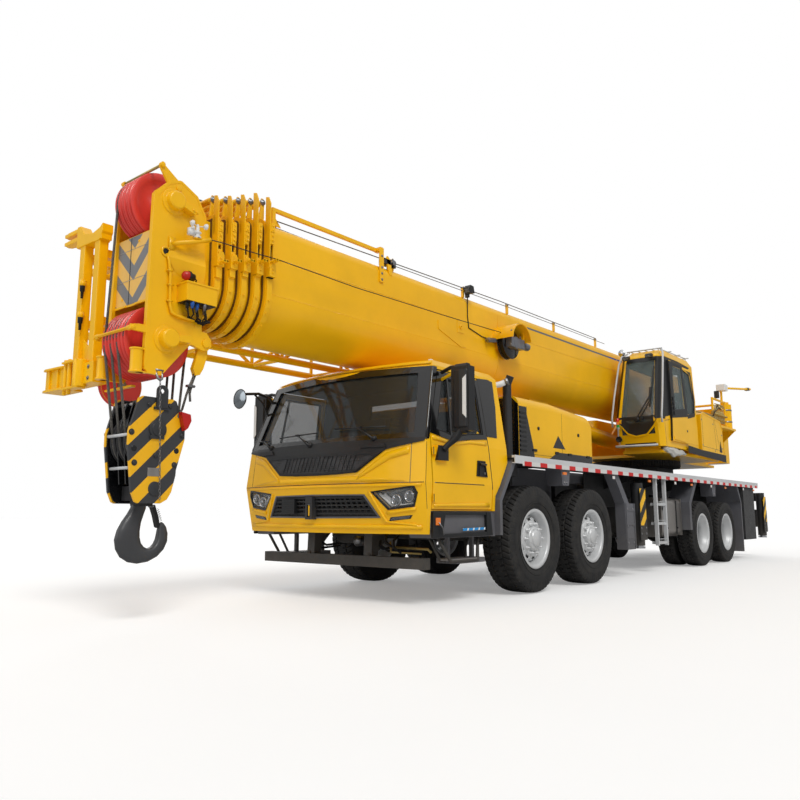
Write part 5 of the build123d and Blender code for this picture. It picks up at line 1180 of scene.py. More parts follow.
def boom_skin():
    """Weld seams, rail feet, guide block, lifting eyes and the band along the base section."""
    p = Piece("boom_seams", "boom", BOOM, smooth=True)
    for z, radius in ((3.372, 0.0042), (3.0147, 0.0030)):
        for _, s in SIDES:
            p.tube([(-7.2, s * 0.4195, z), (3.235, s * 0.4195, z)], radius, 6)
    for x in (-0.751, -4.62):
        hoop(p, 0, x - 0.004, x + 0.004, -0.001, 0.0028)
    hoop(p, 0, 3.222, 3.238, -0.001, 0.010)
    settle(p)
    p = Piece("boom_rail_feet", "boom", BOOM, bevel=0.003)
    p.box((3.105, 3.175), (0.313, 0.383), (TOP, TOP + 0.010))
    p.prism("y", [(3.118, TOP + 0.01), (3.040, TOP + 0.01), (3.118, TOP + 0.10)], 0.343, 0.353)
    p.box((1.612, 1.676), (0.420, 0.438), (3.500, 3.896))
    p.box((1.600, 1.650), (0.330, 0.395), (3.862, 3.905))
    p.prism("y", [(1.45, 3.62), (1.50, 3.62), (1.56, 3.80), (1.53, 3.835), (1.485, 3.80)], 0.405, 0.425)
    settle(p.both())
    p = Piece("boom_rail_bolts", "steel", BOOM)
    for z in (3.53, 3.60, 3.67, 3.80):
        p.bolt((1.644, 0.438, z), (0, 1, 0), 0.010, 0.008)
    settle(p.both())
    p = Piece("boom_guide_block", "trim", BOOM, bevel=0.004)
    p.box((1.470, 1.590), (0.340, 0.425), (3.735, 3.800))
    p.lathe([(-0.05, 0.0), (-0.05, 0.034), (-0.03, 0.030), (0.03, 0.030), (0.05, 0.034), (0.05, 0.0)],
            (1.42, 0.38, 3.775), "y", 24, "steel")
    p.box((1.40, 1.44), (0.325, 0.435), (3.717, 3.750))
    settle(p)
    p = Piece("boom_pad_eye", "boom", BOOM, bevel=0.003)
    p.prism("y", [(0.02, 3.03), (0.13, 3.02), (0.60, 3.17), (0.60, 3.28), (0.46, 3.24), (0.16, 3.12)], 0.417, 0.428)
    p.box((0.06, 0.20), (0.418, 0.426), (3.20, 3.36))
    p.lathe([(0.0, 0.030), (0.012, 0.030), (0.016, 0.022), (0.016, 0.012), (0.0, 0.012)], (0.13, 0.424, 3.28), "y", 24)
    settle(p.both())
    p = Piece("boom_side_band", "slate", BOOM)
    p.box((-4.30, -1.33), (0.4195, 0.4212), (3.566, 3.592))
    p.box((-4.86, -4.30), (0.4195, 0.4212), (3.566, 3.592), "blue_band")
    settle(p)


def boom_lines():
    """Ropes and cables along the boom with their posts, and the work lamp with its lead."""
    p = Piece("boom_top_lines", "rope", BOOM)
    p.tube([(3.10, 0.365, 3.775), (1.44, 0.375, 3.800), (-0.02, 0.385, 3.822), (-0.87, 0.385, 3.838),
            (-3.9, 0.380, 3.842)], 0.006, 8)
    p.tube([(1.40, 0.395, 3.760), (-1.05, 0.398, 3.790), (-4.2, 0.395, 3.800)], 0.0045, 8)
    p.tube([(3.26, -0.105, 3.945), (-7.70, -0.105, 3.800)], 0.011, 10)
    settle(p)
    p = Piece("boom_line_posts", "boom", BOOM, bevel=0.002)
    for x in (1.42, 0.02, -1.05, -2.4, -3.85):
        p.box((x - 0.018, x + 0.018), (0.374, 0.402), (3.690, 3.812))
        p.lathe([(-0.016, 0.0), (-0.016, 0.022), (0.0, 0.014), (0.016, 0.022), (0.016, 0.0)], (x, 0.388, 3.815), "y",
                18, "steel")
    p.box((-7.74, -7.66), (-0.20, 0.00), (3.715, 3.760))
    p.lathe(rod(-0.08, 0.08, 0.030), (-7.70, -0.105, 3.765), "y", 20, "steel")
    settle(p)
    p = Piece("boom_work_lamp", "black", BOOM, bevel=0.006)
    p.prism("y", [(-0.07, 3.742), (0.03, 3.722), (0.045, 3.80), (0.02, 3.835), (-0.05, 3.83)], 0.425, 0.515)
    p.box((-0.02, 0.012), (0.418, 0.470), (3.685, 3.735))
    p.prism("y", [(0.034, 3.735), (0.047, 3.797), (0.041, 3.799), (0.027, 3.738)], 0.432, 0.508, "lamp")
    p.tube([(-0.02, 0.44, 3.72), (-0.03, 0.426, 3.62), (-0.028, 0.425, 3.45), (-0.05, 0.425, 3.30),
            (-0.35, 0.425, 3.24), (-0.62, 0.426, 3.23)], 0.007, 8)
    settle(p)
    # cable from the head, over the collars' horns to the spring reel
    p = Piece("boom_signal_cable", "hose", BOOM)
    p.tube([(3.27, 0.575, 3.302), (2.2, 0.560, 3.285), (0.6, 0.555, 3.300), (-0.70, 0.540, 3.330)], 0.0048, 8)
    settle(p)
    p = Piece("boom_head_cable", "hose", TIP)
    p.tube([(3.27, 0.575, 3.302), (3.46, 0.548, 3.305), (3.62, 0.510, 3.318), (3.78, 0.470, 3.335),
            (3.93, 0.410, 3.352)], 0.0048, 8)
    settle(p)


def cable_reel():
    """Spring reel for the signal cable: drum, coiled cable, motor, guard and the cable's guide arm."""
    x, z = -0.85, 3.150
    hub, guard = (x, 0.0, z), 0.2465
    p = Piece("reel_drum", "trim", BOOM, smooth=True)
    p.lathe([(0.468, 0.06), (0.468, 0.208), (0.474, 0.212), (0.480, 0.208), (0.480, 0.190), (0.552, 0.190),
             (0.552, 0.208), (0.557, 0.212), (0.562, 0.208), (0.562, 0.03)], hub, "y", 64).done()
    p = Piece("reel_cable", "hose", BOOM, smooth=True)
    coils = [point for k in range(7) for point in ((0.482 + 0.0105 * k, 0.191), (0.487 + 0.0105 * k, 0.1975))]
    p.lathe([(0.481, 0.185), *coils, (0.5515, 0.185)], hub, "y", 64).done()
    p = Piece("reel_motor", "slate", BOOM, bevel=0.006)
    p.box((-1.052, -0.718), (0.5625, 0.6515), (3.078, 3.212))
    p.lathe([(0.562, 0.0), (0.562, 0.085), (0.645, 0.085), (0.656, 0.070), (0.656, 0.0)], (x, 0.0, 3.145), "y", 32)
    p.lathe([(-0.10, 0.0), (-0.10, 0.052), (0.0, 0.052), (0.012, 0.040), (0.012, 0.0)], (-1.10, 0.607, 3.145), "x",
            28).done()
    p = Piece("reel_guard", "boom", BOOM, bevel=0.002)
    y0, y1 = 0.421, 0.736
    section = ((guard, y0), (guard, y1), (0.228, y1), (0.228, y1 - 0.012), (0.2440, y1 - 0.012), (0.2440, y0))
    arc = [pi * k / 32 * 0.93 + 0.10 for k in range(33)]
    p.loop_skin([[(x + r * cos(a), y, z + r * sin(a)) for r, y in section] for a in arc])
    p.prism("y", [(-1.09, 3.20), (-0.61, 3.20), (-0.64, 3.17), (-1.06, 3.17)], y0, 0.466).done()
    p = Piece("reel_fittings", "steel", BOOM)
    for bolt in ((-1.0, 3.10), (-0.94, 3.23), (-0.76, 3.23), (-0.70, 3.10)):
        p.bolt((bolt[0], 0.6515, bolt[1]), (0, 1, 0), 0.011, 0.008)
    for a in (0.5, 1.4, 2.4):
        p.bolt((x + guard * cos(a), 0.70, z + guard * sin(a)), (cos(a), 0, sin(a)), 0.009, 0.007)
    p.done()
    p = Piece("reel_arm", "slate", BOOM, bevel=0.006)
    p.prism("y", [(-0.44, 3.105), (-0.40, 3.125), (-0.42, 3.165), (-0.66, 3.195), (-0.70, 3.150)], 0.44, 0.475)
    p.lathe(rod(-0.02, 0.02, 0.028), (-0.425, 0.475, 3.135), "y", 20, "steel").done()


for number in range(5):
    collar(number)
boom_skin()
boom_lines()
cable_reel()


# ------------------------------------------------------------------ boom head
UPPER, LOWER, BLOCK = (4.200, 3.520), (4.212, 2.312), (4.175, 1.480)     # axles of the sheaves, as (x, z)
ROPE = 0.0105
UPPER_GROOVE, LOWER_GROOVE, BLOCK_GROOVE = 0.2880, 0.2930, 0.2280         # radii at which the rope lies
FALLS = (-0.100, 0.0, 0.100)
SKIN = 0.303                                                             # outside of the head's side plates


def sheave(p, centre, y, width, radius, bore=0.051):
    """Rope sheave with a recessed web and a round groove."""
    w = width / 2
    half = [(-w * 0.92, bore), (-w * 0.92, bore + 0.034), (-w * 0.45, bore + 0.044), (-w * 0.45, radius - 0.082),
            (-w * 0.82, radius - 0.066), (-w, radius - 0.036), (-w, radius - 0.007), (-w + 0.004, radius),
            (-0.0150, radius - 0.002), (-0.0125, radius - 0.016), (-0.007, radius - 0.0235)]
    outline = half + [(-a, r) for a, r in reversed(half)]
    p.lathe(shifted(y, *outline), (centre[0], 0, centre[1]), "y", 72, closed=True)


def wrap(p, centre, y, radius, a0, a1, steps=26):
    """Rope lying in a groove between two angles."""
    angles = [radians(a0 + (a1 - a0) * k / steps) for k in range(steps + 1)]
    p.tube([(centre[0] + radius * cos(a), y, centre[1] + radius * sin(a)) for a in angles], ROPE, 8)


def head_sheaves():
    p = Piece("sheaves_upper", "red", TIP, slot="red_paint")
    for y in (-0.098, -0.033, 0.033, 0.098):
        sheave(p, UPPER, y, 0.060, 0.300)
    p.done(replaces=("head_sheaves",))
    p = Piece("sheaves_lower", "red", TIP, slot="red_paint")
    for i in range(7):
        sheave(p, LOWER, -0.150 + 0.050 * i, 0.0485, 0.305)
    p.done()
    p = Piece("sheave_hubs", "steel", TIP)
    for (x, z), inner in ((UPPER, 0.131), (LOWER, 0.178)):
        p.lathe([(inner, 0.05), (inner, 0.088), (inner + 0.018, 0.086), (inner + 0.022, 0.070), (0.279, 0.068),
                 (0.279, 0.05)], (x, 0, z), "y", 36)
    p.both().done()
    p = Piece("head_ropes", "rope", TIP)
    wrap(p, UPPER, -0.098, UPPER_GROOVE, -3, 92)
    p.tube([(4.4878, -0.098, 3.510), (4.4995, -0.150, 2.33)], ROPE, 10)
    p.tube([(4.195, -0.098, 3.808), (3.80, -0.101, 3.8245), (3.27, -0.105, 3.8405)], ROPE, 10)
    for y in (-0.150, -0.050, 0.050, 0.150, -0.100, 0.0):
        wrap(p, LOWER, y, LOWER_GROOVE, 0, 180)
    p.done()


def head_front():
    """Front cover with its reflective chevrons."""
    p = Piece("head_cover", "boom", TIP, bevel=0.003)
    p.box((4.352, 4.3615), (-0.278, 0.278), (2.622, 3.245))
    for y in ((-0.278, -0.10), (0.05, 0.278)):
        p.box((4.3615, 4.372), y, (2.622, 2.640))
    p.done()
    p = Piece("head_chevrons", "chevron", TIP)
    p.box((4.3612, 4.3632), (-0.272, 0.272), (2.642, 3.238)).done()
    p = Piece("head_cover_lines", "trim", TIP)
    p.box((4.3630, 4.3640), (-0.066, -0.054), (2.645, 3.236))
    for z in ((2.83, 2.93), (3.06, 3.17)):
        p.box((4.3630, 4.3638), (-0.066, -0.054), z, "yellow")
    for z in (2.855, 3.125):
        p.box((4.3634, 4.3648), (-0.27, 0.27), (z, z + 0.0045), "alu")
    for y, z in ((0.06, 3.185), (-0.16, 2.70)):
        p.bolt((4.3632, y, z), (1, 0, 0), 0.009, 0.006, material="boom")
    p.done()


def head_plates():
    """Plate edges, doublers, pin bosses with their keeper plates, and bolts."""
    p = Piece("head_edges", "boom", TIP, bevel=0.003)
    a, b = 0.262, 0.305
    p.prism("y", [(4.368, 2.10), (4.404, 2.06), (4.390, 3.545), (4.356, 3.52)], a, b)
    p.prism("y", [(4.356, 3.52), (4.390, 3.545), (4.258, 3.69), (4.145, 3.735), (4.135, 3.712), (4.245, 3.664)], a, b)
    p.prism("y", [(3.868, 3.40), (3.868, 3.485), (3.965, 3.648), (4.135, 3.735), (4.140, 3.712), (3.978, 3.628),
                  (3.890, 3.478), (3.890, 3.40)], a, b)
    p.prism("y", [(4.368, 2.10), (4.404, 2.06), (4.362, 2.006), (4.240, 2.003), (4.232, 2.022), (4.345, 2.030)],
            0.272, b)
    crease = [(3.872, 0.3035, 3.150), (4.20, 0.3035, 3.150), (4.255, 0.318, 3.022), (3.872, 0.334, 3.016),
              (4.150, 0.3035, 2.90), (3.872, 0.3035, 2.800)]
    p.add(crease, [(0, 1, 2, 3), (3, 2, 4, 5), (0, 3, 5), (1, 4, 2)])
    p.both().done()

    pins = ((LOWER, 0.395, -0.10), (UPPER, 0.375, 0.28))
    p = Piece("head_bosses", "boom", TIP, bevel=0.003)
    keeper = [(-0.03, -0.022), (-0.185, -0.030), (-0.215, 0.0), (-0.185, 0.034), (-0.03, 0.030)]
    for (x, z), reach, tilt in pins:
        c, k = cos(tilt), sin(tilt)
        for _, s in SIDES:
            far = reach if s > 0 else 0.345
            p.lathe([(s * 0.302, 0.118), (s * 0.312, 0.114), (s * 0.314, 0.088), (s * 0.320, 0.083),
                     (s * (far - 0.01), 0.080), (s * far, 0.068), (s * far, 0.0)], (x, 0, z), "y", 40)
            p.prism("y", [(x + a * c - b * k, z + a * k + b * c) for a, b in keeper], s * SKIN, s * (far - 0.004))
    p.done()
    p = Piece("head_bolts", "boom", TIP)
    for (x, z), _, tilt in pins:
        for y, s in ((0.371, 1), (-0.341, -1)):
            for a in (-0.16, -0.195):
                p.bolt((x + a * cos(tilt), y, z + a * sin(tilt)), (0, s, 0), 0.011, 0.010)
    for z in (2.48, 2.55, 2.62):
        p.bolt((3.94, SKIN, z), (0, 1, 0), 0.008, 0.008)
    p.done()


def head_guards():
    """Horns and bars that keep the ropes in, and the upright rollers at the foot of both plates."""
    p = Piece("head_rope_bars", "boom", TIP, bevel=0.002)
    p.lathe([(0.283, 0.0), (0.283, 0.022), (0.320, 0.022), (0.322, 0.0)], (4.330, 0, 3.812), "y", 22)
    p.lathe([(0.285, 0.0), (0.285, 0.026), (0.312, 0.026), (0.314, 0.0)], (4.160, 0, 3.655), "y", 22)
    p.prism("y", [(4.385, 2.335), (4.385, 2.395), (4.50, 2.392), (4.533, 2.375), (4.533, 2.350), (4.50, 2.338)],
            0.279, 0.304)
    p.lathe([(0.225, 0.0), (0.225, 0.022), (0.300, 0.022), (0.312, 0.012), (0.312, 0.0)], (4.511, 0, 2.365), "y", 22)
    p.both()
    p.tube([(4.511, -0.29, 2.365), (4.511, 0.29, 2.365)], 0.0135, 14)
    p.box((4.385, 4.455), (0.262, 0.279), (2.375, 2.405)).done()
    p = Piece("head_top_bar", "brass", TIP)
    p.tube([(4.330, -0.30, 3.812), (4.330, 0.30, 3.812)], 0.0125, 12).done()
    p = Piece("head_side_rollers", "boom", TIP, bevel=0.002)
    p.lathe([(2.005, 0.0), (2.005, 0.058), (2.017, 0.058), (2.019, 0.049), (2.190, 0.049), (2.192, 0.058),
             (2.204, 0.058), (2.204, 0.0)], (4.448, 0.262, 0), "z", 32)
    for z in ((2.192, 2.204), (2.005, 2.017)):
        p.box((4.36, 4.455), (0.256, 0.304), z)
    p.both().done()


def head_electrics():
    """Junction box with glands and cables, conduit, buzzer and wind meter on the left plate."""
    p = Piece("head_box", "boom", TIP, bevel=0.006)
    p.box((3.828, 4.130), (SKIN, 0.452), (2.648, 2.806))
    p.box((3.820, 4.138), (SKIN, 0.460), (2.796, 2.812)).done()
    p = Piece("head_glands", "black", TIP)
    glands = ((3.87, 0.33), (3.91, 0.40), (3.96, 0.34), (4.00, 0.41), (4.05, 0.34), (4.09, 0.40), (3.94, 0.43),
              (4.06, 0.43))
    for i, (x, y) in enumerate(glands):
        tone = ("steel", "black", "steel", "blue_band")[i % 4]
        p.lathe([(2.648, 0.016), (2.630, 0.018), (2.612, 0.017), (2.608, 0.012), (2.590, 0.012), (2.588, 0.0)],
                (x, y, 0), "z", 14, tone)
        p.tube([(x, y, 2.60), (x - 0.008, y, 2.575), (x - 0.03, y - 0.02, 2.548), (x - 0.05, 0.34, 2.53),
                (3.93 - 0.01 * i, 0.325, 2.50)], 0.0065, 8)
    p.box((3.838, 4.122), (0.312, 0.444), (2.640, 2.649)).done()
    p = Piece("head_conduit", "boom", TIP, smooth=True)
    p.tube([(4.245, 0.306, 3.045), (4.232, 0.320, 2.985), (4.212, 0.320, 2.870), (4.206, 0.320, 2.62),
            (4.186, 0.320, 2.548), (4.125, 0.324, 2.528), (4.03, 0.330, 2.520), (3.97, 0.330, 2.515)], 0.013, 12)
    for x, z in ((4.219, 2.90), (4.208, 2.78), (4.207, 2.64)):
        p.box((x - 0.024, x + 0.024), (SKIN, 0.336), (z - 0.006, z + 0.006))
    rim, lip = 0.038, 0.010
    turns = [2 * pi * k / 24 for k in range(25)]
    p.loop_skin([[(4.255 + (rim + lip * cos(b)) * cos(a), 0.305 + lip * sin(b), 3.062 + (rim + lip * cos(b)) * sin(a))
                  for b in [2 * pi * j / 8 for j in range(8)]] for a in turns], caps=False)
    p.lathe([(0.3030, 0.030), (0.3036, 0.0)], (4.255, 0, 3.062), "y", 22, "black").done()
    p = Piece("head_buzzer", "red_plain", TIP, smooth=True)
    buzzer = (4.088, 0.385, 2.872)
    p.lathe([(0.052, 0.0), (0.050, 0.018), (0.038, 0.034), (0.012, 0.042), (0.0, 0.042)], buzzer, "x", 28)
    p.lathe([(0.0, 0.046), (-0.018, 0.046), (-0.022, 0.036), (-0.060, 0.032), (-0.066, 0.018), (-0.070, 0.0)],
            buzzer, "x", 28, "black")
    p.box((4.050, 4.085), (SKIN, 0.360), (2.835, 2.850), "boom")
    p.tube([(4.02, 0.385, 2.872), (3.99, 0.37, 2.86), (3.985, 0.34, 2.83), (4.00, 0.33, 2.81)], 0.006, 8,
           "black").done()
    p = Piece("wind_arm", "boom", TIP, smooth=True)
    p.tube([(4.205, 0.304, 3.143), (4.170, 0.350, 3.150), (4.02, 0.400, 3.195), (3.896, 0.415, 3.243)], 0.020, 14)
    p.box((4.180, 4.235), (SKIN, 0.318), (3.09, 3.20))
    p.box((3.99, 4.05), (0.385, 0.425), (3.212, 3.224)).done()
    p = Piece("wind_meter", "white", TIP, smooth=True)
    x, y, cups = 4.022, 0.402, 3.330
    p.lathe([(3.224, 0.030), (3.236, 0.034), (3.240, 0.022), (3.262, 0.022), (3.268, 0.034), (3.276, 0.034),
             (3.282, 0.018), (3.322, 0.015), (3.345, 0.010), (3.350, 0.0)], (x, y, 0), "z", 22)
    for a in (25, 145, 265):
        cup = (x + 0.075 * cos(radians(a)), y + 0.075 * sin(radians(a)), cups)
        p.tube([(x, y, cups), cup], 0.004, 8)
        p.lathe([(0.0, 0.026), (0.010, 0.0255), (0.022, 0.018), (0.028, 0.0)], cup, "x", 20)
    p.box((4.06, 4.115), (0.385, 0.420), (3.232, 3.292))
    p.prism("y", [(4.02, 3.275), (4.075, 3.290), (4.08, 3.262), (4.03, 3.250)], 0.390, 0.414).done()


def rope_end():
    """Dead end of the rope: wedge socket on its pin, tail, clamp, the limit switch's weight and its shackle."""
    p = Piece("rope_socket", "boom", TIP, bevel=0.003)
    p.prism("y", [(3.965, 2.455), (3.815, 2.440), (3.768, 2.385), (3.762, 2.330), (3.795, 2.288), (3.850, 2.280),
                  (3.965, 2.312)], 0.284, SKIN)
    p.prism("y", [(3.795, 2.395), (3.775, 2.36), (3.772, 2.25), (3.808, 2.13), (3.842, 2.070), (3.888, 2.060),
                  (3.912, 2.120), (3.870, 2.25), (3.868, 2.36), (3.848, 2.395)], 0.2185, 0.2655)
    p.lathe([(0.2225, 0.0), (0.2225, 0.036), (0.226, 0.040), (0.270, 0.040), (SKIN, 0.040), (0.318, 0.036),
             (0.318, 0.0)], (3.822, 0, 2.345), "y", 26).done()
    p = Piece("rope_dead_end", "rope", BLOCK_BODY)
    for line in ([(3.880, 0.242, 2.085), (3.900, 0.245, 2.030), (3.930, 0.250, 1.965), (3.950, 0.240, 1.890),
                  (3.975, 0.222, 1.760)],
                 [(3.865, 0.236, 2.085), (3.905, 0.244, 1.985), (3.925, 0.248, 1.900), (3.918, 0.250, 1.830)],
                 [(3.975, 0.222, 1.760), (4.000, 0.150, 1.640), (4.02, 0.100, 1.56)]):
        p.tube(line, ROPE, 10)
    p.done()
    p = Piece("rope_clamp", "steel", BLOCK_BODY, bevel=0.002)
    p.box((3.890, 3.958), (0.230, 0.266), (1.952, 1.972))
    for x in (3.898, 3.948):
        p.tube([(x, 0.232, 1.962), (x, 0.282, 1.962)], 0.006, 8)
        p.bolt((x, 0.266, 1.962), (0, 1, 0), 0.009, 0.008)
    p.done()
    p = Piece("limit_weight", "red_plain", BLOCK_BODY, bevel=0.006)
    p.prism("y", [(3.995, 1.735), (3.905, 1.720), (3.895, 1.665), (3.925, 1.600), (3.955, 1.575), (3.975, 1.640),
                  (3.990, 1.700)], 0.200, 0.252).done()
    p = Piece("head_shackle", "steel", TIP, smooth=True)
    p.tube([(4.232, 0.292, 2.040), (4.230, 0.300, 2.005), (4.238, 0.312, 1.975), (4.257, 0.318, 1.962),
            (4.276, 0.312, 1.975), (4.284, 0.300, 2.005), (4.282, 0.292, 2.040)], 0.010, 10)
    p.tube([(4.220, 0.292, 2.046), (4.296, 0.292, 2.046)], 0.013, 12).done()


def chain(name, a, b, body, wire=0.0030, pitch=0.0285):
    """Welded chain hung between two points; each link stands across the one before it."""
    a, b = Vector(a), Vector(b)
    d = (b - a).normalized()
    u = d.cross(Vector((0, 1, 0))).normalized()
    w = d.cross(u).normalized()
    p = Piece(name, "steel", body)
    for i in range(int((b - a).length / pitch)):
        c = a + d * pitch * (i + 0.5)
        side, up = (u, w) if i % 2 else (w, u)
        loops = []
        for t in [2 * pi * k / 12 for k in range(13)]:
            centre = c + d * (pitch * 0.62) * cos(t) + side * 0.0078 * sin(t)
            out = (d * cos(t) * 0.7 + side * sin(t)).normalized()
            loops.append([centre + (out * cos(q) + up * sin(q)) * wire for q in (0, pi / 2, pi, 3 * pi / 2)])
        p.loop_skin(loops, caps=False, smooth=True)
    p.done()


# ------------------------------------------------------------------ hook block
def block_cheeks():
    cheek = [(4.325, 1.838), (4.360, 1.818), (4.392, 1.700), (4.436, 1.540), (4.436, 1.440), (4.388, 1.060),
             (4.350, 0.978), (4.325, 0.966), (4.120, 0.966), (4.060, 0.998), (4.022, 1.060), (3.988, 1.200),
             (3.986, 1.245), (3.916, 1.500), (3.916, 1.585), (3.985, 1.770), (4.010, 1.826), (4.040, 1.838)]
    for name, s in SIDES:
        p = Piece(f"block_cheek_{name}", "hazard_block", BLOCK_BODY, bevel=0.004, slot="dark_paint")
        p.prism("y", cheek, s * 0.164, s * 0.190).done(replaces=("hook_block",) if s > 0 else ())
    p = Piece("block_frame", "trim", BLOCK_BODY, bevel=0.003)
    p.prism("y", [(x + (4.18 - x) * 0.03, z + (1.40 - z) * 0.02) for x, z in cheek], 0.150, 0.164)
    p.prism("y", [(4.02, 1.80), (4.33, 1.80), (4.40, 1.50), (4.36, 1.12), (3.99, 1.12), (3.94, 1.50)], 0.042, 0.058)
    p.both().box((4.11, 4.24), (-0.150, 0.150), (1.790, 1.836)).done()


def block_insides():
    p = Piece("block_sheaves", "iron", BLOCK_BODY)
    for y in FALLS:
        sheave(p, BLOCK, y, 0.070, 0.240)
    p.done()
    p = Piece("block_spacers", "grey", BLOCK_BODY, smooth=True)
    for x, z, r in ((4.420, 1.515, 0.013), (4.385, 1.250, 0.013), (3.945, 1.53, 0.013), (4.30, 1.79, 0.012),
                    (4.05, 1.79, 0.012)):
        p.tube([(x, -0.150, z), (x, 0.150, z)], r, 14)
    p.done()
    p = Piece("block_crosshead", "iron", BLOCK_BODY, bevel=0.008)
    p.box((4.075, 4.275), (-0.149, 0.149), (0.990, 1.110))
    p.lathe([(1.111, 0.10), (1.118, 0.104), (1.160, 0.104), (1.168, 0.09), (1.168, 0.0)], (BLOCK[0], 0, 0), "z", 6)
    p.lathe([(0.945, 0.0), (0.945, 0.088), (0.985, 0.092), (0.990, 0.092)], (BLOCK[0], 0, 0), "z", 36).done()


def block_outside():
    y = 0.190
    p = Piece("block_fittings", "slate_dark", BLOCK_BODY, bevel=0.002)
    p.lathe(shifted(y, (0, 0.082), (0.012, 0.078), (0.014, 0.060), (0.022, 0.056), (0.024, 0.0)), (4.178, 0, 1.573),
            "y", 36)
    p.box((4.120, 4.250), (y, y + 0.014), (1.492, 1.520))
    p.lathe(shifted(y, (0, 0.060), (0.008, 0.057), (0.010, 0.0)), (4.180, 0, 1.085), "y", 30)
    for x, z in ((4.412, 1.534), (4.374, 1.289), (4.266, 1.773), (4.073, 1.776), (4.187, 1.356), (4.007, 1.287),
                 (3.946, 1.539)):
        p.bolt((x, y, z), (0, 1, 0), 0.017, 0.012)
    p.both().done()
    # thin black discs on the cheeks' faces: painted shade standing for two holes
    p = Piece("block_hole_shade", "trim", BLOCK_BODY)
    for x, z in ((4.383, 1.403), (3.992, 1.406)):
        p.lathe([(0.1902, 0.024), (0.1915, 0.024), (0.1915, 0.019), (0.1908, 0.0)], (x, 0, z), "y", 24)
    p.both().done()
    p = Piece("block_plate", "alu", BLOCK_BODY, bevel=0.001)
    p.box((4.142, 4.253), (y, 0.193), (1.186, 1.254))
    for x in (4.148, 4.247):
        for z in (1.192, 1.248):
            p.bolt((x, 0.193, z), (0, 1, 0), 0.004, 0.003, washer=False)
    p.done()
    p = Piece("block_eye", "slate_dark", BLOCK_BODY, bevel=0.004)
    crown = [(0.052 * cos(radians(a)), 1.895 + 0.050 * sin(radians(a))) for a in range(15, 166, 15)]
    rim = [(-0.052, 1.752), (0.052, 1.752), (0.052, 1.895), *crown, (-0.052, 1.895)]
    x0, z0, hole = 4.157, 1.893, 0.021
    loops = []
    for x, z in rim:
        a = atan2(z - z0, x)
        u, v = x0 + hole * cos(a), z0 + hole * sin(a)
        loops.append([(x0 + x, 0.191, z), (x0 + x, 0.213, z), (u, 0.213, v), (u, 0.191, v)])
    p.loop_skin(loops + loops[:1], caps=False)
    p.box((x0 - 0.070, x0 + 0.070), (y, 0.206), (1.735, 1.760)).done()


def hook_forging():
    """Hook skinned through (outer point, inner point, half thickness) stations, with neck and safety latch."""
    stations = [((4.232, 0.975), (4.110, 0.975), 0.050), ((4.240, 0.935), (4.112, 0.930), 0.050),
                ((4.268, 0.885), (4.130, 0.880), 0.052), ((4.312, 0.825), (4.150, 0.815), 0.055),
                ((4.350, 0.755), (4.158, 0.750), 0.058), ((4.369, 0.680), (4.155, 0.695), 0.059),
                ((4.355, 0.603), (4.141, 0.650), 0.059), ((4.313, 0.538), (4.115, 0.620), 0.058),
                ((4.245, 0.497), (4.085, 0.606), 0.056), ((4.160, 0.481), (4.058, 0.607), 0.054),
                ((4.070, 0.492), (4.030, 0.620), 0.052), ((3.985, 0.530), (4.008, 0.645), 0.049),
                ((3.923, 0.588), (3.995, 0.680), 0.045), ((3.890, 0.655), (3.990, 0.722), 0.039),
                ((3.888, 0.722), (3.986, 0.758), 0.032), ((3.905, 0.778), (3.978, 0.790), 0.024),
                ((3.930, 0.808), (3.968, 0.808), 0.014), ((3.946, 0.818), (3.958, 0.817), 0.004)]
    shift, squareness, steps = Vector((0.030, 0, -0.004)), 0.8, 3

    def rounded(value):
        return abs(value) ** squareness * (1 if value >= 0 else -1)

    def ring(outer, inner, thick):
        middle, half = (outer + inner) / 2, (outer - inner) / 2
        return [middle + half * rounded(cos(a)) + Vector((0, thick * (0.86 - 0.14 * cos(a)) * rounded(sin(a)), 0))
                for a in [2 * pi * k / 20 for k in range(20)]]
    rows = [(Vector((o[0], 0, o[1])) + shift, Vector((i[0], 0, i[1])) + shift, t) for o, i, t in stations]
    loops = [ring(*[p + (q - p) * (k / steps) for p, q in zip(a, b)])
             for a, b in zip(rows, rows[1:]) for k in range(steps)] + [ring(*rows[-1])]
    p = Piece("hook_forging", "hook_paint", BLOCK_BODY, smooth=True, slot="cast_iron")
    p.loop_skin(loops).done(replaces=("hook",), weld=True)
    p = Piece("hook_neck", "hook_paint", BLOCK_BODY, smooth=True)
    p.lathe([(0.950, 0.066), (0.975, 0.068), (1.00, 0.060), (1.00, 0.0)], (4.195, 0, 0), "z", 32).done()
    p = Piece("hook_latch", "black", BLOCK_BODY, bevel=0.003)
    p.prism("y", [(4.098, 0.958), (4.062, 0.958), (4.024, 0.860), (4.008, 0.790), (4.018, 0.764), (4.034, 0.772),
                  (4.062, 0.870)], -0.024, 0.024)
    p.lathe(rod(-0.032, 0.032, 0.010), (4.085, 0, 0.945), "y", 16, "steel")
    coil = [(k, 2 * pi * k / 8) for k in range(49)]
    p.tube([(4.020 - 0.0008 * k + 0.008 * cos(a), 0.008 * sin(a), 0.925 - 0.0022 * k) for k, a in coil], 0.0018, 5,
           "brass").done()


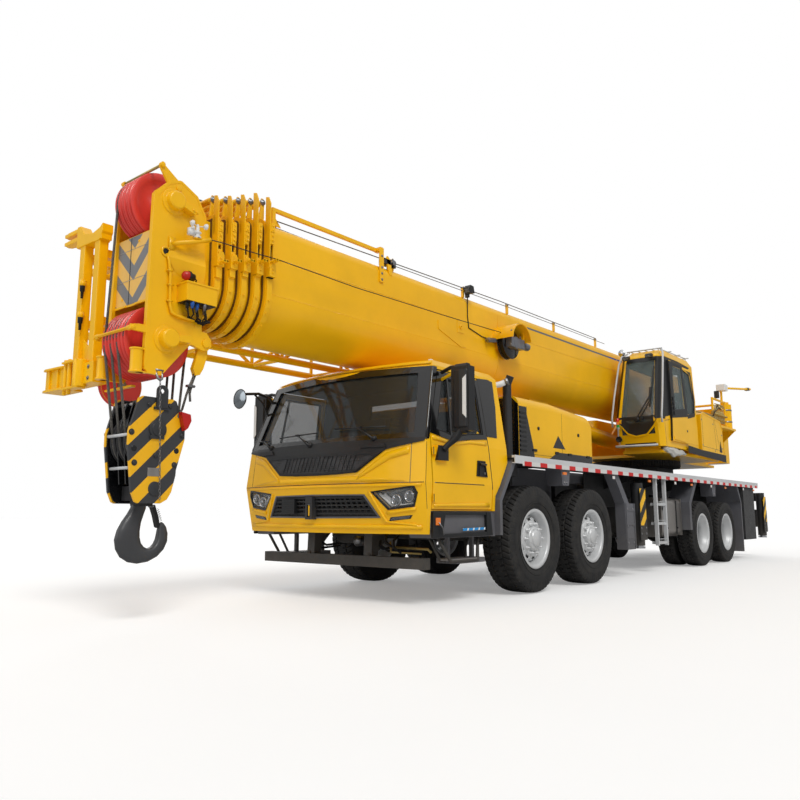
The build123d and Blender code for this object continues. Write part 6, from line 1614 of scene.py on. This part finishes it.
def hoist_falls():
    """Six falls tangent to the lower head sheaves and the block's, and the rope round the block's sheaves."""
    p = Piece("hoist_falls", "rope", BLOCK_BODY, slot="rope_steel")
    (x1, z1), (x2, z2) = LOWER, BLOCK
    r1, r2 = LOWER_GROOVE, BLOCK_GROOVE
    down, spread = atan2(z2 - z1, x2 - x1), atan2(r2 - r1, hypot(x2 - x1, z2 - z1))
    for side, tops in ((1, (-0.150, -0.050, 0.050)), (-1, (-0.100, 0.0, 0.150))):
        a = down + side * (radians(90) + spread)
        for y0, y1 in zip(tops, FALLS):
            p.tube([(x1 + r1 * cos(a), y0, z1 + r1 * sin(a)), (x2 + r2 * cos(a), y1, z2 + r2 * sin(a))], 0.0110, 12)
    for y in FALLS:
        wrap(p, BLOCK, y, r2, 178, 362)
    p.done(replaces=("hoist_ropes",))


head_sheaves()
head_front()
head_plates()
head_guards()
head_electrics()
rope_end()
block_cheeks()
block_insides()
block_outside()
hook_forging()
hoist_falls()
chain("block_chain", (4.257, 0.318, 1.955), (4.150, 0.226, 0.990), BLOCK_BODY)


# ------------------------------------------------------------------ foot of the stowed jib
def jib_foot():
    x = 4.370
    p = Piece("jib_uprights", "yellow", BOOM, bevel=0.012)
    p.prism("x", [(-0.880, 2.18), (-0.780, 2.18), (-0.782, 3.36), (-0.872, 3.36)], x - 0.043, x + 0.043)
    p.prism("x", [(-0.608, 2.18), (-0.512, 2.18), (-0.514, 3.36), (-0.606, 3.36)], x - 0.043, x + 0.043).done()
    p = Piece("jib_crown", "yellow", BOOM, bevel=0.008)
    p.prism("x", [(-0.935, 3.538), (-0.880, 3.538), (-0.800, 3.445), (-0.640, 3.412), (-0.520, 3.438),
                  (-0.470, 3.470), (-0.466, 3.395), (-0.520, 3.318), (-0.640, 3.326), (-0.930, 3.330)],
            x - 0.053, x + 0.053)
    for z in (3.412, 3.494):
        p.prism("z", [(x - 0.042, -0.88), (x + 0.042, -0.88), (x + 0.044, -1.13), (x + 0.030, -1.185), (x, -1.205),
                      (x - 0.030, -1.185), (x - 0.044, -1.13)], z, z + 0.040)
    p.done()
    p = Piece("jib_foot_beam", "yellow", BOOM, bevel=0.006)
    p.box((x - 0.072, x + 0.082), (-1.290, -0.418), (2.008, 2.192))
    for z0, z1 in ((1.990, 2.010), (2.190, 2.208)):
        p.prism("z", [(x - 0.095, -1.285), (x + 0.11, -1.285), (x + 0.125, -1.22), (x + 0.110, -0.92),
                      (x - 0.095, -0.92)], z0, z1)
    for y in ((-1.225, -1.19), (-1.06, -1.03)):
        p.box((x + 0.080, x + 0.098), y, (2.010, 2.190))
    p.prism("x", [(-0.790, 2.19), (-0.790, 2.46), (-0.600, 2.30), (-0.600, 2.19)], x - 0.008, x + 0.008)
    p.lathe([(1.985, 0.0), (1.985, 0.062), (2.225, 0.062), (2.228, 0.050), (2.228, 0.0)], (x + 0.085, -0.640, 0), "z",
            28)
    for z in ((2.208, 2.226), (1.972, 1.990)):
        p.box((x + 0.05, x + 0.14), (-0.88, -0.60), z)
    for y in (-0.86, -0.79):
        p.lathe([(1.930, 0.0), (1.930, 0.020), (2.245, 0.020), (2.250, 0.012), (2.250, 0.0)], (x + 0.105, y, 0), "z",
                18)
    p.box((x - 0.10, x - 0.06), (-0.47, -0.03), (1.938, 1.956)).done()
    p = Piece("jib_bolts", "steel", BOOM)
    for y in (-1.24, -1.15, -0.98):
        p.bolt((x + 0.06, y, 2.208), (0, 0, 1), 0.013, 0.010)
    for z in (2.05, 2.15):
        p.bolt((x + 0.082, -0.50, z), (1, 0, 0), 0.013, 0.010)
    p.done()
    p = Piece("jib_pins", "black", BOOM)
    for z in (2.985, 2.690):
        pin = (x + 0.062, -0.745, z)
        p.lathe([(0, 0.0), (0, 0.022), (-0.03, 0.028), (-0.055, 0.028), (-0.058, 0.0)], pin, "z", 20, "yellow")
        p.lathe([(-0.056, 0.024), (-0.105, 0.021), (-0.110, 0.014), (-0.170, 0.011), (-0.172, 0.0)], pin, "z", 20)
        p.box((x + 0.02, x + 0.07), (-0.80, -0.735), (z - 0.006, z + 0.006), "yellow")
    p.done()
    p = Piece("jib_sheave", "red", BOOM, slot="red_paint")
    half = [(-0.0270, 0.0), (-0.0270, 0.085), (-0.0262, 0.090), (-0.0262, 0.150), (-0.0275, 0.156), (-0.0275, 0.190),
            (-0.022, 0.2035), (-0.0115, 0.2030), (-0.0075, 0.178)]
    axle = (4.090, 0, 2.040)
    p.lathe(shifted(-0.600, *half, *[(-a, r) for a, r in reversed(half)]), axle, "y", 64)
    p.lathe([(-0.573, 0.0), (-0.573, 0.045), (-0.560, 0.040), (-0.558, 0.0)], axle, "y", 24, "steel").done()


jib_foot()


# ------------------------------------------------------------------ operator's cab
# height, with x of its front and y of its inner and outer side
OP_CAB = ((1.96, -4.150, 0.560, 1.352), (2.38, -4.075, 0.560, 1.352), (3.49, -4.380, 0.600, 1.300),
          (3.61, -4.560, 0.660, 1.230))


def op_cab_at(z):
    """Front, inner side and outer side of the operator's cab at a height."""
    for a, b in zip(OP_CAB, OP_CAB[1:]):
        if z <= b[0] or b is OP_CAB[-1]:
            return [u + (v - u) * (z - a[0]) / (b[0] - a[0]) for u, v in zip(a[1:], b[1:])]


def op_front(p, lift):
    """Point of the front at (y, z), which falls back over its last 70 mm on either side."""
    y, z = p
    x, inner, outer = op_cab_at(z)
    edge, fall = 0.07, 0.09
    back = max(inner + edge - y, y - (outer - edge), 0) * fall / edge
    return x - back + lift, y, z


def op_side(p, lift):
    x, z = p
    return x, op_cab_at(z)[2] + lift, z


def op_screen():
    p = Piece("op_screen_frame", "black", TURNTABLE)
    lift = 0.007
    low = [(0.580, 2.40), (0.620, 2.36), (0.70, 2.30), (0.80, 2.18), (0.92, 2.135), (1.08, 2.165), (1.20, 2.29),
           (1.285, 2.40)]
    band(p, low, [(y, 2.455) for y, _ in low], op_front, lift, sub=3)
    for a, b in (([(0.562, 2.40), (0.600, 3.47)], [(0.630, 2.40), (0.669, 3.47)]),
                 ([(1.240, 2.40), (1.195, 3.47)], [(1.281, 2.40), (1.231, 3.47)]),
                 ([(1.281, 2.40), (1.231, 3.47)], [(1.351, 2.40), (1.300, 3.47)]),
                 ([(0.612, 3.47), (1.200, 3.47)], [(0.640, 3.40), (1.200, 3.40)])):
        band(p, a, b, op_front, lift)
    p.done()
    p = Piece("op_screen_glass", "glass_clear", TURNTABLE)
    sheet(p, [(0.622, 2.44), (1.240, 2.44), (1.197, 3.402), (0.653, 3.402)], op_front, 0.004, 0.004).done()
    p = Piece("op_front_panel", "yellow", TURNTABLE, bevel=0.004)
    band(p, [(0.600, 2.385), (0.680, 2.315), (0.780, 2.190), (0.91, 2.140), (1.09, 2.165), (1.215, 2.295),
             (1.300, 2.400), (1.340, 2.405)],
         [(0.600, 2.355), (0.680, 2.285), (0.770, 2.165), (0.91, 2.112), (1.10, 2.140), (1.225, 2.265),
          (1.300, 2.360), (1.340, 2.370)], op_front, 0.014, 0.012).done()


def op_flank():
    """Pillar, window bands, seams and mouldings of the outer side; the sliding door's frame, glass and fittings."""
    p = Piece("op_side_frame", "black", TURNTABLE)
    band(p, [(-4.165, 2.392), (-4.462, 3.47)], [(-4.470, 2.448), (-4.590, 3.47)], op_side, 0.007)
    for a, b in (
            ([(-4.462, 3.425), (-5.10, 3.430), (-5.60, 3.410)], [(-4.480, 3.475), (-5.10, 3.480), (-5.68, 3.455)]),
            ([(-5.242, 2.600), (-5.222, 3.40)], [(-5.262, 2.600), (-5.250, 3.40)]),
            ([(-5.26, 3.42), (-5.42, 3.43), (-5.70, 3.375), (-5.735, 3.30), (-5.790, 2.88), (-5.735, 2.62),
              (-5.70, 2.575), (-5.26, 2.49)],
             [(-5.27, 3.375), (-5.42, 3.385), (-5.655, 3.335), (-5.680, 3.28), (-5.735, 2.89), (-5.690, 2.665),
              (-5.67, 2.640), (-5.27, 2.555)])):
        band(p, a, b, op_side, 0.003, 0.003)
    p.done()
    p = Piece("op_side_lines", "trim", TURNTABLE)
    band(p, [(-4.210, 2.375), (-4.255, 1.965)], [(-4.214, 2.375), (-4.259, 1.965)], op_side, 0.0015, 0.002)
    band(p, [(-4.22, 2.372), (-4.44, 2.405)], [(-4.22, 2.367), (-4.44, 2.400)], op_side, 0.0015, 0.002).done()
    p = Piece("op_side_moulding", "yellow", TURNTABLE, bevel=0.004)
    band(p, [(-4.235, 2.385), (-4.440, 2.420)], [(-4.235, 2.430), (-4.440, 2.470)], op_side, 0.010, 0.010)
    band(p, [(-5.245, 2.520), (-5.700, 2.610), (-5.800, 2.860), (-5.760, 3.30), (-5.715, 3.420)],
         [(-5.245, 2.485), (-5.728, 2.570), (-5.828, 2.860), (-5.790, 3.32), (-5.750, 3.430)], op_side, 0.0025,
         0.0025).done()

    def on_door(q, lift):
        return op_side(q, lift + 0.038)
    body = "operator_door"
    p = Piece("op_door_frame", "black", body)
    outer = [(-4.474, 2.435), (-4.559, 3.405), (-4.70, 3.415), (-5.185, 3.415), (-5.228, 2.525)]
    hole = [(-4.625, 2.585), (-4.680, 3.300), (-4.735, 3.350), (-5.105, 3.350), (-5.125, 2.655)]
    band(p, outer, hole, on_door, 0.006, closed=True, sub=5).done()
    sheet(Piece("op_door_glass", "glass_clear", body), hole, on_door, 0.003, 0.003).done()
    p = Piece("op_door_fittings", "black", body, bevel=0.004)
    for z in (2.52, 2.60, 2.68, 2.76):
        x, y, _ = on_door((-4.575, z), 0.010)
        p.box((x - 0.035, x + 0.030), (y - 0.006, y + 0.010), (z - 0.030, z + 0.030))
    p.lathe([(0.0, 0.018), (0.010, 0.018), (0.012, 0.0)], (-5.14, 1.392, 2.27), "y", 20, "steel").done()
    p = Piece("op_door_relief", "yellow", body, bevel=0.006)
    p.prism("y", [(-4.50, 2.135), (-4.86, 2.120), (-5.02, 2.085), (-5.02, 2.070), (-4.50, 2.085)], 1.388, 1.402)
    p.done()


def op_roof():
    """Pipes up both corners with the roof rack, and the lamps under it."""
    p = Piece("op_masts", "grey", TURNTABLE, smooth=True)
    p.tube([(-4.045, 0.545, 2.300), (-4.030, 0.545, 2.44), (-4.120, 0.560, 2.80), (-4.270, 0.600, 3.36),
            (-4.330, 0.640, 3.52), (-4.400, 0.72, 3.575)], 0.016, 12)
    p.tube([(-4.080, 1.360, 2.330), (-4.055, 1.366, 2.44), (-4.150, 1.362, 2.80), (-4.320, 1.335, 3.36),
            (-4.380, 1.320, 3.52), (-4.470, 1.270, 3.600)], 0.016, 12)
    for y in (0.74, 0.86, 0.98, 1.10, 1.22):
        p.tube([(-4.44, y, 3.615), (-5.76, y, 3.650)], 0.009, 8)
    for x in (-4.46, -4.90, -5.34, -5.76):
        z = 3.617 + (-4.46 - x) * 0.025
        p.tube([(x, 0.68, z), (x, 1.28, z)], 0.011, 8)
        for y in (0.72, 1.22):
            p.tube([(x, y, z), (x, y, 3.585)], 0.009, 8)
    p.done()
    p = Piece("op_lamps", "black", TURNTABLE, bevel=0.005)
    for y in (0.74, 1.13):
        p.prism("y", [(-4.300, 3.435), (-4.235, 3.432), (-4.225, 3.475), (-4.250, 3.505), (-4.310, 3.500)],
                y - 0.055, y + 0.055)
        p.prism("y", [(-4.236, 3.436), (-4.2235, 3.474), (-4.2215, 3.473), (-4.234, 3.435)], y - 0.046, y + 0.046,
                "lamp")
    p.done()
    p = Piece("op_beacon_lamp", "chrome", TURNTABLE, smooth=True)
    p.lathe([(-0.06, 0.0), (-0.05, 0.040), (0.0, 0.062), (0.006, 0.062), (0.008, 0.0)], (-4.335, 0.640, 3.590), "x", 30)
    p.tube([(-4.36, 0.640, 3.59), (-4.38, 0.660, 3.545)], 0.010, 8, "grey").done()


def op_fittings():
    """Wiper, signal tower, horn, step bar, skirts and the wrapped bundle under the cab's corner."""
    def on_screen(*places):
        return [Vector(op_front((y, z), lift)) for y, z, lift in places]
    p = Piece("op_wiper", "black", TURNTABLE, bevel=0.002)
    low, high = on_screen((0.950, 2.400, 0.01), (1.020, 2.405, 0.01))
    p.lathe([(-0.01, 0.0), (-0.01, 0.042), (0.02, 0.040), (0.030, 0.026), (0.030, 0.0)], tuple(low), "x", 24)
    p.lathe([(-0.01, 0.0), (-0.01, 0.034), (0.02, 0.030), (0.02, 0.0)], tuple(high), "x", 24)
    p.tube(on_screen((0.950, 2.41, 0.035), (1.070, 2.62, 0.045), (1.150, 2.78, 0.040), (1.170, 2.90, 0.03)), 0.012, 8)
    p.tube(on_screen((1.010, 2.41, 0.030), (1.110, 2.60, 0.038), (1.180, 2.76, 0.034)), 0.010, 8)
    p.tube(on_screen((1.160, 2.60, 0.018), (1.175, 2.95, 0.018), (1.185, 3.30, 0.016)), 0.010, 6)
    p.tube(on_screen((1.150, 2.72, 0.03), (1.150, 2.93, 0.03)), 0.016, 6).done()
    p = Piece("op_signal_tower", "red_lens", TURNTABLE, smooth=True)
    tower = (-4.035, 0.640, 0)
    p.lathe([(2.438, 0.0), (2.438, 0.024), (2.434, 0.027), (2.385, 0.027)], tower, "z", 24)
    p.lathe([(2.385, 0.027), (2.335, 0.027)], tower, "z", 24, "amber")
    p.lathe([(2.335, 0.027), (2.285, 0.027)], tower, "z", 24, "green_lens")
    p.lathe([(2.285, 0.027), (2.262, 0.027), (2.255, 0.012), (2.140, 0.012), (2.138, 0.0)], tower, "z", 24,
            "grey").done()
    p = Piece("op_horn", "black", TURNTABLE, smooth=True)
    p.lathe([(-0.05, 0.0), (-0.05, 0.030), (-0.01, 0.042), (0.020, 0.052), (0.030, 0.050), (0.024, 0.036),
             (0.012, 0.020), (0.012, 0.0)], (-4.075, 0.640, 2.095), "x", 30).done()
    p = Piece("op_bumper_bar", "grey", TURNTABLE, smooth=True)
    p.tube([(-4.10, 0.570, 1.975), (-4.055, 0.590, 1.975), (-4.050, 0.90, 1.975), (-4.055, 1.28, 1.975)], 0.017,
           12).done()
    p = Piece("op_skirt", "black", TURNTABLE, bevel=0.003)
    p.prism("x", [(0.72, 2.020), (1.22, 2.020), (1.26, 1.962), (0.68, 1.962)], -4.140, -4.128)
    p.prism("y", [(-5.16, 2.030), (-5.86, 2.000), (-7.23, 1.985), (-7.23, 1.845), (-6.90, 1.860), (-5.16, 1.905)],
            1.386, 1.394)
    p.prism("y", [(-6.86, 2.02), (-7.02, 2.02), (-6.93, 2.24)], 1.389, 1.393).done()
    p = Piece("op_wrap", "fabric_pale", TURNTABLE, smooth=True)
    loops = []
    for t in [i / 14 for i in range(15)]:
        sag = 0.025 * sin(9 * t) + 0.02 * sin(23 * t + 1)
        tall = 0.045 + 0.085 * sin(pi * min(1, t * 1.1)) + 0.012 * sin(17 * t)
        loops.append([(-4.26 - 0.88 * t, 1.310 + 0.045 * cos(a) + 0.008 * sin(5 * a + 6 * t),
                       1.915 + sag * 0.4 - 0.03 * t + tall * 0.55 * sin(a) + 0.007 * cos(4 * a + 9 * t))
                      for a in [2 * pi * k / 18 for k in range(18)]])
    p.loop_skin(loops).done()


def cabinet():
    """Panel seams, edge and bolts of the cabinet behind the operator's cab."""
    p = Piece("cabinet_lines", "trim", TURNTABLE)
    for (x0, z0), (x1, z1) in (((-5.95, 2.66), (-5.95, 2.02)), ((-6.60, 2.60), (-6.70, 2.02)),
                               ((-6.64, 2.615), (-6.90, 2.04)), ((-5.90, 2.075), (-7.02, 2.055))):
        n = hypot(x1 - x0, z1 - z0) / 0.0025
        u, v = (z0 - z1) / n, (x1 - x0) / n
        p.prism("y", [(x0 - u, z0 - v), (x0 + u, z0 + v), (x1 + u, z1 + v), (x1 - u, z1 - v)], 1.3895, 1.3912)
    p.done()
    p = Piece("cabinet_edge", "yellow", TURNTABLE, bevel=0.006)
    p.prism("y", [(-5.885, 2.600), (-5.885, 2.650), (-6.000, 2.690), (-6.985, 2.610), (-7.108, 2.450),
                  (-7.090, 2.430), (-6.965, 2.585), (-6.005, 2.660)], 1.375, 1.398).done()
    p = Piece("cabinet_bolts", "steel", TURNTABLE)
    for x, z in ((-5.92, 2.10), (-5.92, 2.55), (-6.55, 2.52), (-7.03, 2.35), (-7.03, 2.10), (-6.60, 2.03)):
        p.bolt((x, 1.390, z), (0, 1, 0), 0.011, 0.008)
    p.done()


# ------------------------------------------------------------------ hydraulics and winch
def hydraulics():
    p = Piece("accumulator_bands", "steel", TURNTABLE)
    for z in (2.74, 2.98):
        p.lathe([(z - 0.014, 0.1255), (z - 0.014, 0.130), (z + 0.014, 0.130), (z + 0.014, 0.1255)],
                (-8.300, 1.120, 0), "z", 40, closed=True)
    p.lathe([(3.150, 0.0), (3.158, 0.02), (3.150, 0.036), (3.13, 0.040)], (-8.300, 1.120, 0), "z", 24).done()
    count, pitch = 7, 0.105
    p = Piece("valve_bank", "brass", TURNTABLE, bevel=0.002)
    for x in [-7.925 + pitch * i for i in range(count)]:
        p.box((x - 0.035, x + 0.035), (1.165, 1.205), (2.66, 2.86))
        p.lathe([(0.0, 0.020), (0.05, 0.020), (0.052, 0.012), (0.075, 0.010), (0.075, 0.0)], (x, 1.200, 2.80), "y", 14)
        p.lathe([(0.0, 0.016), (0.04, 0.016), (0.04, 0.0)], (x, 1.200, 2.71), "y", 12)
        p.lathe([(2.86, 0.018), (2.89, 0.018), (2.90, 0.011), (2.93, 0.011)], (x, 1.185, 0), "z", 12)
    p.done()
    p = Piece("valve_pipes", "brass", TURNTABLE, smooth=True)
    for i in range(count):
        x, z = -7.925 + pitch * i, 2.985 + 0.022 * (i % 3)
        p.tube([(x, 1.185, 2.90), (x, 1.185, z - 0.03), (x - 0.03, 1.185, z), (x - 0.20 - 0.04 * i, 1.180, z + 0.01),
                (x - 0.24 - 0.03 * i, 1.120, z + 0.02)], 0.0085, 8)
    for i, z in enumerate((2.680, 2.720, 2.760)):
        p.tube([(-5.90, 1.26 - 0.03 * i, z - 0.03), (-6.60, 1.27 - 0.03 * i, z), (-7.25, 1.24 - 0.03 * i, z + 0.015),
                (-7.50, 1.18, z + 0.02)], 0.014, 10)
    for i in range(4):
        p.tube([(-7.30 + 0.03 * i, 1.160, 2.62), (-7.32 + 0.02 * i, 1.200 + 0.01 * i, 2.85),
                (-7.48 - 0.05 * i, 1.205, 3.02 - 0.02 * i), (-7.66 - 0.05 * i, 1.190, 2.95)], 0.0095, 8,
               "hose" if i % 2 else "brass")
    p.done()
    p = Piece("rear_box", "white", TURNTABLE, bevel=0.012)
    p.box((-8.024, -7.816), (1.116, 1.284), (3.336, 3.464)).done()
    p = Piece("rear_lamp", "black", TURNTABLE, bevel=0.004)
    p.box((-8.88, -8.78), (1.40, 1.48), (3.438, 3.492))
    p.box((-7.66, -7.58), (1.14, 1.22), (3.16, 3.30)).done()


def slew_ring():
    teeth, foot, tip = 120, 0.760, 0.792
    turns = [(2 * pi * (k + part) / teeth, r) for k in range(teeth)
             for part, r in ((0.08, foot), (0.30, tip), (0.62, tip), (0.84, foot))]
    p = Piece("slew_teeth", "iron", CARRIER)
    p.loop_skin([[(-6.30 + r * cos(a), r * sin(a), z) for a, r in turns] for z in (1.735, 1.855)]).done()


def winch():
    drum, pitch = 0.243, 0.0146
    coils = [point for y in [pitch * k - 0.35 for k in range(49)]
             for point in ((y, drum), (y + pitch / 2, drum + 0.009))]
    p = Piece("winch_ropes", "rope", TURNTABLE, smooth=True)
    p.lathe([(-0.352, 0.10), *coils, (0.352, 0.10)], (-8.620, 0, 2.345), "y", 40).done()


# ------------------------------------------------------------------ engine hood and carrier
HOOD, RAIL = 1.2395, 1.4000                        # half widths


def hood():
    p = Piece("hood_front", "trim", CARRIER, bevel=0.005)
    p.prism("x", [(0.42, 1.535), (1.236, 1.535), (1.236, 2.150), (1.150, 2.235), (0.42, 2.235)], 0.151, 0.158)
    p.both().done()
    p = Piece("hood_louvres", "black", CARRIER, bevel=0.002)
    for z in [1.60 + 0.052 * k for k in range(11)]:
        p.box((0.156, 0.178), (0.55, 1.16), (z, z + 0.026))
    p.both().done()
    p = Piece("hood_side_front", "trim", CARRIER, bevel=0.003)
    p.box((-0.030, 0.148), (HOOD, 1.2440), (1.530, 2.130))
    for z in [1.60 + 0.055 * k for k in range(9)]:
        p.box((-0.010, 0.130), (1.244, 1.252), (z, z + 0.026), "black")
    p.prism("y", [(-0.50, 1.526), (-0.78, 1.640), (-1.742, 1.640), (-1.742, 1.526)], HOOD, 1.2430)
    p.prism("y", [(-0.030, 1.526), (-0.030, 2.05), (-0.16, 1.70), (-0.20, 1.526)], HOOD, 1.2432)
    p.prism("y", [(-0.66, 1.690), (-0.98, 1.690), (-0.80, 1.850)], HOOD, 1.2425)
    p.both().done()
    p = Piece("hood_seams", "trim", CARRIER)
    for x, z in (((-1.740, -0.040), (1.578, 1.5815)), ((-0.0345, -0.031), (1.58, 2.14)),
                 ((-0.905, -0.9015), (1.58, 2.14))):
        p.box(x, (1.2397, 1.2412), z)
    p.both().done()
    p = Piece("hood_fittings", "black", CARRIER, bevel=0.003)
    for x in (-0.20, -0.75, -1.10, -1.62):
        p.box((x - 0.045, x + 0.045), (1.240, 1.252), (1.615, 1.645))
    for x in (-0.30, -1.35):
        p.lathe([(0.0, 0.022), (0.012, 0.020), (0.014, 0.0)], (x, 1.240, 1.90), "y", 20)
    p.both().done()


def carrier_sides():
    """Tape and markers on the rail, wheel arch liners, bolts and ribs of the guards."""
    p = Piece("rail_tape", "tape", CARRIER)
    p.box((-9.26, 0.36), (RAIL, RAIL + 0.0008), (1.414, 1.464)).both().done()
    p = Piece("rail_markers", "amber", CARRIER, bevel=0.003)
    for x in (-0.62, -3.30, -5.15, -7.00, -8.9):
        p.box((x - 0.045, x + 0.045), (RAIL, RAIL + 0.012), (1.350, 1.382))
    for x in (-2.05, -4.4, -6.2, -8.2):
        p.box((x - 0.04, x + 0.04), (RAIL, RAIL + 0.0012), (1.352, 1.392), "white")
    p.both().done()
    p = Piece("arch_liners", "fender", CARRIER, bevel=0.004)
    for x, z in (((-2.02, 0.45), 1.02), ((-4.95, -2.02), 1.338), ((-9.20, -4.95), 1.02)):
        p.box(x, (0.500, 0.512), (z, 1.492))
    p.both().done()
    p = Piece("guard_bolts", "steel", CARRIER)
    for x, z in ((-2.55, 0.48), (-2.74, 0.48), (-2.55, 0.95), (-2.74, 0.95), (-2.55, 0.72), (-2.74, 0.72),
                 (-0.70, 1.26), (-0.76, 1.26), (-6.44, 1.24), (-6.49, 1.24)):
        p.bolt((x, 1.3605, z), (0, 1, 0), 0.013, 0.009)
    p.both().done()
    p = Piece("guard_ribs", "fender", CARRIER, bevel=0.004)
    for x in ((-2.795, -2.775), (-2.515, -2.495)):
        p.box(x, (1.355, 1.372), (0.40, 1.03))
    for z in (0.55, 0.74, 0.93):
        p.box((-2.77, -2.52), (1.358, 1.367), (z - 0.012, z + 0.012))
    p.both().done()


def tank_and_ladder():
    p = Piece("tank_straps", "black", CARRIER, bevel=0.003)
    for x in (-4.42, -4.86):
        wide = (x - 0.022, x + 0.022)
        p.box(wide, (1.2195, 1.226), (0.56, 1.10)).box(wide, (0.60, 1.22), (1.1445, 1.150))
        p.box(wide, (0.60, 1.22), (0.514, 0.5205)).bolt((x, 1.226, 0.66), (0, 1, 0), 0.014, 0.02)
    p.lathe([(1.144, 0.052), (1.158, 0.052), (1.162, 0.048), (1.186, 0.046), (1.190, 0.0)], (-4.28, 1.05, 0), "z", 30)
    p.lathe([(0.0, 0.055), (0.018, 0.052), (0.026, 0.044), (0.026, 0.0)], (-4.30, 1.218, 0.98), "y", 30).done()
    p = Piece("tank_edges", "alu", CARRIER, bevel=0.004)
    for x in (-4.203, -5.099):
        p.box((x - 0.004, x + 0.004), (0.575, 1.224), (0.535, 1.130))
    p.done()
    p = Piece("ladder_treads", "grey", CARRIER, bevel=0.002)
    for z in (0.50, 0.78, 1.06):
        for x in [-3.74 - 0.060 * k for k in range(5)]:
            p.box((x - 0.008, x + 0.008), (1.330, 1.392), (z + 0.002, z + 0.012))
    p.done()


def outrigger_marks():
    """Hazard plate and bolts on the end of each outrigger beam."""
    for place, stations in (("front", (-3.050, -3.340)), ("rear", (-9.760, -9.470))):
        for (name, s), x in zip(SIDES, stations):
            body, y = f"outrigger_beam_{place}_{name}", s * 1.3900
            p = Piece(f"beam_mark_{place}_{name}", "hazard_x", body)
            p.box((x - 0.105, x + 0.105), (y, s * 1.3912), (0.72, 1.25)).done()
            p = Piece(f"beam_bolts_{place}_{name}", "steel", body)
            for dx in (-0.09, 0.09):
                for z in (0.68, 0.60):
                    p.bolt((x + dx, y, z), (0, s, 0), 0.012, 0.008)
            p.done()


def chassis():
    """Tail lamps, bolt rows, and the air lines and tanks between the wheels."""
    p = Piece("tail_lenses", "red_lens", CARRIER, bevel=0.004)
    for y, tone in ((1.17, "red_lens"), (1.04, "amber"), (0.91, "white")):
        p.box((-10.0598, -10.050), (y - 0.055, y + 0.055), (0.775, 0.865), tone)
    p.both().done()
    p = Piece("chassis_bolts", "steel", CARRIER)
    for x in [-1.9 - 0.36 * k for k in range(20)]:
        if not -3.6 < x < -2.9 and x >= -9.1:
            for z in (0.90, 1.02):
                p.bolt((x, 0.441, z), (0, 1, 0), 0.012, 0.010)
    p.both().done()
    p = Piece("air_lines", "hose", CARRIER, smooth=True)
    for _, s in SIDES:
        for i in range(3):
            y = s * (0.47 + 0.022 * i)
            p.tube([(1.60, y, 0.80 - 0.02 * i), (0.90, y, 0.86 - 0.015 * i), (0.20, y + s * 0.02, 0.90),
                    (-1.10, y, 0.93 - 0.02 * i), (-2.40, y, 0.95 - 0.02 * i)], 0.009, 8)
        for xs in ((0.25, 0.20, 0.12, 0.08), (-1.25, -1.30, -1.36, -1.40)):
            p.tube([(x, s * y, z) for x, (y, z) in zip(xs, ((0.50, 0.88), (0.62, 0.80), (0.78, 0.72), (0.90, 0.68)))],
                   0.010, 8)
    p.done()
    dome = [(0.30, 0.0), (0.295, 0.06), (0.27, 0.10), (0.24, 0.115)]
    p = Piece("air_tanks", "dark", CARRIER, smooth=True)
    p.lathe([(-x, r) for x, r in dome] + dome[::-1], (-2.56, 0.66, 0.80), "x", 36).both().done()


op_screen()
op_flank()
op_roof()
op_fittings()
cabinet()
hydraulics()
slew_ring()
winch()
hood()
carrier_sides()
tank_and_ladder()
outrigger_marks()
chassis()
